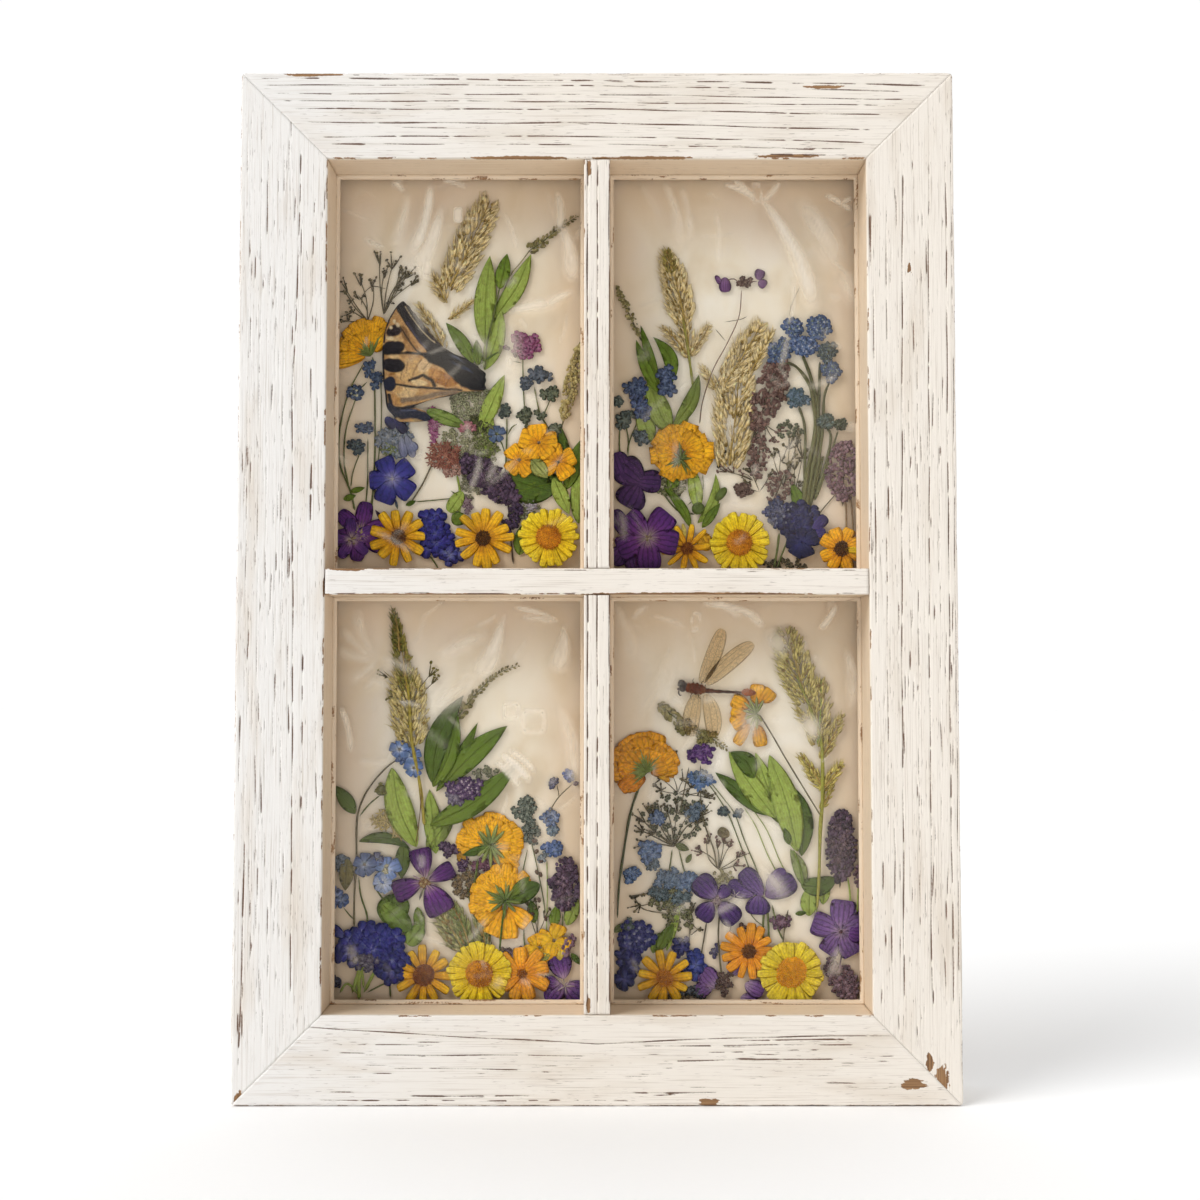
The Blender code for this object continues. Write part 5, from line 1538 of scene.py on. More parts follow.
BEDS = {}
BEDS["upper_left"] = {
    "plume": [
        (husk_plume, (-5, 39), (14, 81), 25, LOW, {"count": 300, "shape": 0.34}),
        (husk_plume, (-7, 33), (-14, 47), 9, LOW, {"count": 44, "long": 4.2}),
        (husk_plume, (-5, 25), (6.5, 34), 6, LOW, {"count": 30, "long": 3.6}),
        (husk_plume, (-8, 12), (-20, 33), 12, BEHIND - 0.3, {"count": 70, "long": 4.0}),
    ],
    "marigold": [(side_marigold, -40.5, 9.5, 16.5, 118, 160, LOW, {"count": 24})],
    "leaf_pale": [
        (leaf, (10.5, 13.5), (12.8, 53), 10, MIDDLE, PALE_GREEN, {"bend": -0.02}),
        (leaf, (10.5, 2), (18, 29), 8.4, MIDDLE + 0.5, PALE_GREEN, {"bend": 0.04}),
    ],
    "leaf_slim": [(leaf, (14.4, 25), (31, 54), 8.2, LOW, PALE_GREEN, {"bend": 0.05})],
    "blue_flower": [
        (broad_flower, -30, -46.5, 11, MIDDLE, ("#9f9fd0", "#43439c", "#34348c", "#2c2c78"),
         {"turn": 40, "width": 0.8, "pale": False}),
        (florets, (-30, -46.5), 3.4, 6, ("#e4e2f0", "#8f8fc4", "#5c5cac"), MIDDLE - 0.4, {"width": 0.18}),
    ],
    "indigo": [
        (spray_of, -11, -71, 15, 25, 15, 4.4, 5, INDIGO, LOW - 0.1, {"width": 0.8, "crown": 0.3}),
        (spray_of, -5, -80, 10, 8, 4, 4.0, 5, ("#8a8fc0", "#4a4f9c", "#34348a"), LOW - 0.2, {"width": 0.9}),
    ],
    "violet": [
        (broad_flower, -44, -70, 13.5, LOW, PURPLE, {"petals": 6, "turn": 78, "width": 0.52, "end": 0.55}),
        (broad_flower, -47.5, -73, 10, LOW - 0.3, VIOLET,
         {"petals": 5, "turn": 240, "width": 0.5, "end": 0.6}),
    ],
    "coreopsis": [(ray_flower, -27, -72, 13, 11, MIDDLE, GOLD, 3.4, ("#5a3012", "#8a5a1c"), 0.74)],
    "gold_daisy": [(ray_flower, 10.2, -72.6, 13.6, 13, MIDDLE, GOLD, 3.4, ("#4a2c10", "#7a4f18"), 0.8)],
    "lemon_daisy": [(ray_flower, 39, -72.2, 13.4, 17, HIGH, LEMON, 5.6, ("#d98f14", "#b96f0c"), 0.9, True)],
    "orange_bloom": [
        (broad_flower, 34.6, -30.4, 8.6, MIDDLE, ORANGE,
         {"petals": 5, "turn": 90, "width": 1.0, "pale": False}),
        (broad_flower, 26, -38, 8.2, MIDDLE + 0.2, ORANGE,
         {"petals": 4, "turn": 130, "width": 1.0, "pale": False}),
        (broad_flower, 43.2, -39, 8.2, MIDDLE + 0.1, ORANGE,
         {"petals": 4, "turn": 30, "width": 1.0, "pale": False}),
        (leaf, (31.5, -38), (38.5, -46), 7, MIDDLE - 0.5, ("#7e8c4a", "#a5ab62", "#8f984e")),
    ],
    "leaves_and_stalks": [
        (leaf, (17, 38), (20.4, 54), 6.4, MIDDLE + 0.2, GREEN),
        (leaf, (5.6, 5), (-6.6, 23), 6.2, MIDDLE - 0.2, GREEN, {"bend": 0.04}),
        (leaf, (7.8, 4), (7, 15.4), 4.6, MIDDLE - 0.4, GREEN),
        (leaf, (8.5, -25), (19.4, 0), 7.4, LOW, PALE_GREEN),
        (leaf, (11, -40), (13, -14), 6.4, BEHIND - 0.3, PALE_GREEN),
        (leaf, (46.5, -51), (54, -28), 7.6, BEHIND - 0.2, GREEN),
        (leaf, (47, -46), (43.6, -22), 6.4, LOW, DARK_GREEN),
        (leaf, (41, -46), (48, -62), 6.8, LOW - 0.2, PALE_GREEN),
        (leaf, (52, -66), (53.5, -38), 8.4, BEHIND, PALE_GREEN),
        (leaf, (20, -46), (41, -52), 17, LOW + 0.2, DARK_GREEN, {"foot": 0.5, "end": 0.6}),
        (leaf, (24, -52), (45, -47), 13, BEHIND - 0.4, GREEN, {"foot": 0.5, "end": 0.6}),
        (leaf, (-5, -61), (1, -52), 6.4, LOW, PALE_GREEN, {"foot": 0.4, "end": 0.5}),
        (leaf, (-4, -64), (3, -64), 6.0, LOW, GREEN, {"foot": 0.4, "end": 0.5}),
        (leaf, (26, -80), (28, -66), 7, BEHIND - 0.3, GREEN),
        (leaf, (-24, -58), (-19.5, -56), 2.2, LOW, DARK_GREEN),
        (leaf, (-48.6, -52), (-42, -50.2), 2.6, LOW, GREEN),
        (leaf, (-51.5, -55.4), (-46, -53.6), 3.0, LOW, GREEN),
        (leaf, (-33, -66), (-37.4, -60), 2.0, MIDDLE + 0.3, ("#2e2230", "#43304a")),
        (leaf, (-15, -16), (2, -23), 6, MIDDLE + 0.3, ("#7f9a45", "#8fa552", "#6b8236"),
         {"foot": 0.5, "end": 0.6}),
        (stem, [(8, 4), (13, 7.6), (17, 10)], (0.35, 0.5, 0.3), DARK_GREEN, MIDDLE - 0.6),
        (stem, [(10.6, 2), (11.6, 14), (14.4, 26), (17.2, 39)], (0.5, 0.4, 0.3), STALK, MIDDLE - 0.3),
        (stem, [(16.4, 28), (21, 43), (26, 50), (31, 56.6)], (0.3, 0.25, 0.2), OLIVE_SEED),
        (stem, [(27.4, 9), (27.6, -4), (28.6, -20), (30, -32)], (0.26, 0.3, 0.3), STALK),
        (stem, [(29.4, -46), (27.8, -56), (26.4, -62)], (0.25, 0.3), STALK),
        (stem, [(22.6, 6.2), (27, 5.4)], (0.16, 0.2), STALK),
        (stem, [(32.4, -5), (35, -17), (39, -24.6), (39.8, -33)], (0.3, 0.36, 0.4), STALK),
        (stem, [(40, -10), (37.4, -16), (35.8, -19)], (0.24, 0.3), STALK),
        (stem, [(20.4, -19), (20.4, -28), (19.8, -44)], (0.3, 0.36, 0.4), STALK),
        (stem, [(25, -21.8), (22.6, -23.4), (20.6, -27)], (0.24, 0.3), STALK),
        (stem, [(16.4, -28), (18.4, -31), (20, -37)], (0.24, 0.3), STALK),
        (stem, [(29, -18), (29.6, -24), (30, -30)], (0.24, 0.3), STALK),
        (stem, [(-43.2, 5), (-50, -9), (-53.6, -26), (-53, -40), (-48.4, -52), (-46.6, -60)],
         (0.3, 0.4, 0.5), STALK),
        (stem, [(-46, -9), (-50.6, -24), (-51.4, -38), (-49.2, -50)], (0.25, 0.35, 0.4), STALK),
        (stem, [(-41.4, -3), (-45.4, -7)], (0.25, 0.3), STALK),
        (stem, [(-38.2, 2), (-37.8, -30), (-38.6, -52), (-40, -63)], (0.35, 0.45, 0.5), STALK),
        (stem, [(-35.4, -2), (-35.2, -24), (-38, -54)], (0.22, 0.26, 0.3), STALK),
        (stem, [(-44.2, -34), (-47.4, -43), (-48.4, -50)], (0.22, 0.3), STALK),
        (stem, [(-41, -28), (-41, -46), (-41.6, -57)], (0.26, 0.34), STALK),
        (stem, [(-12.2, -39), (-17, -49), (-23, -58.6)], (0.36, 0.36, 0.3), BROWN_STALK),
        (stem, [(-20, -56.4), (-11, -55.6), (-1, -54.6)], (0.3, 0.26, 0.2), STALK),
        (stem, [(-28.6, -55), (-27.4, -60)], (0.8, 0.5), ("#3c3f70", "#4a5a3a"), MIDDLE + 0.2),
        (stem, [(-4.4, -51.4), (-1, -54.4), (-3, -60)], (0.3, 0.3, 0.4), STALK),
        (stem, [(-1.6, -44), (0, -54), (-1, -66)], (0.5, 0.6, 0.5), PALE_GREEN),
        (stem, [(21, -56), (22, -68), (23.4, -84)], (0.4, 0.45, 0.4), ("#4a3a34", "#5c4a3c")),
        (stem, [(-17, -76), (-12, -82), (-9.6, -86)], (0.3, 0.4), STALK),
        (stem, [(-39, 8), (-38.6, 1)], (0.7, 0.5), ("#6a7a48", "#7d8a8c"), LOW),
    ],
    "seed_heads": [
        (umbel, (-41.4, 24), [(-45.3, 43.5), (-39.3, 43), (-52.6, 40.4), (-50.4, 35), (-49.6, 29),
                              (-52.4, 24), (-46, 36)],
         SEED, {"radius": 0.26, "spread": 1.7}),
        (umbel, (-34.4, 27), [(-36.4, 54), (-34, 47), (-29.9, 52), (-26.6, 48.6), (-22.9, 46.8), (-19.2, 43),
                              (-26, 44.6), (-31, 33.4), (-28, 40)], SEED, {"radius": 0.28, "spread": 1.5}),
        (stem, [(-44.4, 31), (-43.4, 36), (-39.4, 39.6), (-33, 38.4)], (0.2, 0.16), SEED),
        (raceme, [(30, 55.6), (36, 59.6), (43, 65.4), (51.6, 71.2)], 0.85, 54, OLIVE_SEED, {"spread": 1.9}),
        (spike, (45.4, -20), (53, 14), 6.6, 170, ("#b3a36c", "#c9ba84", "#978850"),
         {"size": 0.8, "stalk": OLIVE_SEED}),
        (spray_of, 6, -13, 24, 17, 70, 1.5, 5, ("#c9c6ac", "#a5a886", "#8c9070"), BEHIND - 0.3,
         {"eye": SEED[:2]}),
        (spray_of, 1, -30, 22, 15, 50, 1.5, 5, ("#d3cdb4", "#a3a282", "#858a64"), BEHIND - 0.2,
         {"eye": SEED[:2]}),
        (spray_of, 12, -30, 12, 20, 34, 1.5, 5, ("#a9ab86", "#79824f", "#616b3c"), BEHIND - 0.5,
         {"eye": SEED[:2]}),
        (spray_of, 5, -48, 11, 16, 26, 1.4, 5, ("#b3ad94", "#8f8f78", "#77785c"), BEHIND - 0.2,
         {"eye": SEED[:2]}),
        (spray_of, 28, -60, 15, 13, 26, 1.5, 5, ("#a9a78c", "#85896a", "#6a7050"), BEHIND - 0.2,
         {"eye": SEED[:2]}),
        (spray_of, 8, -22, 10, 8, 20, 1.6, 5, ("#6f7048", "#4f5430", "#3f4426"), BEHIND - 0.5),
    ],
    "small_blue_flowers": [
        (spray_of, -41, 2.5, 6, 6, 4, 2.6, 5, SLATE, MIDDLE),
        (spray_of, -47, -8, 7, 7, 5, 2.8, 5, SLATE, LOW - 0.3, {"eye": ("#c8c8b0", "#8c8c74")}),
        (spray_of, -37.6, -2, 5, 8, 4, 2.2, 5, SLATE, LOW),
        (spray_of, -45.4, -31.8, 8, 7, 6, 2.6, 5, ("#6b7a78", "#4a5a68", "#3f4c56"), LOW - 0.3),
        (spray_of, -42.2, -23.4, 8, 6, 5, 2.5, 5, SLATE, LOW - 0.3),
        (spray_of, -29.5, -28.5, 18, 16, 26, 2.7, 5, ("#a9adb0", "#7f8ca0", "#66748c"), LOW - 0.2,
         {"end": 0.8}),
        (spray_of, -31, -32, 14, 12, 12, 2.4, 4, ("#8f9a72", "#7a8858", "#68764a"), LOW - 0.1,
         {"width": 0.4, "end": 1}),
        (blades, [(-24, -27), (-26, -28), (-22, -30)], [(-20.6, -37), (-24.6, -37), (-19.6, -34)], 4.2,
         ("#9aa0b8", "#7f86a8", "#6e7598"), LOW - 0.6, {"foot": 0.5, "end": 0.4}),
        (blades, [(-30, -20), (-27, -22), (-33, -19)], [(-23.6, -25), (-24, -26), (-29, -24)], 4.4,
         NAVY, LOW - 0.8, {"foot": 0.5, "end": 0.4}),
        (spray_of, 35, -0.4, 10, 7, 7, 2.5, 5, ("#7f8796", "#56606f", "#434c58"), LOW),
        (spray_of, 30, -3.8, 7, 6, 5, 2.3, 5, ("#7f8796", "#56606f", "#434c58"), LOW),
        (spray_of, 40.4, -8.6, 7, 6, 5, 2.4, 5, ("#808672", "#5b6552", "#474f42"), LOW),
        (spray_of, 19.8, -17.4, 6, 7, 5, 2.5, 5, ("#6f786c", "#4b5652", "#3c4644"), LOW),
        (spray_of, 28.8, -17.6, 6, 7, 5, 2.3, 5, ("#808672", "#5b6552", "#474f42"), LOW),
        (spray_of, 34.8, -17.8, 6, 4, 3, 2.0, 5, ("#808672", "#5b6552", "#474f42"), LOW),
        (spray_of, 30, -24.4, 4, 4, 3, 1.9, 5, ("#808672", "#5b6552"), LOW),
        (spray_of, 42, -24.6, 6, 6, 4, 2.4, 5, ("#808672", "#66705c", "#4d5648"), LOW),
        (broad_flower, 16, -26.4, 4.2, LOW - 0.1, SLATE, {"petals": 5, "width": 0.8, "pale": False}),
    ],
    "small_violet_flowers": [
        (spray_of, 28, 13, 14, 13, 17, 2.4, 5, PINK, LOW, {"width": 0.9, "eye": ("#5a2a4a", "#7a3a64")}),
        (beads, [(19.4, 12.4), (20.6, 11.6), (24, 8.8)], 1.1, ("#4a2440", "#6a3458"), LOW),
        (spray_of, -12, -22, 7, 18, 24, 2.0, 5, ("#c48fae", "#a8588a", "#8f4474"), LOW - 0.2,
         {"width": 0.45, "end": 0.9}),
        (spray_of, -6.6, -36.6, 17, 14, 44, 2.3, 6, ("#b98a78", "#a0604f", "#8a4a44"), LOW - 0.3,
         {"width": 0.3, "end": 0.9}),
        (spray_of, -3.6, -42.6, 12, 7, 9, 1.7, 5, ("#c9a79c", "#a87a6e"), LOW - 0.2),
        (spray_of, 2.6, -23, 7, 5, 9, 1.7, 5, ("#c98f9a", "#b06a7a"), LOW - 0.3),
        (spike, (1, -37), (25, -56), 14, 260, PLUM, {"size": 1.0, "depth": LOW - 0.2}),
        (spray_of, 13, -46, 20, 12, 40, 1.7, 5, ("#8a6f88", "#4c3850", "#33243a"), LOW - 0.7, {"turn": -38}),
        (spike, (20, -70), (26, -58), 7, 46, ("#3a2a44", "#4c3a5c", "#2c2034"), {"size": 1.0, "depth": LOW}),
        (spray_of, 30.6, -58.4, 6, 5, 6, 1.8, 5, ("#c8c2c8", "#9c94a8"), BEHIND - 0.5),
        (spray_of, 3, -57.6, 4, 8, 7, 1.6, 5, ("#a9929c", "#7d6676"), BEHIND - 0.5),
    ],
}
BEDS["upper_right"] = {
    "plume_pale": [
        (husk_plume, (-21.5, 24), (-29.4, 56.5), 23, LOW, {"count": 250, "shape": 0.5}),
        (husk_plume, (-20, 9), (-32, 22), 9, LOW, {"count": 50, "long": 4.2}),
        (husk_plume, (-19, 9), (-10, 23), 9, LOW, {"count": 50, "long": 4.2}),
        (husk_plume, (-19.6, 8), (-22, 30), 13, LOW + 0.2, {"count": 70, "long": 4.6}),
        (husk_plume, (-27.4, 46), (-29.4, 56.5), 9, LOW - 0.3,
         {"count": 44, "colours": ("#8f8240", "#a3944f", "#b9a962"), "long": 4.0}),
        (stem, [(-22.4, 26), (-20.4, 14), (-19, 4), (-17.4, -8)], (0.5, 0.6, 0.7), ("#a39a4c", "#8f9444"),
         LOW - 0.3),
    ],
    "plume_gold": [
        (husk_plume, (-4, -4), (14, 25), 20, LOW, {"count": 170, "shape": 0.4}),
        (husk_plume, (-2, -40), (3, 8), 30, LOW + 0.1, {"count": 300, "shape": 0.3}),
        (husk_plume, (8, 2), (18, 21), 9, LOW - 0.2, {"count": 50}),
        (husk_plume, (-8, -6), (-14, 4), 8, LOW, {"count": 36, "long": 4.4}),
    ],
    "marigold": [
        (ragged_bloom, -23.4, -34.6, 15.4, MIDDLE, {"stretch": 0.92, "hub": (0, -3)}),
    ],
    "violet_upper": [
        (blades, [(-40.4, -48), (-43.4, -47), (-42, -49)], [(-50.4, -39.4), (-32, -47.6), (-47.6, -58.6)],
         [14, 10.5, 14], ("#5a3a6e", "#4c2a66", "#41225a"), LOW,
         {"foot": 0.6, "end": 0.32, "rows": 16, "across": 9, "ruffle": 0.3, "rim": "#301842"}),
        (blades, [(-46, -50)], [(-52, -34.5)], 9, ("#5a3a6e", "#53306e", "#482660"), LOW + 0.2,
         {"foot": 0.6, "end": 0.35, "rows": 16, "across": 9, "ruffle": 0.3}),
    ],
    "violet_lower": [
        (broad_flower, -38, -72.4, 14.6, HIGH + 0.2, PURPLE, {"petals": 5, "turn": 62, "width": 0.78}),
        (blades, [(-46, -74), (-48, -76), (-45, -78)], [(-52.6, -60), (-53.6, -84), (-43, -87)], [7, 9, 9],
         ("#6b4a80", "#512c6e", "#44235e"), HIGH + 0.5,
         {"foot": 0.6, "end": 0.4, "rows": 14, "across": 7, "ruffle": 0.25}),
    ],
    "coreopsis": [
        (ray_flower, -20.6, -77, 11.4, 10, MIDDLE, GOLD, 2.8, ("#7a3f12", "#a5641c"), 0.5, False, 8.0,
         {"end": 0.4}),
    ],
    "lemon_daisy": [(ray_flower, 2.3, -74.6, 13.6, 18, HIGH, LEMON, 5.8, ("#d98f14", "#b96f0c"), 0.9, True)],
    "navy_flower": [
        (spray_of, 20, -61.6, 15, 13, 20, 3.0, 5, ("#8388a8", "#3c4470", "#2c335c"), MIDDLE,
         {"eye": ("#8f93a8", "#5c6080")}),
        (spray_of, 29.6, -66.6, 19, 19, 20, 4.6, 5, ("#3c3f80", "#20245c", "#181b48"), MIDDLE - 0.2,
         {"width": 0.9}),
        (broad_flower, 30, -74.4, 7.2, MIDDLE - 0.4, ("#33387a", "#1d2154", "#161a44"),
         {"width": 0.95, "pale": False}),
        (blades, [(33.6, -70), (34, -71)], [(40.6, -63), (40.4, -70)], [5.6, 4.6],
         ("#5a4f9c", "#3a2f7c", "#2f2768"), MIDDLE - 0.5, {"foot": 0.8, "end": 0.35}),
    ],
    "small_orange": [
        (ray_flower, 47, -77.4, 10.0, 8, HIGH, ORANGE, 3.4, ("#4a2c10", "#7a4f18"), 0.92, False, 20.0),
        (blades, [(47, -77.4)], [(56.4, -78.4)], 3.2, LEMON, HIGH - 0.3, {"foot": 0.6, "end": 0.4}),
    ],
    "heliotrope": [
        (spray_of, 26.8, 20.6, 10, 9, 18, 2.2, 5, ("#8fa0c4", "#5c7098", "#4a5c84"), MIDDLE,
         {"eye": ("#b9c2d6", "#7a8a78")}),
        (spray_of, 37.8, 21.2, 12, 11, 26, 2.2, 5, ("#8fa0c4", "#5c7098", "#4a5c84"), MIDDLE,
         {"eye": ("#b9c2d6", "#7a8a78")}),
        (spray_of, 20.6, 10.6, 11, 12, 26, 2.2, 5, ("#7f90b4", "#566a90", "#46577c"), MIDDLE,
         {"eye": ("#a9b2c6", "#6a7a68")}),
        (spray_of, 31.2, 12.6, 13, 9, 24, 2.3, 5, ("#8fa0c4", "#6078a4", "#4a5c84"), MIDDLE,
         {"eye": ("#c4cce0", "#8492b0")}),
        (spray_of, 41.6, 10.2, 9, 10, 18, 2.2, 5, ("#6f7f90", "#4f5f68", "#3f4c4c"), MIDDLE,
         {"eye": ("#8a9484", "#5c6650")}),
        (spray_of, 43, 1.2, 10, 10, 20, 2.2, 5, ("#8498b8", "#586c90", "#46567a"), MIDDLE,
         {"eye": ("#b9c2d6", "#7a8a78")}),
    ],
    "leaves_and_stalks": [
        (leaf, (-33.4, -8), (-43, 15.4), 5.0, MIDDLE, GREEN, {"bend": -0.03}),
        (leaf, (-33, -6), (-41, 22), 4.4, MIDDLE + 0.3, GREEN),
        (leaf, (-27.4, -4), (-35.4, 16.6), 6.4, MIDDLE, GREEN, {"bend": 0.16}),
        (leaf, (-28, -26), (-37.6, -2), 10.5, LOW, PALE_GREEN, {"bend": -0.03}),
        (leaf, (-36, -30), (-42, -14), 8, LOW + 0.2, PALE_GREEN),
        (leaf, (-26.4, -23), (-15.2, 0), 6.6, MIDDLE, ("#8f9f44", "#7f9040", "#6a7c34"), {"bend": 0.08}),
        (leaf, (-15.6, -60), (-18.6, -40), 6.4, LOW, PALE_GREEN),
        (leaf, (-19, -68), (-31, -50), 4.4, LOW - 0.2, GREEN, {"bend": 0.08}),
        (leaf, (-28, -52), (-25, -42), 5.6, LOW, GREEN),
        (leaf, (-16, -66), (-8, -44), 5, LOW, PALE_GREEN, {"bend": 0.14}),
        (leaf, (-14, -68), (-6, -57), 4, LOW - 0.2, GREEN),
        (leaf, (31, -62), (25.6, -48), 6, LOW + 0.2, GREEN),
        (leaf, (32, -62), (40, -36), 6.4, LOW + 0.3, ("#7c7c50", "#8a8a5c", "#74764c"), {"bend": -0.08}),
        (beads, [(-5.6, -53)], 2.3, ("#54652e", "#62743a"), LOW,
         {"stretch": 1.6, "turn": 50, "rows": 8, "ring": 10}),
        (beads, [(-15.8, -59.4)], 2.5, ("#4f612c", "#5f7238"), LOW - 0.4,
         {"stretch": 1.1, "rows": 8, "ring": 10}),
        (stem, [(-17.4, -6), (-20, -18), (-23, -30)], (0.6, 0.7), ("#8f9444", "#7d8a40")),
        (stem, [(3.8, 38), (2.6, 26), (-2.6, 14), (-9, 2), (-13.6, -12), (-15, -22)], (0.22, 0.26, 0.3),
         ("#8a6a60", "#7a6650"), LOW - 0.5),
        (stem, [(6.2, 26), (3, 24.6), (-4.4, 23.4)], (0.12, 0.18, 0.12), BROWN_STALK, LOW),
        (stem, [(-8, 20.6), (-3.4, 15)], (0.14, 0.2), BROWN_STALK, LOW),
        (stem, [(-20.6, -58), (-14, -52), (-13.6, -44)], (0.2, 0.2), STALK),
        (stem, [(-17, -62), (-25, -60), (-33, -50)], (0.3, 0.4), STALK),
        (stem, [(-50, -21), (-50.4, -30), (-50, -36)], (0.3, 0.4), STALK),
        (stem, [(-47.6, -22), (-46.4, -29), (-46.6, -36)], (0.3, 0.4), STALK),
        (stem, [(-41.4, -19), (-45, -27), (-47, -34)], (0.26, 0.34), STALK),
        (stem, [(-42.4, -56), (-41, -61)], (0.26, 0.3), PLUM),
        (stem, [(22, 6), (28, 3.4), (33.4, -4), (35.6, -14), (36, -26), (32.6, -43), (30.6, -60)],
         (0.6, 0.9, 1.0), ("#5c5c44", "#6f6f48", "#77774c"), LOW),
        (stem, [(30.6, 9), (34.6, -2), (37, -14), (37.4, -28), (34.4, -44), (31.6, -60)], (0.7, 1.0, 1.0),
         ("#55563c", "#6a6c46", "#75764a"), LOW + 0.2),
        (stem, [(38.4, 6), (38, -8), (37, -22), (33.4, -42), (31, -58)], (0.6, 0.8, 0.8),
         ("#55563c", "#6a6c46"), LOW + 0.4),
        (stem, [(42.6, -3), (40.2, -10), (39.6, -22), (37.6, -38), (33.6, -58)], (0.5, 0.7, 0.8),
         ("#5f6044", "#71734a"), LOW),
        (stem, [(29, -14), (31.6, -24), (31.4, -42), (31.4, -58)], (0.6, 0.7), ("#5f6044", "#71734a"),
         LOW + 0.3),
        (stem, [(41, -23), (43, -28), (40.6, -40), (35.4, -56)], (0.5, 0.7, 0.7), ("#5f6044", "#71734a"),
         LOW + 0.2),
        (stem, [(46.2, -25), (44, -32), (41, -42), (35.8, -56)], (0.4, 0.6), ("#5f6044", "#71734a"),
         LOW + 0.1),
        (stem, [(48, -50), (49.4, -58), (49.6, -70)], (0.4, 0.5), ("#8a6f5c", "#9a7f5c"), LOW + 0.2),
        (stem, [(50.6, -50), (52, -60), (52.6, -74)], (0.4, 0.5), ("#8a6f5c", "#9a7f5c"), LOW + 0.2),
        (stem, [(45, -53), (39, -60), (35, -66)], (0.24, 0.3), BROWN_STALK),
        (stem, [(20, -70), (19, -78), (17.6, -86)], (0.6, 0.5), STALK, LOW),
        (stem, [(25, -70), (21, -80), (19, -86)], (0.4, 0.4), STALK, LOW),
        (stem, [(30, 40), (25.6, 30), (25.4, 22)], (0.12, 0.14), BROWN_STALK),
    ],
    "seed_heads": [
        (spike, (-41.4, 17), (-51.8, 39.6), 3.4, 90, OLIVE_SEED, {"size": 0.62}),
        (umbel, (14, -22), [(9, -27), (18, -29), (13, -32), (21, -26)], BROWN_MAUVE, {"spread": 1.5}),
        (umbel, (11.4, -52), [(4.6, -47), (7, -42), (16, -44)], SEED, {"spread": 1.5}),
        (umbel, (-6.6, -42), [(-5, -36), (-3.6, -33), (-7, -39)], SEED, {"spread": 1.3}),
        (umbel, (8.6, -47), [(-5.6, -42.4), (-2, -43), (3, -43.4)], BROWN_MAUVE,
         {"seeds": 3, "spread": 1.2}),
        (umbel, (22, -50), [(21, -36), (25, -29), (28, -34), (17, -34), (29, -27)], SEED, {"spread": 1.8}),
        (umbel, (27, -52), [(27, -40), (31, -33), (24, -42)], SEED, {"spread": 1.6}),
        (umbel, (22.6, -54), [(26, -46), (30, -49)], SEED, {"spread": 1.4}),
        (spray_of, -27, -50, 14, 12, 26, 1.6, 5, ("#a9a784", "#7f825c", "#666c48"), LOW + 0.3),
        (spray_of, 22, -84, 20, 7, 22, 1.3, 5, ("#8a7f64", "#5f5844", "#4a4536"), BEHIND - 0.3),
        (spray_of, 24, -24, 12, 9, 14, 1.3, 5, ("#8d9076", "#5f6650", "#454d3c"), BEHIND - 0.3),
    ],
    "small_blue_flowers": [
        (spray_of, -42.8, -6.6, 10, 10, 12, 2.9, 5, ("#7f8fae", "#4f618a", "#3c4c70"), MIDDLE + 0.2),
        (spray_of, -29.8, -2.6, 8, 13, 12, 2.7, 5, ("#7f8fae", "#4f618a", "#38465f"), MIDDLE - 0.6),
        (spray_of, -40.4, -15.4, 9, 9, 12, 2.7, 5, ("#8194bc", "#56699a", "#3f5078"), MIDDLE),
        (spray_of, -48.4, -20, 7, 9, 9, 2.5, 5, ("#8a958c", "#5c6a66", "#444f50"), LOW),
        (spray_of, -51, -12, 5, 5, 5, 2.0, 5, ("#8a958c", "#5c6a66", "#444f50"), LOW),
        (spray_of, -41, -28, 8, 6, 7, 2.4, 5, ("#8090a0", "#55666f", "#3e4a4c"), LOW - 0.4),
        (spray_of, 28.8, -10.4, 9, 8, 15, 2.3, 5, ("#8498b0", "#5c7284", "#4c5f62"), MIDDLE),
        (spray_of, 40.6, -20.4, 8, 6, 11, 2.0, 5, ("#74868c", "#54645c", "#445044"), MIDDLE, {"turn": 20}),
        (spray_of, 46.6, -22, 6, 7, 9, 1.9, 5, ("#6c7668", "#4d5744", "#3e4736"), MIDDLE),
        (spray_of, 17, -62, 10, 8, 12, 2.1, 5, ("#9a9cbc", "#5c608c", "#45486c"), MIDDLE + 0.1),
    ],
    "small_violet_flowers": [
        (blades, [(-5.4, 43), (-3.6, 43.6), (11, 42.4), (11.4, 42)],
         [(-7.6, 42), (-3.4, 36.8), (12.6, 47), (14.6, 39.6)],
         [4.4, 5.4, 4.8, 4.4], ("#8a6a90", "#7a5488", "#6c4878"), LOW,
         {"foot": 0.5, "end": 0.3, "rim": "#5a3a66"}),
        (spray_of, 4.4, 41.6, 9, 5.6, 9, 1.5, 5, ("#9c8676", "#6e5450", "#54403c"), LOW - 0.1),
        (stem, [(-4, 41.6), (0.6, 42.8), (4.2, 39)], (0.2, 0.26), BROWN_MAUVE, LOW),
        (stem, [(11, 41.6), (7.4, 41.4), (4.2, 39)], (0.2, 0.26), BROWN_MAUVE, LOW),
        (spike, (9.6, -25), (22, 10), 13, 330, BROWN_MAUVE, {"size": 0.85, "depth": LOW}),
        (spike, (10, -46), (12, -27), 9, 110, BROWN_MAUVE, {"size": 0.8, "depth": LOW}),
        (spike, (17, -57), (23, -43), 11, 90, BROWN_MAUVE, {"size": 0.8, "depth": LOW}),
        (spray_of, 4, -51, 9, 7, 18, 1.6, 5, ("#9c857c", "#776058", "#5f4b44"), LOW + 0.2),
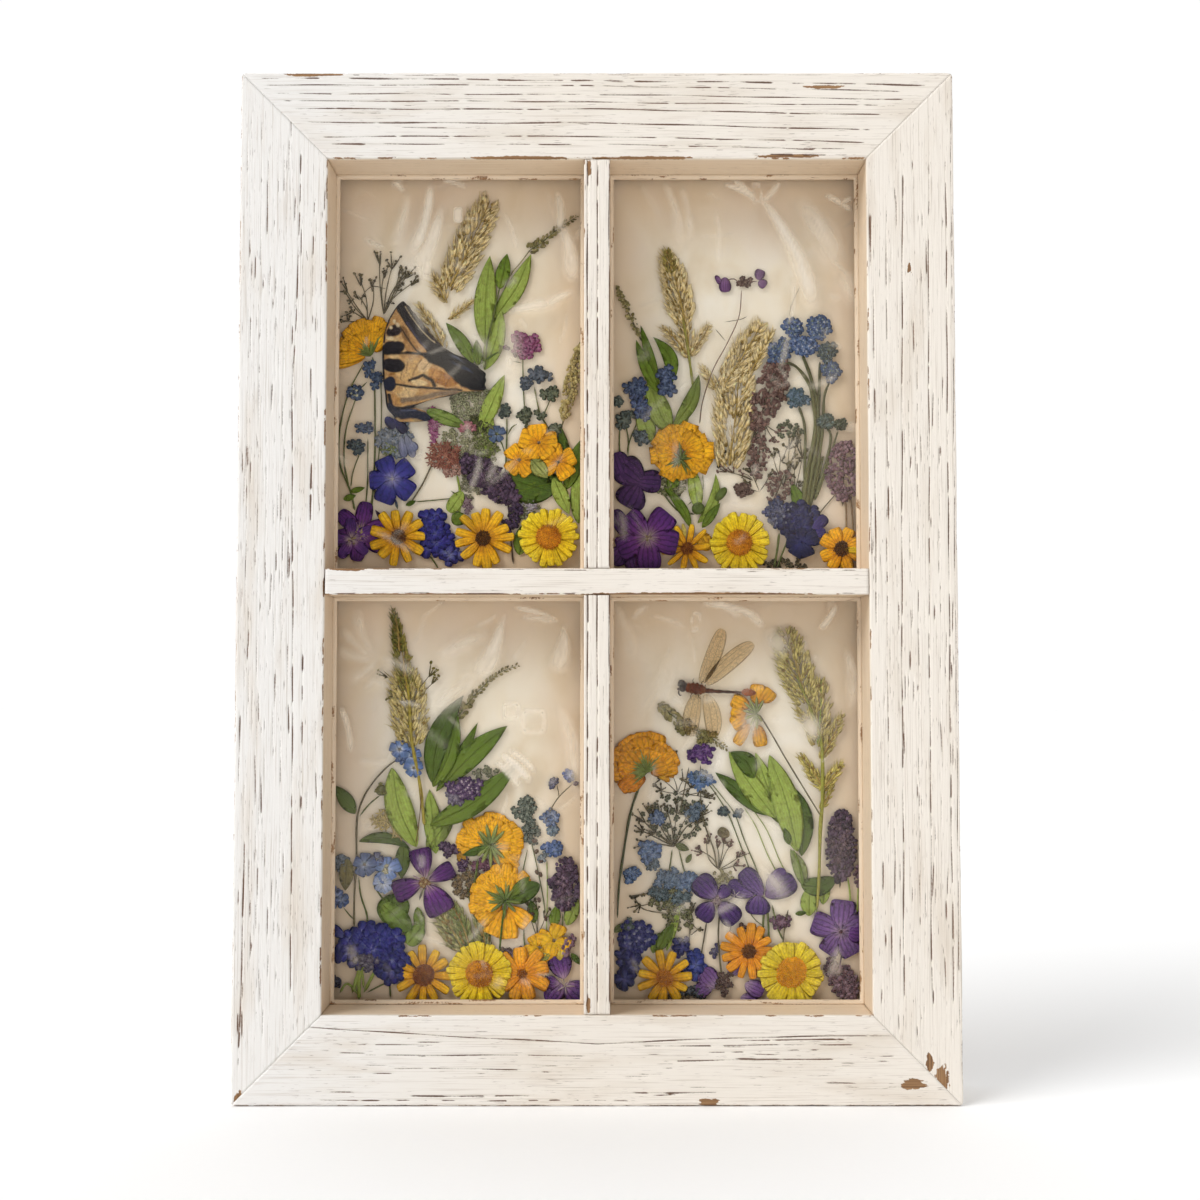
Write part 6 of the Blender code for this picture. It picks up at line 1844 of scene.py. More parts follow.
        (spike, (48, -56), (49, -30), 16, 260, ("#9a7a88", "#8a6a78", "#6e5260", "#b094a0"),
         {"size": 0.85, "depth": LOW}),
        (spray_of, 21, -5, 8, 14, 24, 1.6, 5, ("#96786c", "#73574e", "#5a443e"), LOW - 0.2),
    ],
    "small_yellow_flowers": [
        (leaf, (-11, -78), (-15, -70), 7, MIDDLE + 0.3, ("#b98a10", "#dca81c", "#c99614"),
         {"foot": 0.5, "end": 0.5}),
        (blades, [(-21.4, -72)], [(-22.6, -66)], 2.0, ("#c4b04c", "#e0d070", "#c9b050"), MIDDLE - 0.2),
    ],
}
BEDS["lower_left"] = {
    "plume": [
        (husk_plume, (-20.6, 24), (-24, 58), 27, LOW,
         {"count": 240, "shape": 0.32, "colours": ("#b3a254", "#d8c682", "#ead9a0", "#cdbc74"), "open": 44}),
        (husk_plume, (-22.6, 46), (-29, 83), 14, LOW - 0.2,
         {"count": 120, "shape": 0.7, "colours": ("#6e6c2c", "#8f8a40", "#b3a860", "#7c7a34"), "long": 4.4}),
        (husk_plume, (-26.4, 64), (-29.2, 84), 7, LOW - 0.4,
         {"count": 40, "colours": ("#55581f", "#6a6c2c", "#7c7d38"), "long": 4.0}),
        (stem, [(-23.6, 54), (-22, 44), (-20.8, 26), (-17, 6), (-15, -12)], (0.5, 0.8, 0.8),
         ("#a8983c", "#b5a44c"), LOW - 0.5),
        (umbel, (-21.6, 40), [(-11.4, 56), (-10, 52), (-33.6, 56), (-31, 46)], ("#6f6a2e", "#8c8440"),
         {"seeds": 4, "depth": LOW - 0.4}),
    ],
    "leaf_dark": [(leaf, (-12, 7), (2, 45), 10, MIDDLE, DARK_GREEN, {"bend": -0.1})],
    "leaf_broad": [(leaf, (-7, 6), (21, 31.6), 10, LOW, GREEN, {"bend": -0.03})],
    "leaf_low": [(leaf, (-12.6, -11.6), (25.4, 15), 10.5, HIGH, GREEN, {"bend": 0.06})],
    "geranium": [
        (blades, [(-14.4, -34), (-13, -35.6), (-13.6, -37), (-15.6, -36)],
         [(-17.4, -20.8), (-1.6, -29.6), (-6.2, -50.4), (-29, -41.4)],
         [10, 8, 13, 10], ("#b89ab0", "#6a3286", "#562472", "#4a1c62"), MIDDLE,
         {"foot": 0.8, "end": 0.32, "rows": 20, "across": 11, "ruffle": 0.3, "crown": 0.3, "rim": "#35124a",
          "notch": 0.06}),
        (blades, [(-14.6, -36)] * 12, [(-14.6, -29), (-10, -31), (-9, -35), (-10, -40), (-12, -42),
                                       (-17, -43), (-19, -40),
                                              (-21, -37), (-20, -33), (-17, -30), (-8.6, -37.6),
                                              (-12.6, -29.6)], 0.5,
         ("#e4dcc6", "#c9a9bd", "#8f5a9c"), MIDDLE - 0.6,
         {"rows": 5, "across": 3, "crown": 0.05, "ruffle": 0}),
        (spray_of, -14.6, -36, 5, 5, 10, 1.3, 5, ("#d8c9a0", "#a98a5c", "#8a5a4c"), MIDDLE - 0.7),
        (stem, [(-15, -38), (-17, -44)], (0.4, 0.5), ("#8a9a5a", "#6a5a6a"), MIDDLE - 0.5),
    ],
    "delphinium": [
        (spray_of, -38, -63.6, 29, 19, 30, 4.6, 5, ("#8b92d0", "#4147a4", "#2f3390", "#25287a"), MIDDLE,
         {"width": 0.85, "crown": 0.3}),
        (spray_of, -29, -70, 17, 19, 16, 4.4, 5, ("#8b92d0", "#3c4098", "#2a2d80", "#202366"), MIDDLE - 0.2,
         {"width": 0.85}),
        (spray_of, -40, -70, 12, 8, 16, 1.8, 5, ("#a9a4b4", "#6f6a84", "#4f4a64"), MIDDLE - 0.5),
        (blades, [(-51, -62), (-50, -60)], [(-52.4, -71.4), (-55.8, -54.6)], [5, 4.6],
         ("#4a4f98", "#2f3378", "#262a66"), MIDDLE),
    ],
    "coreopsis": [(ray_flower, -15, -76.4, 13.2, 12, MIDDLE, GOLD, 4.6, ("#7a3f10", "#a85f18"), 0.66)],
    "lemon_daisy": [(ray_flower, 9.4, -75.6, 14.4, 17, HIGH, LEMON, 5.8, ("#dd9514", "#a85f0c"), 0.8, True)],
    "orange_coreopsis": [
        (ray_flower, 27.8, -75.6, 12.6, 9, MIDDLE, ("#d98a14", "#ee9d1c", "#f0a828", "#eda52c"), 2.2,
         ("#b96f14", "#8a5a1c"), 0.9, False, 12.0),
    ],
    "violet": [
        (blades, [(46, -78), (46.4, -80), (44, -80)], [(43, -67), (55.4, -87), (36.4, -79.4)], [10.5, 12, 7],
         ("#b9a0c0", "#6f4690", "#54307c", "#47276c"), LOW,
         {"foot": 0.7, "end": 0.4, "rows": 18, "across": 9, "ruffle": 0.35, "rim": "#3a1f58"}),
        (blades, [(45, -80)], [(38.6, -88)], 9, ("#9a80a8", "#68428c", "#54307c"), LOW + 0.2,
         {"rows": 14, "across": 7}),
        (blades, [(46.4, -81)] * 6, [(43, -77), (49, -78), (51, -81), (47, -85), (43, -83), (45, -76)], 0.5,
         ("#e0d6c4", "#b9a0c0"), LOW - 0.5, {"rows": 5, "across": 3, "crown": 0.05}),
    ],
    "marigold_upper": [
        (side_marigold, 13.4, -20.6, 15, 66, 236, LOW, {"count": 30}),
        (leaf, (14, -21), (1.6, -24.6), 4.0, LOW - 0.8, DARK_GREEN),
        (blades, [(14, -20)] * 9, [(8, -25), (10, -28), (14, -30), (18, -29), (20, -26), (12, -11),
                                   (17, -11), (20, -14), (9, -14)],
         1.7, ("#5f7034", "#8a9a50", "#a9ae68"), LOW - 0.9, {"rows": 6, "across": 3}),
    ],
    "marigold_lower": [
        (side_marigold, 19.6, -43.6, 15, 130, 190, MIDDLE, {"count": 26}),
        (blades, [(21, -48), (21.6, -47), (19, -48)], [(22, -62), (31.4, -55), (13.6, -60)], [9, 8, 8],
         ORANGE, MIDDLE, {"foot": 0.6, "end": 0.3, "notch": 0.1, "rows": 12, "across": 7}),
        (leaf, (22, -44), (35.4, -37), 8.6, MIDDLE - 0.5, DARK_GREEN,
         {"foot": 0.5, "end": 0.6, "ruffle": 0.35}),
        (leaf, (23, -42), (31, -33.6), 4.6, MIDDLE - 0.6, GREEN),
        (blades, [(20.4, -44)] * 10, [(12, -40), (13, -45), (14, -49), (20, -52), (18, -38), (24, -39),
                                      (25, -49), (16, -37), (22, -37), (27, -45)],
         1.5, ("#4f622c", "#6f8240", "#8f9a54"), MIDDLE - 0.8, {"rows": 6, "across": 3}),
        (stem, [(20.4, -45), (19, -55), (18, -66)], (0.45, 0.5), DARK_GREEN, MIDDLE - 0.7),
    ],
    "leaves_and_stalks": [
        (leaf, (-11.4, 5), (-0.6, 36.4), 8.4, MIDDLE + 0.3, GREEN, {"bend": 0.05}),
        (leaf, (-10, 3), (8, 33), 5.4, LOW + 0.3, GREEN, {"bend": 0.03}),
        (leaf, (-18.4, -21), (-29.4, 13.4), 12, MIDDLE + 0.2, PALE_GREEN, {"bend": -0.06, "end": 0.8}),
        (leaf, (-10, -24), (-13, 4), 8, LOW + 0.2, PALE_GREEN),
        (leaf, (-14, -22), (-2, -6), 8, LOW + 0.2, ("#8d9a4c", "#7c8c40", "#6e7e38")),
        (leaf, (-45.2, -6.6), (-54, 5.6), 6.6, LOW, DARK_GREEN),
        (leaf, (-43.6, -18.6), (-21, -22), 5.0, LOW, DARK_GREEN, {"bend": -0.14}),
        (leaf, (-24, -19.4), (-25, -35), 6.6, LOW + 0.2, ("#66772c", "#566a26", "#4c5e24")),
        (leaf, (-48.6, -26), (-49.4, -40), 6.6, LOW - 0.2, ("#6e6a3a", "#7c7440", "#5f5a30")),
        (leaf, (-34.4, -51.4), (-22, -44), 13, LOW - 0.2, ("#7f9a3c", "#6f8a34", "#5c742c"),
         {"foot": 0.4, "end": 0.5, "ruffle": 0.5}),
        (leaf, (-33, -46), (-21, -57), 10, LOW - 0.4, ("#8aa244", "#74903a", "#5c742c"),
         {"foot": 0.4, "end": 0.5, "ruffle": 0.5}),
        (leaf, (-22.4, -63), (-15.4, -55), 8, LOW - 0.2, ("#8aa048", "#74903a"),
         {"foot": 0.4, "end": 0.5, "ruffle": 0.4}),
        (leaf, (-18, -47), (-16, -60), 5, LOW, GREEN),
        (leaf, (47, -55), (52, -43), 6, LOW + 0.2, PALE_GREEN),
        (leaf, (41, -56), (43, -46), 5, LOW, GREEN),
        (leaf, (49, -67), (53.4, -72), 2.8, LOW, DARK_GREEN),
        (leaf, (33, -54), (31.4, -44), 5, LOW + 0.3, DARK_GREEN),
        (leaf, (3, -27), (-1, -24), 4, LOW, ("#c99a2c", "#a97c20")),
        (leaf, (-53.6, -77), (-51.4, -82), 4, LOW, ("#4a4a5c", "#2c2e44")),
        (stem, [(-25.6, 18), (-32.4, 12.8), (-39.4, 4.4), (-43.4, -4), (-44.6, -12), (-44.6, -26),
                (-45.4, -42), (-45.4, -56)],
         (0.3, 0.42, 0.5, 0.45), BROWN_STALK, LOW + 0.2),
        (stem, [(-34.4, 1.4), (-39, -2.4), (-43.6, -8)], (0.3, 0.35), STALK, LOW + 0.3),
        (beads, [(-34, 3.6)], 2.5, ("#5a5c34", "#6e6c3c"), LOW, {"stretch": 1.0, "rows": 7, "ring": 9}),
        (spray_of, -34, 3.6, 5, 5, 9, 1.2, 5, ("#8d8a50", "#6a6a3c"), LOW - 0.8),
        (stem, [(-43.6, -34), (-42.6, -42), (-40, -50), (-39.4, -56)], (0.35, 0.5), STALK, LOW + 0.2),
        (stem, [(-50.4, -47), (-47.6, -50.6), (-45.4, -52.6)], (0.22, 0.3), STALK),
        (stem, [(-37.4, -37), (-34, -42), (-31, -46)], (0.5, 0.3), STALK, LOW - 0.2),
        (stem, [(-46, -84), (-43, -74), (-41, -66)], (1.0, 0.9, 0.7), PALE_GREEN, LOW - 0.3),
        (stem, [(-43, -87), (-42.6, -76), (-36, -66)], (0.9, 0.9, 0.7), PALE_GREEN, LOW - 0.4),
        (stem, [(-41, -84), (-37, -76), (-33, -70)], (0.8, 0.8, 0.6), PALE_GREEN, LOW - 0.3),
        (stem, [(-42, -86), (-48, -80), (-51.4, -84)], (0.6, 0.5), PALE_GREEN, LOW - 0.2),
        (stem, [(-40, -84), (-32, -80), (-27, -79)], (0.4, 0.3), STALK, LOW - 0.2),
        (stem, [(-41, -82), (-42, -74), (-46, -68)], (0.5, 0.5), PALE_GREEN, LOW - 0.4),
        (stem, [(-30, -78), (-29.4, -86.6)], (0.5, 0.4), STALK),
        (stem, [(8.4, -26), (7.4, -34), (6, -40)], (0.6, 0.5), STALK, LOW),
        (stem, [(3, -30), (4, -40), (8, -56)], (0.4, 0.5), STALK),
        (stem, [(49.6, 6.4), (43.6, 0.6), (40, -5), (37.4, -10.6)], (0.22, 0.26, 0.26), BROWN_STALK, LOW),
        (stem, [(42.4, 7), (43.4, 3), (43.6, 0.6)], (0.18, 0.2), BROWN_STALK, LOW),
        (stem, [(31.4, -18), (34.4, -31), (36.6, -42), (37.8, -50)], (0.24, 0.28), STALK),
        (stem, [(30, -22), (27.4, -34)], (0.24, 0.3), STALK),
        (stem, [(38.4, -27), (38.6, -42), (38.2, -60)], (0.24, 0.26), PALE_GREEN),
        (stem, [(45.4, -50), (45.2, -58), (45.2, -66)], (0.3, 0.3), STALK),
        (stem, [(28.4, -54), (28.6, -62), (30, -68)], (0.34, 0.4), STALK),
        (stem, [(-16.4, 3), (-17, -8), (-18.6, -20)], (0.2, 0.26), ("#8a6a3a", "#7a5c3c"), MIDDLE - 0.5),
    ],
    "seed_heads": [
        (raceme, [(-1.6, 34.6), (4, 42), (10, 48.6), (17, 54.6), (25.4, 58)], 0.95, 46, OLIVE_SEED,
         {"spread": 1.7}),
        (spray_of, -33, -9.6, 12, 10, 12, 2.8, 5, ("#e0cf98", "#d8c488", "#c9b46e"), LOW,
         {"width": 0.3, "end": 0.9}),
        (spray_of, -26, -14.6, 9, 5, 7, 2.6, 5, ("#e0cf98", "#d8c488", "#c9b46e"), LOW,
         {"width": 0.3, "end": 0.9}),
        (spray_of, 12, 10, 12, 9, 18, 1.3, 5, ("#b9b89c", "#8a8c74", "#6a6e58"), BEHIND - 0.3),
        (spray_of, 29, -4.6, 10, 12, 18, 1.7, 5, ("#a9b0a4", "#6f7a70", "#3f4a44"), BEHIND - 0.4),
        (spray_of, 31.6, -14, 9, 12, 16, 1.7, 5, ("#9aa298", "#66706a", "#3f4a44"), BEHIND - 0.4),
        (beads, [(33, -18.4), (33.8, -23), (36, -27), (34, -32), (35.6, -33), (32, -50), (38, -52),
                 (35, -44)], 1.0,
         ("#5a4038", "#7a6a5c", "#3f3030"), LOW),
        (umbel, (34, -60), [(31, -50), (34, -46), (38, -50), (30, -44)], SEED, {"spread": 1.5, "seeds": 4}),
        (husk_plume, (2, -65), (-10, -47), 16, LOW,
         {"count": 120, "colours": ("#6f7a3c", "#93985a", "#c4bd8c", "#a9a670"), "long": 6, "open": 30}),
        (husk_plume, (5, -64), (-3, -45), 12, LOW - 0.2,
         {"count": 80, "colours": ("#5f6c34", "#7c8a48", "#b3ae7c"), "long": 6.4, "open": 26}),
        (husk_plume, (12, -68), (8, -46), 12, LOW + 0.1,
         {"count": 80, "colours": ("#66703a", "#8f945a", "#cfc8a0"), "long": 6.4, "open": 24}),
        (spray_of, 4, -36, 16, 16, 34, 1.5, 5, ("#a8926c", "#7d6b52", "#5c4c40"), BEHIND - 0.3),
        (spray_of, 22, -70, 16, 12, 24, 1.5, 5, ("#b0a08a", "#8a7a70", "#6a5c5a"), BEHIND - 0.2),
    ],
    "small_blue_flowers": [
        (broad_flower, -26, 21.4, 4.4, LOW - 0.3, FORGET, {"width": 0.85, "pale": False}),
        (broad_flower, -20.6, 18.6, 4.2, LOW - 0.4, FORGET, {"width": 0.85, "pale": False}),
        (broad_flower, -19.8, 13.4, 4.4, LOW - 0.5, FORGET, {"width": 0.85, "pale": False}),
        (spray_of, -23, 18, 9, 7, 8, 2.2, 5, ("#9fb0d6", "#5c74a8", "#4a5f90"), LOW - 0.2),
        (spray_of, -51.6, -28, 8, 7, 9, 2.6, 5, ("#9aa8b8", "#6a7f98", "#56697c"), LOW + 0.1),
        (broad_flower, -41, -28.6, 5.4, LOW - 0.2, ("#b0bcd0", "#7184b0", "#5c70a0", "#4c5f8c"),
         {"width": 0.9, "pale": False}),
        (broad_flower, -35.6, -26.6, 3.4, LOW - 0.3, ("#8a90a8", "#565c80", "#40456a"),
         {"width": 0.9, "pale": False}),
        (broad_flower, -31.4, -30.8, 6.4, LOW - 0.4, ("#d0dcee", "#86a0d4", "#6c88c4", "#5c78b4"),
         {"width": 0.9, "pale": False}),
        (broad_flower, -33, -36.4, 4.6, LOW - 0.5, ("#dfe6f2", "#aebde0", "#8c9fcc"),
         {"width": 0.95, "pale": False}),
        (spray_of, -31.4, -30.6, 3, 3, 3, 1.2, 5, ("#e8e4c8", "#c9c4a0"), LOW - 0.9),
        (spray_of, -53, -43.6, 8, 10, 9, 3.0, 5, ("#9fb0d6", "#5f78b0", "#4c6296"), LOW),
        (spray_of, 47.4, 10.4, 5.6, 6, 6, 2.3, 5, ("#a9b4d8", "#6478b4", "#54669c"), LOW),
        (spray_of, 41.2, 6.8, 4, 5, 4, 2.0, 5, ("#8f90a8", "#5f6488", "#4c4f6c"), LOW),
        (beads, [(51, 6.6)], 1.1, ("#5c4058", "#4a3048"), LOW),
        (spray_of, 40.6, -8.4, 9, 8, 8, 2.3, 5, ("#a4b0cc", "#6c7fa8", "#56688c"), LOW),
        (spray_of, 41, -13, 5, 5, 5, 2.0, 5, ("#a9b6c4", "#7c90a4", "#66788c"), LOW),
        (spray_of, 41, -22, 8, 7, 10, 2.6, 5, ("#9fb0d6", "#6079ac", "#4c6296"), LOW - 0.1),
        (spray_of, 37, -25.6, 4, 4, 4, 1.8, 5, ("#9fa8b0", "#6a7680"), LOW),
        (broad_flower, -54, -79, 3, LOW, ("#8a90a0", "#3c4058", "#2a2e48"),
         {"petals": 4, "width": 0.7, "pale": False}),
    ],
    "small_violet_flowers": [
        (spray_of, 2.4, 4.6, 17, 10, 34, 2.2, 5, ("#a58ab0", "#5c4470", "#3c2a4c"), HIGH - 0.3,
         {"eye": ("#d8c8d4", "#8a6a90")}),
        (spray_of, -1.6, 0.4, 8, 8, 10, 2.0, 5, ("#b9b0bc", "#8a8298", "#5c5070"), HIGH - 0.2),
        (spike, (46, -48), (46.6, -26), 13, 230, PLUM, {"size": 1.0, "depth": LOW - 0.1}),
        (spray_of, 45.6, -38, 11, 20, 34, 1.7, 5, ("#a48ca0", "#5f4860", "#3f2c42"), LOW - 0.6),
        (spike, (46, -68), (49.6, -59), 4.4, 34, ("#8a6a80", "#6e4f66", "#a08898"),
         {"size": 0.9, "depth": LOW}),
        (spray_of, 23.6, -68, 10, 8, 18, 1.7, 5, ("#b4a2ac", "#86707e", "#6a5562"), LOW),
        (spray_of, -4.6, -22, 8, 7, 10, 2.0, 5, ("#8f7a94", "#584060", "#3c2a44"), LOW),
        (spray_of, 12.6, -29, 14, 7, 18, 1.8, 5, ("#a07a8c", "#7a5064", "#5c3a4c"), LOW + 0.1),
        (spray_of, 2, -28.6, 6, 5, 8, 1.8, 5, ("#8f7a94", "#584060", "#3c2a44"), LOW + 0.2),
    ],
    "small_yellow_flowers": [
        (broad_flower, 35.4, -64.4, 7, LOW, ("#c9a010", "#e8b81c", "#e6a818"),
         {"petals": 4, "turn": 120, "width": 1.1, "pale": False}),
        (broad_flower, 41.6, -61.4, 7, LOW - 0.3, ("#c9a010", "#e8bc20", "#e6ac1c"),
         {"petals": 4, "turn": 70, "width": 1.0, "pale": False}),
        (leaf, (44, -70), (44.4, -62), 4, LOW - 0.4, ("#c9b44c", "#dcc452", "#b9a43c")),
        (leaf, (36, -70), (40, -66), 3.4, LOW - 0.5, ("#a4a850", "#8f9a48")),
    ],
}
BEDS["lower_right"] = {
    "orange_bloom": [
        (blades, [(9.6, 41), (12, 42), (6.4, 39.8), (5, 36.6), (5, 35.6), (6.4, 32.6), (10, 32)],
         [(10.4, 50.4), (16.6, 47.6), (-1.6, 43.6), (-1.8, 39), (-1.6, 31.6), (0.2, 23), (11.6, 22)],
         [7, 7, 7, 6, 7, 5, 6.4], ORANGE, LOW, {"foot": 0.5, "end": 0.3, "ruffle": 0.3, "notch": 0.06}),
        (blades, [(9.6, 37)] * 9, [(4, 42), (3.4, 38.4), (4, 34.6), (6.6, 31.6), (9.6, 30), (12.6, 43),
                                   (9.6, 44.4), (6.4, 43.4), (12, 33.4)],
         1.3, ("#5f7034", "#8fa058", "#b5b878"), LOW - 0.7, {"rows": 6, "across": 3}),
    ],
    "marigold": [
        (side_marigold, -39, 13, 16, 128, 110, LOW,
         {"count": 9, "colours": ("#a8660c", "#d98f10", "#e5a01a", "#e0981a")}),
        (side_marigold, -39, 12, 15.5, 40, 60, LOW - 0.1,
         {"count": 6, "colours": ("#a8660c", "#d98f10", "#e5a01a", "#e0981a")}),
        (side_marigold, -39, 12, 13.6, 196, 60, LOW,
         {"count": 6, "colours": ("#8a4c0c", "#c47410", "#d98a14", "#d08014")}),
        (blades, [(-37, 13)] * 4, [(-26.4, 13.4), (-26.4, 9.6), (-28.4, 7.4), (-25.6, 17)], [4, 3, 3, 4],
         ("#c9951c", "#e0ac34", "#c98a1c"), LOW + 0.1, {"foot": 0.5, "end": 0.4}),
    ],
    "plume": [
        (husk_plume, (31, 42), (21.6, 76), 25, MIDDLE,
         {"count": 260, "shape": 0.34, "colours": ("#a89c4c", "#c9bc70", "#dfd290", "#bcb05e"), "open": 42,
          "long": 4.6}),
        (husk_plume, (36, 24), (38, 54), 19, MIDDLE + 0.2,
         {"count": 130, "shape": 0.5, "colours": ("#b3a65a", "#d4c680", "#e6d8a0"), "axis": PALE_GREEN}),
        (husk_plume, (36.6, 27), (26, 40), 9, MIDDLE,
         {"count": 50, "colours": ("#b3a65a", "#d4c680", "#e6d8a0"), "long": 4.2}),
        (husk_plume, (38, 18), (47.6, 38), 10, MIDDLE,
         {"count": 60, "colours": ("#b3a65a", "#d4c680", "#e6d8a0"), "long": 4.2}),
        (husk_plume, (38, 5), (28, 20), 10, MIDDLE - 0.1,
         {"count": 60, "colours": ("#b5aa50", "#d6c874", "#e6d890"), "long": 4.4}),
        (husk_plume, (38, 4), (47, 16), 9, MIDDLE - 0.1,
         {"count": 56, "colours": ("#b5aa50", "#d6c874", "#e6d890"), "long": 4.4}),
        (husk_plume, (37.6, -4), (43, 7), 6, MIDDLE,
         {"count": 24, "colours": ("#a8a04c", "#c9bc6e"), "long": 4.0}),
        (stem, [(27, 54), (30.6, 45), (35.4, 33), (38, 22), (38, 0), (37, -14), (36.4, -32), (35.4, -48)],
         (0.4, 0.7, 0.9, 0.6), ("#8c8f3c", "#a3a448", "#aaa64c"), MIDDLE - 0.4),
    ],
    "leaf_pale": [(leaf, (27, -23), (15, 19), 12, MIDDLE, PALE_GREEN, {"bend": 0.03, "end": 0.85})],
    "violet_left": [
        (blades, [(-8.4, -43), (-10, -45), (-7, -45), (-7, -43)],
         [(-17, -34.4), (-15.4, -52.4), (0.6, -53.6), (-3, -38)], [11, 9, 10, 6],
         ("#9a86a8", "#52307a", "#43256c", "#371c58"), MIDDLE,
         {"foot": 0.6, "end": 0.32, "rows": 16, "across": 9, "ruffle": 0.3, "rim": "#2a1444"}),
        (spray_of, -8, -44.4, 4, 3, 8, 1.2, 5, ("#c9b8b0", "#8a7488"), MIDDLE - 0.6),
    ],
    "violet_middle": [
        (blades, [(12, -42), (13, -42.4), (10, -42), (8, -42)],
         [(3, -31), (26, -35), (9.6, -50.4), (-3.4, -37.4)], [9, 10.5, 11, 8],
         ("#7a5f96", "#5b3a88", "#4c2c78", "#3f2468"), LOW,
         {"foot": 0.6, "end": 0.32, "rows": 16, "across": 9, "ruffle": 0.3, "rim": "#301a50"}),
        (blades, [(14, -40)], [(21.4, -30.4)], 7, ("#6a4f8c", "#553484", "#472a72"), LOW - 0.2,
         {"rows": 14, "across": 7}),
        (blades, [(0, -42)] * 5, [(-4, -41), (-3, -44), (3, -43), (2, -40), (-1, -39)], 0.5,
         ("#d8ccd0", "#9a86a8"), LOW - 0.5, {"rows": 5, "across": 3, "crown": 0.05}),
    ],
    "violet_right": [
        (broad_flower, 45.6, -57.6, 13.4, LOW - 0.1, ("#a891b4", "#7b5a9c", "#6a498c", "#553674"),
         {"petals": 5, "turn": 84, "width": 0.78, "pale": False}),
        (blades, [(49, -57.8)], [(55.8, -59)], 8.4, ("#6a3a90", "#532478", "#431c66"), LOW - 0.4,
         {"rows": 14, "across": 7, "foot": 0.5}),
        (florets, (45.6, -57.6), 4.0, 9, ("#cbb8c8", "#8f74a4", "#6a498c"), LOW - 0.6, {"width": 0.16}),
        (beads, [(45.6, -57.6)], 0.8, ("#5c3a4c", "#6a4c5a"), LOW - 0.7),
    ],
    "coreopsis": [(ray_flower, -31, -77.4, 12.4, 11, MIDDLE, GOLD, 3.4, ("#c4761c", "#e09a30"), 0.72, False,
                   4.0)],
    "orange_coreopsis": [(ray_flower, 5.6, -66, 12.4, 13, MIDDLE,
                          ("#c96f10", "#ec951c", "#f0a224", "#eda02a"), 3.2, ("#5f3410", "#8f5a20"), 0.86)],
    "lemon_daisy": [(ray_flower, 24, -75, 14.6, 16, HIGH, ("#b8900c", "#e0c624", "#ecd634", "#eed84c"), 6.4,
                     ("#d9920f", "#e0a824"), 0.9, True)],
    "indigo": [
        (spray_of, -42.6, -60, 18, 14, 18, 3.6, 5, ("#7a80b8", "#353a86", "#272b6c"), LOW - 0.1,
         {"eye": ("#a8acc8", "#5c60a0")}),
        (spray_of, -46, -70, 11, 16, 11, 3.8, 5, ("#6b6fae", "#2c2f7a", "#202360"), LOW - 0.2),
        (spray_of, -49, -78, 8, 8, 4, 4.0, 5, ("#5a5ea0", "#2a2d74", "#1d2058"), LOW - 0.2),
    ],
    "leaves_and_stalks": [
        (leaf, (17.6, -8.4), (-2.8, 20.6), 9.6, MIDDLE + 0.2, PALE_GREEN, {"bend": -0.02}),
        (leaf, (18, -7), (9, 20), 7.6, MIDDLE + 0.5, PALE_GREEN),
        (leaf, (14.6, -7.4), (-8.6, 11.4), 7.2, MIDDLE + 0.4, DARK_GREEN),
        (leaf, (8.4, 9), (-2, 20.4), 8.4, MIDDLE - 0.2, DARK_GREEN, {"bend": 0.14}),
        (leaf, (29, -25), (20.6, 8.6), 9.6, LOW, DARK_GREEN, {"bend": 0.12}),
        (leaf, (22, -12), (9, 6), 6, LOW + 0.3, GREEN),
        (leaf, (23.6, -20), (21.4, -12.6), 3.4, MIDDLE - 0.3, DARK_GREEN),
        (leaf, (28.6, -37.6), (43.8, -35), 8.4, LOW, DARK_GREEN, {"bend": 0.12, "foot": 0.5, "end": 0.6}),
        (leaf, (32, -51), (32, -38), 7.4, LOW + 0.2, PALE_GREEN),
        (leaf, (30, -38), (24, -22), 6.0, LOW + 0.3, ("#8f9c60", "#9caa6c", "#8a985c"), {"bend": 0.06}),
        (leaf, (38, -46), (40, -34), 5, BEHIND - 0.2, PALE_GREEN),
        (leaf, (-7.4, -13.6), (-2.6, -16.4), 4.6, LOW, ("#6a6248", "#84785c"), {"foot": 0.4, "end": 0.5}),
        (leaf, (-21.4, -28), (-19, -24), 2.4, LOW, STALK),
        (leaf, (-26, -20), (-20, -22.4), 3.4, LOW, STALK),
        (leaf, (-53, -58), (-48, -54), 3, BEHIND - 0.2, STALK),
        (stem, [(10.8, 36.6), (16.4, 27.4), (22, 17.6), (29, 6), (34.6, -3.2), (37.2, -7.4)],
         (0.32, 0.34, 0.3), BROWN_STALK, MIDDLE - 0.6),
        (stem, [(-39, 12), (-42.6, 3), (-46, -8), (-49, -26), (-50.6, -38), (-51.4, -52)],
         (0.5, 0.6, 0.6, 0.4), ("#5f6648", "#4f5638", "#5c6342"), LOW + 0.2),
        (stem, [(25.4, -22), (28.6, -31), (29.6, -38)], (0.6, 0.7), GREEN, LOW - 0.2),
        (stem, [(-15, 15), (-15, 2), (-13.6, -10), (-9.4, -22), (-8, -30)], (0.26, 0.32, 0.4), BROWN_STALK,
         LOW + 0.3),
        (stem, [(-20, 14), (-22, 4), (-24, -6)], (0.22, 0.3), BROWN_STALK, LOW + 0.3),
        (stem, [(-10.6, 7), (-5, 0), (0, -7), (4, -18), (9, -30), (11, -36)], (0.22, 0.26, 0.3), STALK),
        (stem, [(-12, 7), (-7, 0), (-2.4, -8), (3, -22), (7.4, -34)], (0.22, 0.26, 0.3), STALK),
        (stem, [(4, -4), (9, -12), (14, -24), (18, -32)], (0.2, 0.24), PALE_GREEN),
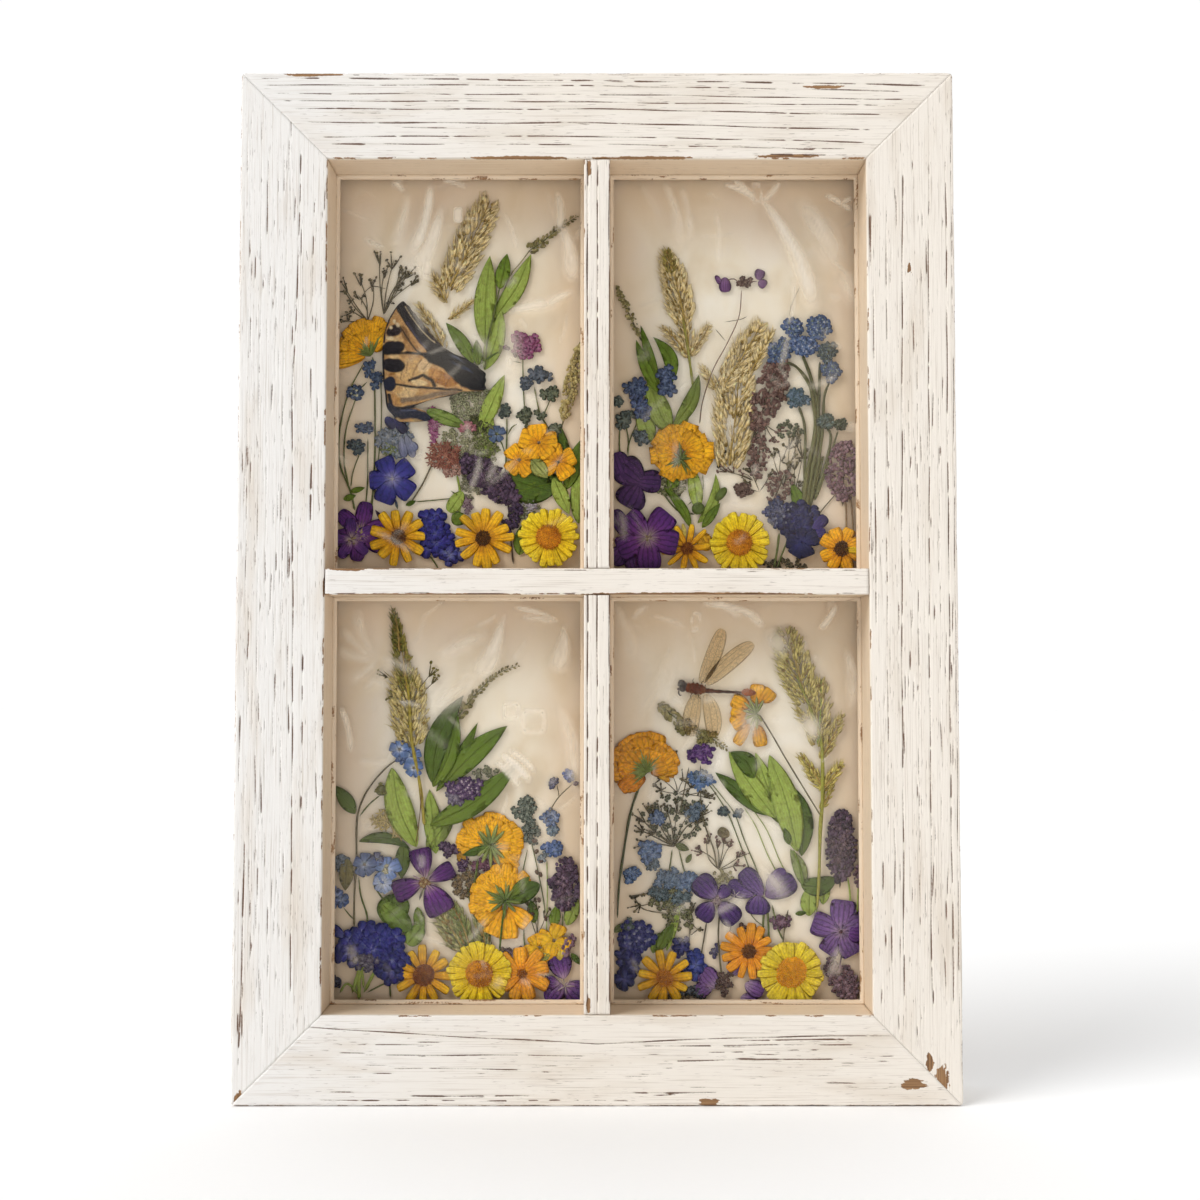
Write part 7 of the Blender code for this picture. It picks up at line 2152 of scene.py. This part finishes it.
        (stem, [(8, -5), (14, -14), (19, -26), (22, -32)], (0.2, 0.24), PALE_GREEN),
        (stem, [(37.4, -20), (36.6, -34), (35.2, -50)], (0.3, 0.3), PALE_GREEN, LOW),
        (stem, [(-24.6, -22), (-22, -32), (-19, -38)], (0.3, 0.35), STALK),
        (stem, [(-27.4, -22), (-29, -34)], (0.3, 0.35), STALK),
        (stem, [(-31, -42), (-29, -50), (-28.4, -56)], (0.26, 0.3), STALK),
        (stem, [(-44, -43), (-40, -48), (-30, -50)], (0.26, 0.2), BROWN_STALK),
        (stem, [(-19, -46), (-20, -60), (-21.6, -76)], (0.35, 0.4), BROWN_STALK),
        (stem, [(-12.4, -53), (-14.6, -66), (-16, -74)], (0.3, 0.35), BROWN_STALK),
        (stem, [(-7, -50), (-7.4, -62), (-5.6, -82)], (0.4, 0.45), BROWN_STALK, LOW),
        (stem, [(-3, -60), (-1.6, -54)], (0.24, 0.2), BROWN_STALK),
        (stem, [(6, -49), (9, -53), (13.4, -56)], (0.2, 0.2), STALK),
        (stem, [(14, -48), (14.4, -56), (14.6, -62)], (0.5, 0.5), STALK, LOW + 0.2),
        (stem, [(12.6, -48), (12, -56), (12.4, -62)], (0.5, 0.5), STALK, LOW + 0.3),
        (stem, [(16, -46), (18, -55), (21, -62)], (0.4, 0.4), STALK, LOW + 0.2),
        (stem, [(23, -48), (21.6, -55), (20.4, -64)], (0.34, 0.34), BROWN_STALK, LOW),
        (stem, [(49, -34), (50, -42), (50, -50)], (0.4, 0.5), PALE_GREEN, LOW + 0.2),
        (stem, [(53.6, -32), (53.4, -42), (53, -50)], (0.3, 0.4), PALE_GREEN, LOW + 0.2),
        (stem, [(46.6, -66), (45.4, -72), (46, -78)], (0.4, 0.4), PLUM, LOW + 0.1),
        (leaf, (26, -50), (31, -49.4), 2.2, LOW, DARK_GREEN),
        (leaf, (-34, -66), (-27, -54), 5.6, LOW, GREEN),
        (leaf, (-36, -67), (-33, -58), 4.4, LOW + 0.2, GREEN),
        (leaf, (-30, -66), (-24, -46), 3.4, LOW + 0.2, PALE_GREEN),
    ],
    "seed_heads": [
        (raceme, [(-34, 41), (-27.6, 36.4), (-21, 31.6), (-12, 27.4), (-3.4, 21.4)], 1.0, 70, OLIVE_SEED,
         {"spread": 2.2}),
        (spray_of, -22, 31, 8, 7, 26, 1.5, 5, ("#a8a06a", "#8a8450", "#6c683e"), BEHIND - 0.5),
        (spray_of, -12.6, 27, 10, 6, 22, 1.4, 5, ("#a8a06a", "#8a8450", "#6c683e"), BEHIND - 0.5),
        (umbel, (-26.6, -21), [(-34, -6), (-30, -4), (-25, -3), (-20, -6), (-15.6, -9), (-39, -5), (-42, -8),
                               (-37, -14), (-43, -13),
                               (-13, -5), (-41, -19)], SEED, {"seeds": 6, "spread": 2.0, "radius": 0.3}),
        (umbel, (-25, 2), [(-34, 10), (-28, 12), (-22, 9), (-18, 5), (-13.6, 3), (-34, 4), (-11, 0)], SEED,
         {"seeds": 6, "spread": 2.0}),
        (umbel, (-7.2, -31), [(-16, -22), (-8, -19.6), (-1.4, -19), (2.4, -24.6), (-12.6, -17), (-4.6, -17),
                              (0.6, -29)], BROWN_MAUVE,
         {"seeds": 5, "spread": 1.5, "radius": 0.24}),
        (umbel, (-24, 14), [(-28, 20), (-25, 18.4), (-30, 16)], SEED, {"spread": 1.4}),
        (umbel, (-31, -42), [(-44, -42), (-38, -40), (-43.6, -47)], SEED, {"spread": 1.3}),
        (umbel, (-22, -52), [(-15, -58), (-28, -48), (-18, -47)], SEED, {"spread": 1.5}),
        (spray_of, -29, -44, 18, 12, 26, 1.5, 5, ("#a3a27c", "#767850", "#5c6040"), BEHIND - 0.3),
        (spray_of, -24, -52, 16, 12, 22, 1.5, 5, ("#a3a27c", "#767850", "#5c6040"), BEHIND - 0.3),
        (spray_of, -26, -8, 30, 22, 54, 1.2, 5, ("#8f9078", "#5f6450", "#454a3c"), BEHIND - 0.2),
        (spray_of, -5.6, -34, 8, 7, 14, 1.2, 5, ("#b9b088", "#8a8560"), BEHIND - 0.2),
        (spray_of, -27, -85, 16, 4, 12, 1.2, 5, ("#8a7a5c", "#5c4c3c"), BEHIND - 0.2),
    ],
    "small_blue_flowers": [
        (spray_of, -14.8, 8, 12, 7, 16, 2.3, 6, ("#8fa8c8", "#6482b4", "#5272a4"), LOW, {"width": 0.5}),
        (spray_of, -15, 10, 6, 4, 6, 1.7, 5, ("#7a8a98", "#4c5f78"), LOW - 0.2),
        (spray_of, -33.6, -8.6, 7, 6, 7, 2.2, 5, ("#9fb0cc", "#6a7fa8", "#566a90"), LOW),
        (spray_of, -18, -6, 10, 9, 12, 1.9, 5, ("#8fa0b0", "#62758c", "#4c5c6c"), LOW + 0.2),
        (spray_of, -38, -22.4, 9, 10, 9, 3.0, 5, ("#9ab0d4", "#6682b4", "#54709c"), LOW),
        (spray_of, -35.6, -28.6, 5, 5, 5, 2.2, 5, ("#7a8c9c", "#54677c"), LOW),
        (spray_of, -44.6, -32.4, 8, 7, 9, 2.6, 5, ("#9ab0d4", "#5f7cae", "#4c6894"), LOW),
        (spray_of, -28, -35, 14, 9, 16, 2.4, 5, ("#94a8c4", "#617a9c", "#50667c"), LOW),
        (spray_of, -21, -35.6, 10, 9, 12, 2.4, 5, ("#94a8c8", "#5f7aa4", "#4c6488"), LOW - 0.1),
        (spray_of, -33, -41, 9, 6, 10, 2.0, 5, ("#8296a4", "#5a6e78", "#46565c"), LOW),
        (spray_of, -24, -43, 10, 6, 10, 1.9, 5, ("#8296a4", "#5a6e78", "#46565c"), LOW + 0.1),
        (spray_of, -46.6, -55, 7, 5, 8, 1.8, 5, ("#8a9898", "#5c6c6c", "#485654"), LOW),
        (spray_of, -5, -5.6, 5, 5, 6, 1.9, 5, ("#7c8c8c", "#4c5c64", "#384448"), LOW),
        (spray_of, 1.4, -6, 4, 5, 5, 1.7, 5, ("#7c8c9c", "#566a7c", "#404c58"), LOW),
        (spray_of, -24, -64.4, 9, 8, 5, 3.2, 4, ("#4a4f90", "#2a2c70", "#20225a"), LOW - 0.2,
         {"width": 0.9}),
        (spray_of, -17.4, -72.6, 9, 14, 7, 4.0, 5, ("#6a78b8", "#30409a", "#27347e"), LOW + 0.1,
         {"width": 0.9}),
        (spray_of, -9.6, -66, 4, 6, 4, 2.0, 4, ("#5c5a80", "#34305c"), LOW),
        (spray_of, -18, -83, 14, 6, 7, 2.4, 5, ("#7a8290", "#3c4450", "#2c3238"), LOW + 0.2),
    ],
    "small_violet_flowers": [
        (spray_of, -15.6, 19.6, 12, 8, 14, 2.0, 5, ("#9a7ab0", "#6a3f8a", "#502c70"), LOW - 0.2,
         {"width": 0.9}),
        (beads, [(-20, 20), (-16.4, 22.6), (-9.6, 21.6), (-11.4, 15.6), (-18, 16.4)], 1.2,
         ("#54307a", "#3f2260"), LOW - 0.4),
        (spike, (45.6, -36), (46.8, -5), 13, 330, PLUM, {"size": 0.95, "depth": LOW}),
        (spray_of, 46.4, -19, 11, 25, 40, 1.6, 5, ("#9a8290", "#604a58", "#42303c"), LOW - 0.5),
        (spike, (53.4, -39), (54, -29), 5, 40, MAUVE, {"size": 0.8}),
        (spike, (50, -87), (44, -72), 12, 150, MAUVE, {"size": 0.95, "depth": LOW}),
        (spray_of, 48, -81, 11, 11, 20, 1.8, 5, ("#a48c9c", "#745a6c", "#523c4c"), LOW - 0.4),
        (spray_of, 41.6, -73, 7, 10, 14, 1.7, 5, ("#8c7484", "#5f4656", "#46303e"), LOW),
        (spray_of, 20.4, -53.4, 9, 7, 10, 2.3, 5, ("#a4889c", "#77586c", "#5c4052"), LOW),
        (beads, [(2.6, -55), (3.6, -56)], 1.2, ("#5a4034", "#6a4c3a"), LOW),
        (blades, [(-8, -82), (-10, -80), (-3, -76), (4, -80), (2, -86)],
         [(-14.6, -74), (-17, -84), (2.4, -70), (12, -84), (9, -88)],
         [9, 7, 8, 8, 7], ("#b09cb8", "#7a569c", "#684488"), LOW,
         {"foot": 0.6, "end": 0.35, "rows": 14, "across": 7, "ruffle": 0.3}),
        (spray_of, -5, -80, 8, 12, 18, 1.5, 5, ("#8f7c74", "#66504c", "#4c3a38"), LOW - 0.5),
    ],
}


def lay_bed(pane):
    """Lays every specimen of one pane: each step is a maker, the values it takes, and last its settings by
    name."""
    for name, steps in BEDS[pane].items():
        cut = Cutting(pane, name)
        for maker, *values in steps:
            settings = values.pop() if isinstance(values[-1], dict) else {}
            maker(cut, *values, **settings)
        cut.finish()


for pane in PANES:
    lay_bed(pane)
swallowtail()
dragonfly()


# Floor, light and camera


def card():
    """The pale floor: matt white paper, with a faint tooth."""
    material, tree, out = new_material("matt_white_paper")
    place = add(tree, "ShaderNodeTexCoord").outputs["Object"]
    tooth = add(tree, "ShaderNodeTexNoise", {0: place, "Scale": 400.0, "Detail": 2.0}).outputs[0]
    colour = add(tree, "ShaderNodeMix", {0: tooth, 6: "#f8f8f8", 7: "#fafafa"}, data_type="RGBA").outputs[2]
    surface = add(tree, "ShaderNodeBsdfPrincipled", {"Base Color": colour, "Roughness": 0.9})
    tree.links.new(surface.outputs[0], out.inputs[0])
    return material


floor_mesh = bpy.data.meshes.new("floor")
floor_mesh.from_pydata([(-8, -8, 0), (8, -8, 0), (8, 8, 0), (-8, 8, 0)], [], [(0, 1, 2, 3)])
floor_mesh.materials.append(card())
floor = bpy.data.objects.new("floor", floor_mesh)
bpy.context.scene.collection.objects.link(floor)


def turned_to(way):
    """The turn that points a lamp along a direction."""
    return (np.arctan2(np.hypot(way[0], way[1]), -way[2]), 0, np.arctan2(way[1], way[0]) - np.pi / 2)


def softbox(name, place, aim, size, watts, colour):
    """A square area light at a place, turned to face an aim."""
    light = bpy.data.lights.new(name, "AREA")
    light.shape = "SQUARE"
    light.size = size
    light.energy = watts
    light.color = linear(colour)[:3]
    lamp = bpy.data.objects.new(name, light)
    bpy.context.scene.collection.objects.link(lamp)
    lamp.location = place
    lamp.rotation_euler = turned_to(np.array(aim, float) - np.array(place, float))


softbox("fill_right", (1.5, -1.1, 0.7), (0, 0, 0.22), 1.2, 1.5, "#fffaf4")

sunlight = bpy.data.lights.new("window_light_upper_left", "SUN")
sunlight.energy = 2.0
sunlight.angle = np.radians(38)
sun = bpy.data.objects.new("window_light_upper_left", sunlight)
bpy.context.scene.collection.objects.link(sun)
sun.rotation_euler = turned_to((0.66, 0.42, -0.62))

world = bpy.data.worlds.new("studio")
bpy.context.scene.world = world
world.use_nodes = True
sky = world.node_tree
sky.nodes.clear()
way = add(sky, "ShaderNodeTexCoord").outputs["Generated"]
depth = add(sky, "ShaderNodeSeparateXYZ", {0: way}).outputs["Y"]
# White behind, softer beside, and a dim room in front, which the film mirrors.
front = add(sky, "ShaderNodeMapRange", {0: depth, 1: -0.97, 2: -0.6, 3: 0.15, 4: 0.54}).outputs[0]
behind = add(sky, "ShaderNodeMapRange", {0: depth, 1: 0.0, 2: 0.15, 3: 0.0, 4: 0.468}).outputs[0]
strength = add(sky, "ShaderNodeMath", {0: front, 1: behind}, operation="ADD").outputs[0]
light = add(sky, "ShaderNodeBackground", {"Color": "#ffffff", "Strength": strength})
sky.links.new(light.outputs[0], add(sky, "ShaderNodeOutputWorld").inputs[0])

lens = bpy.data.cameras.new("camera")
lens.lens, lens.sensor_width = 48.24, 36
lens.clip_start = 0.01
camera = bpy.data.objects.new("camera", lens)
bpy.context.scene.collection.objects.link(camera)
camera.location = (0.0013, -0.696, 0.178)
camera.rotation_euler = (np.radians(90 + 2.76), 0, 0)
bpy.context.scene.camera = camera
bpy.context.scene.view_settings.view_transform = "Standard"
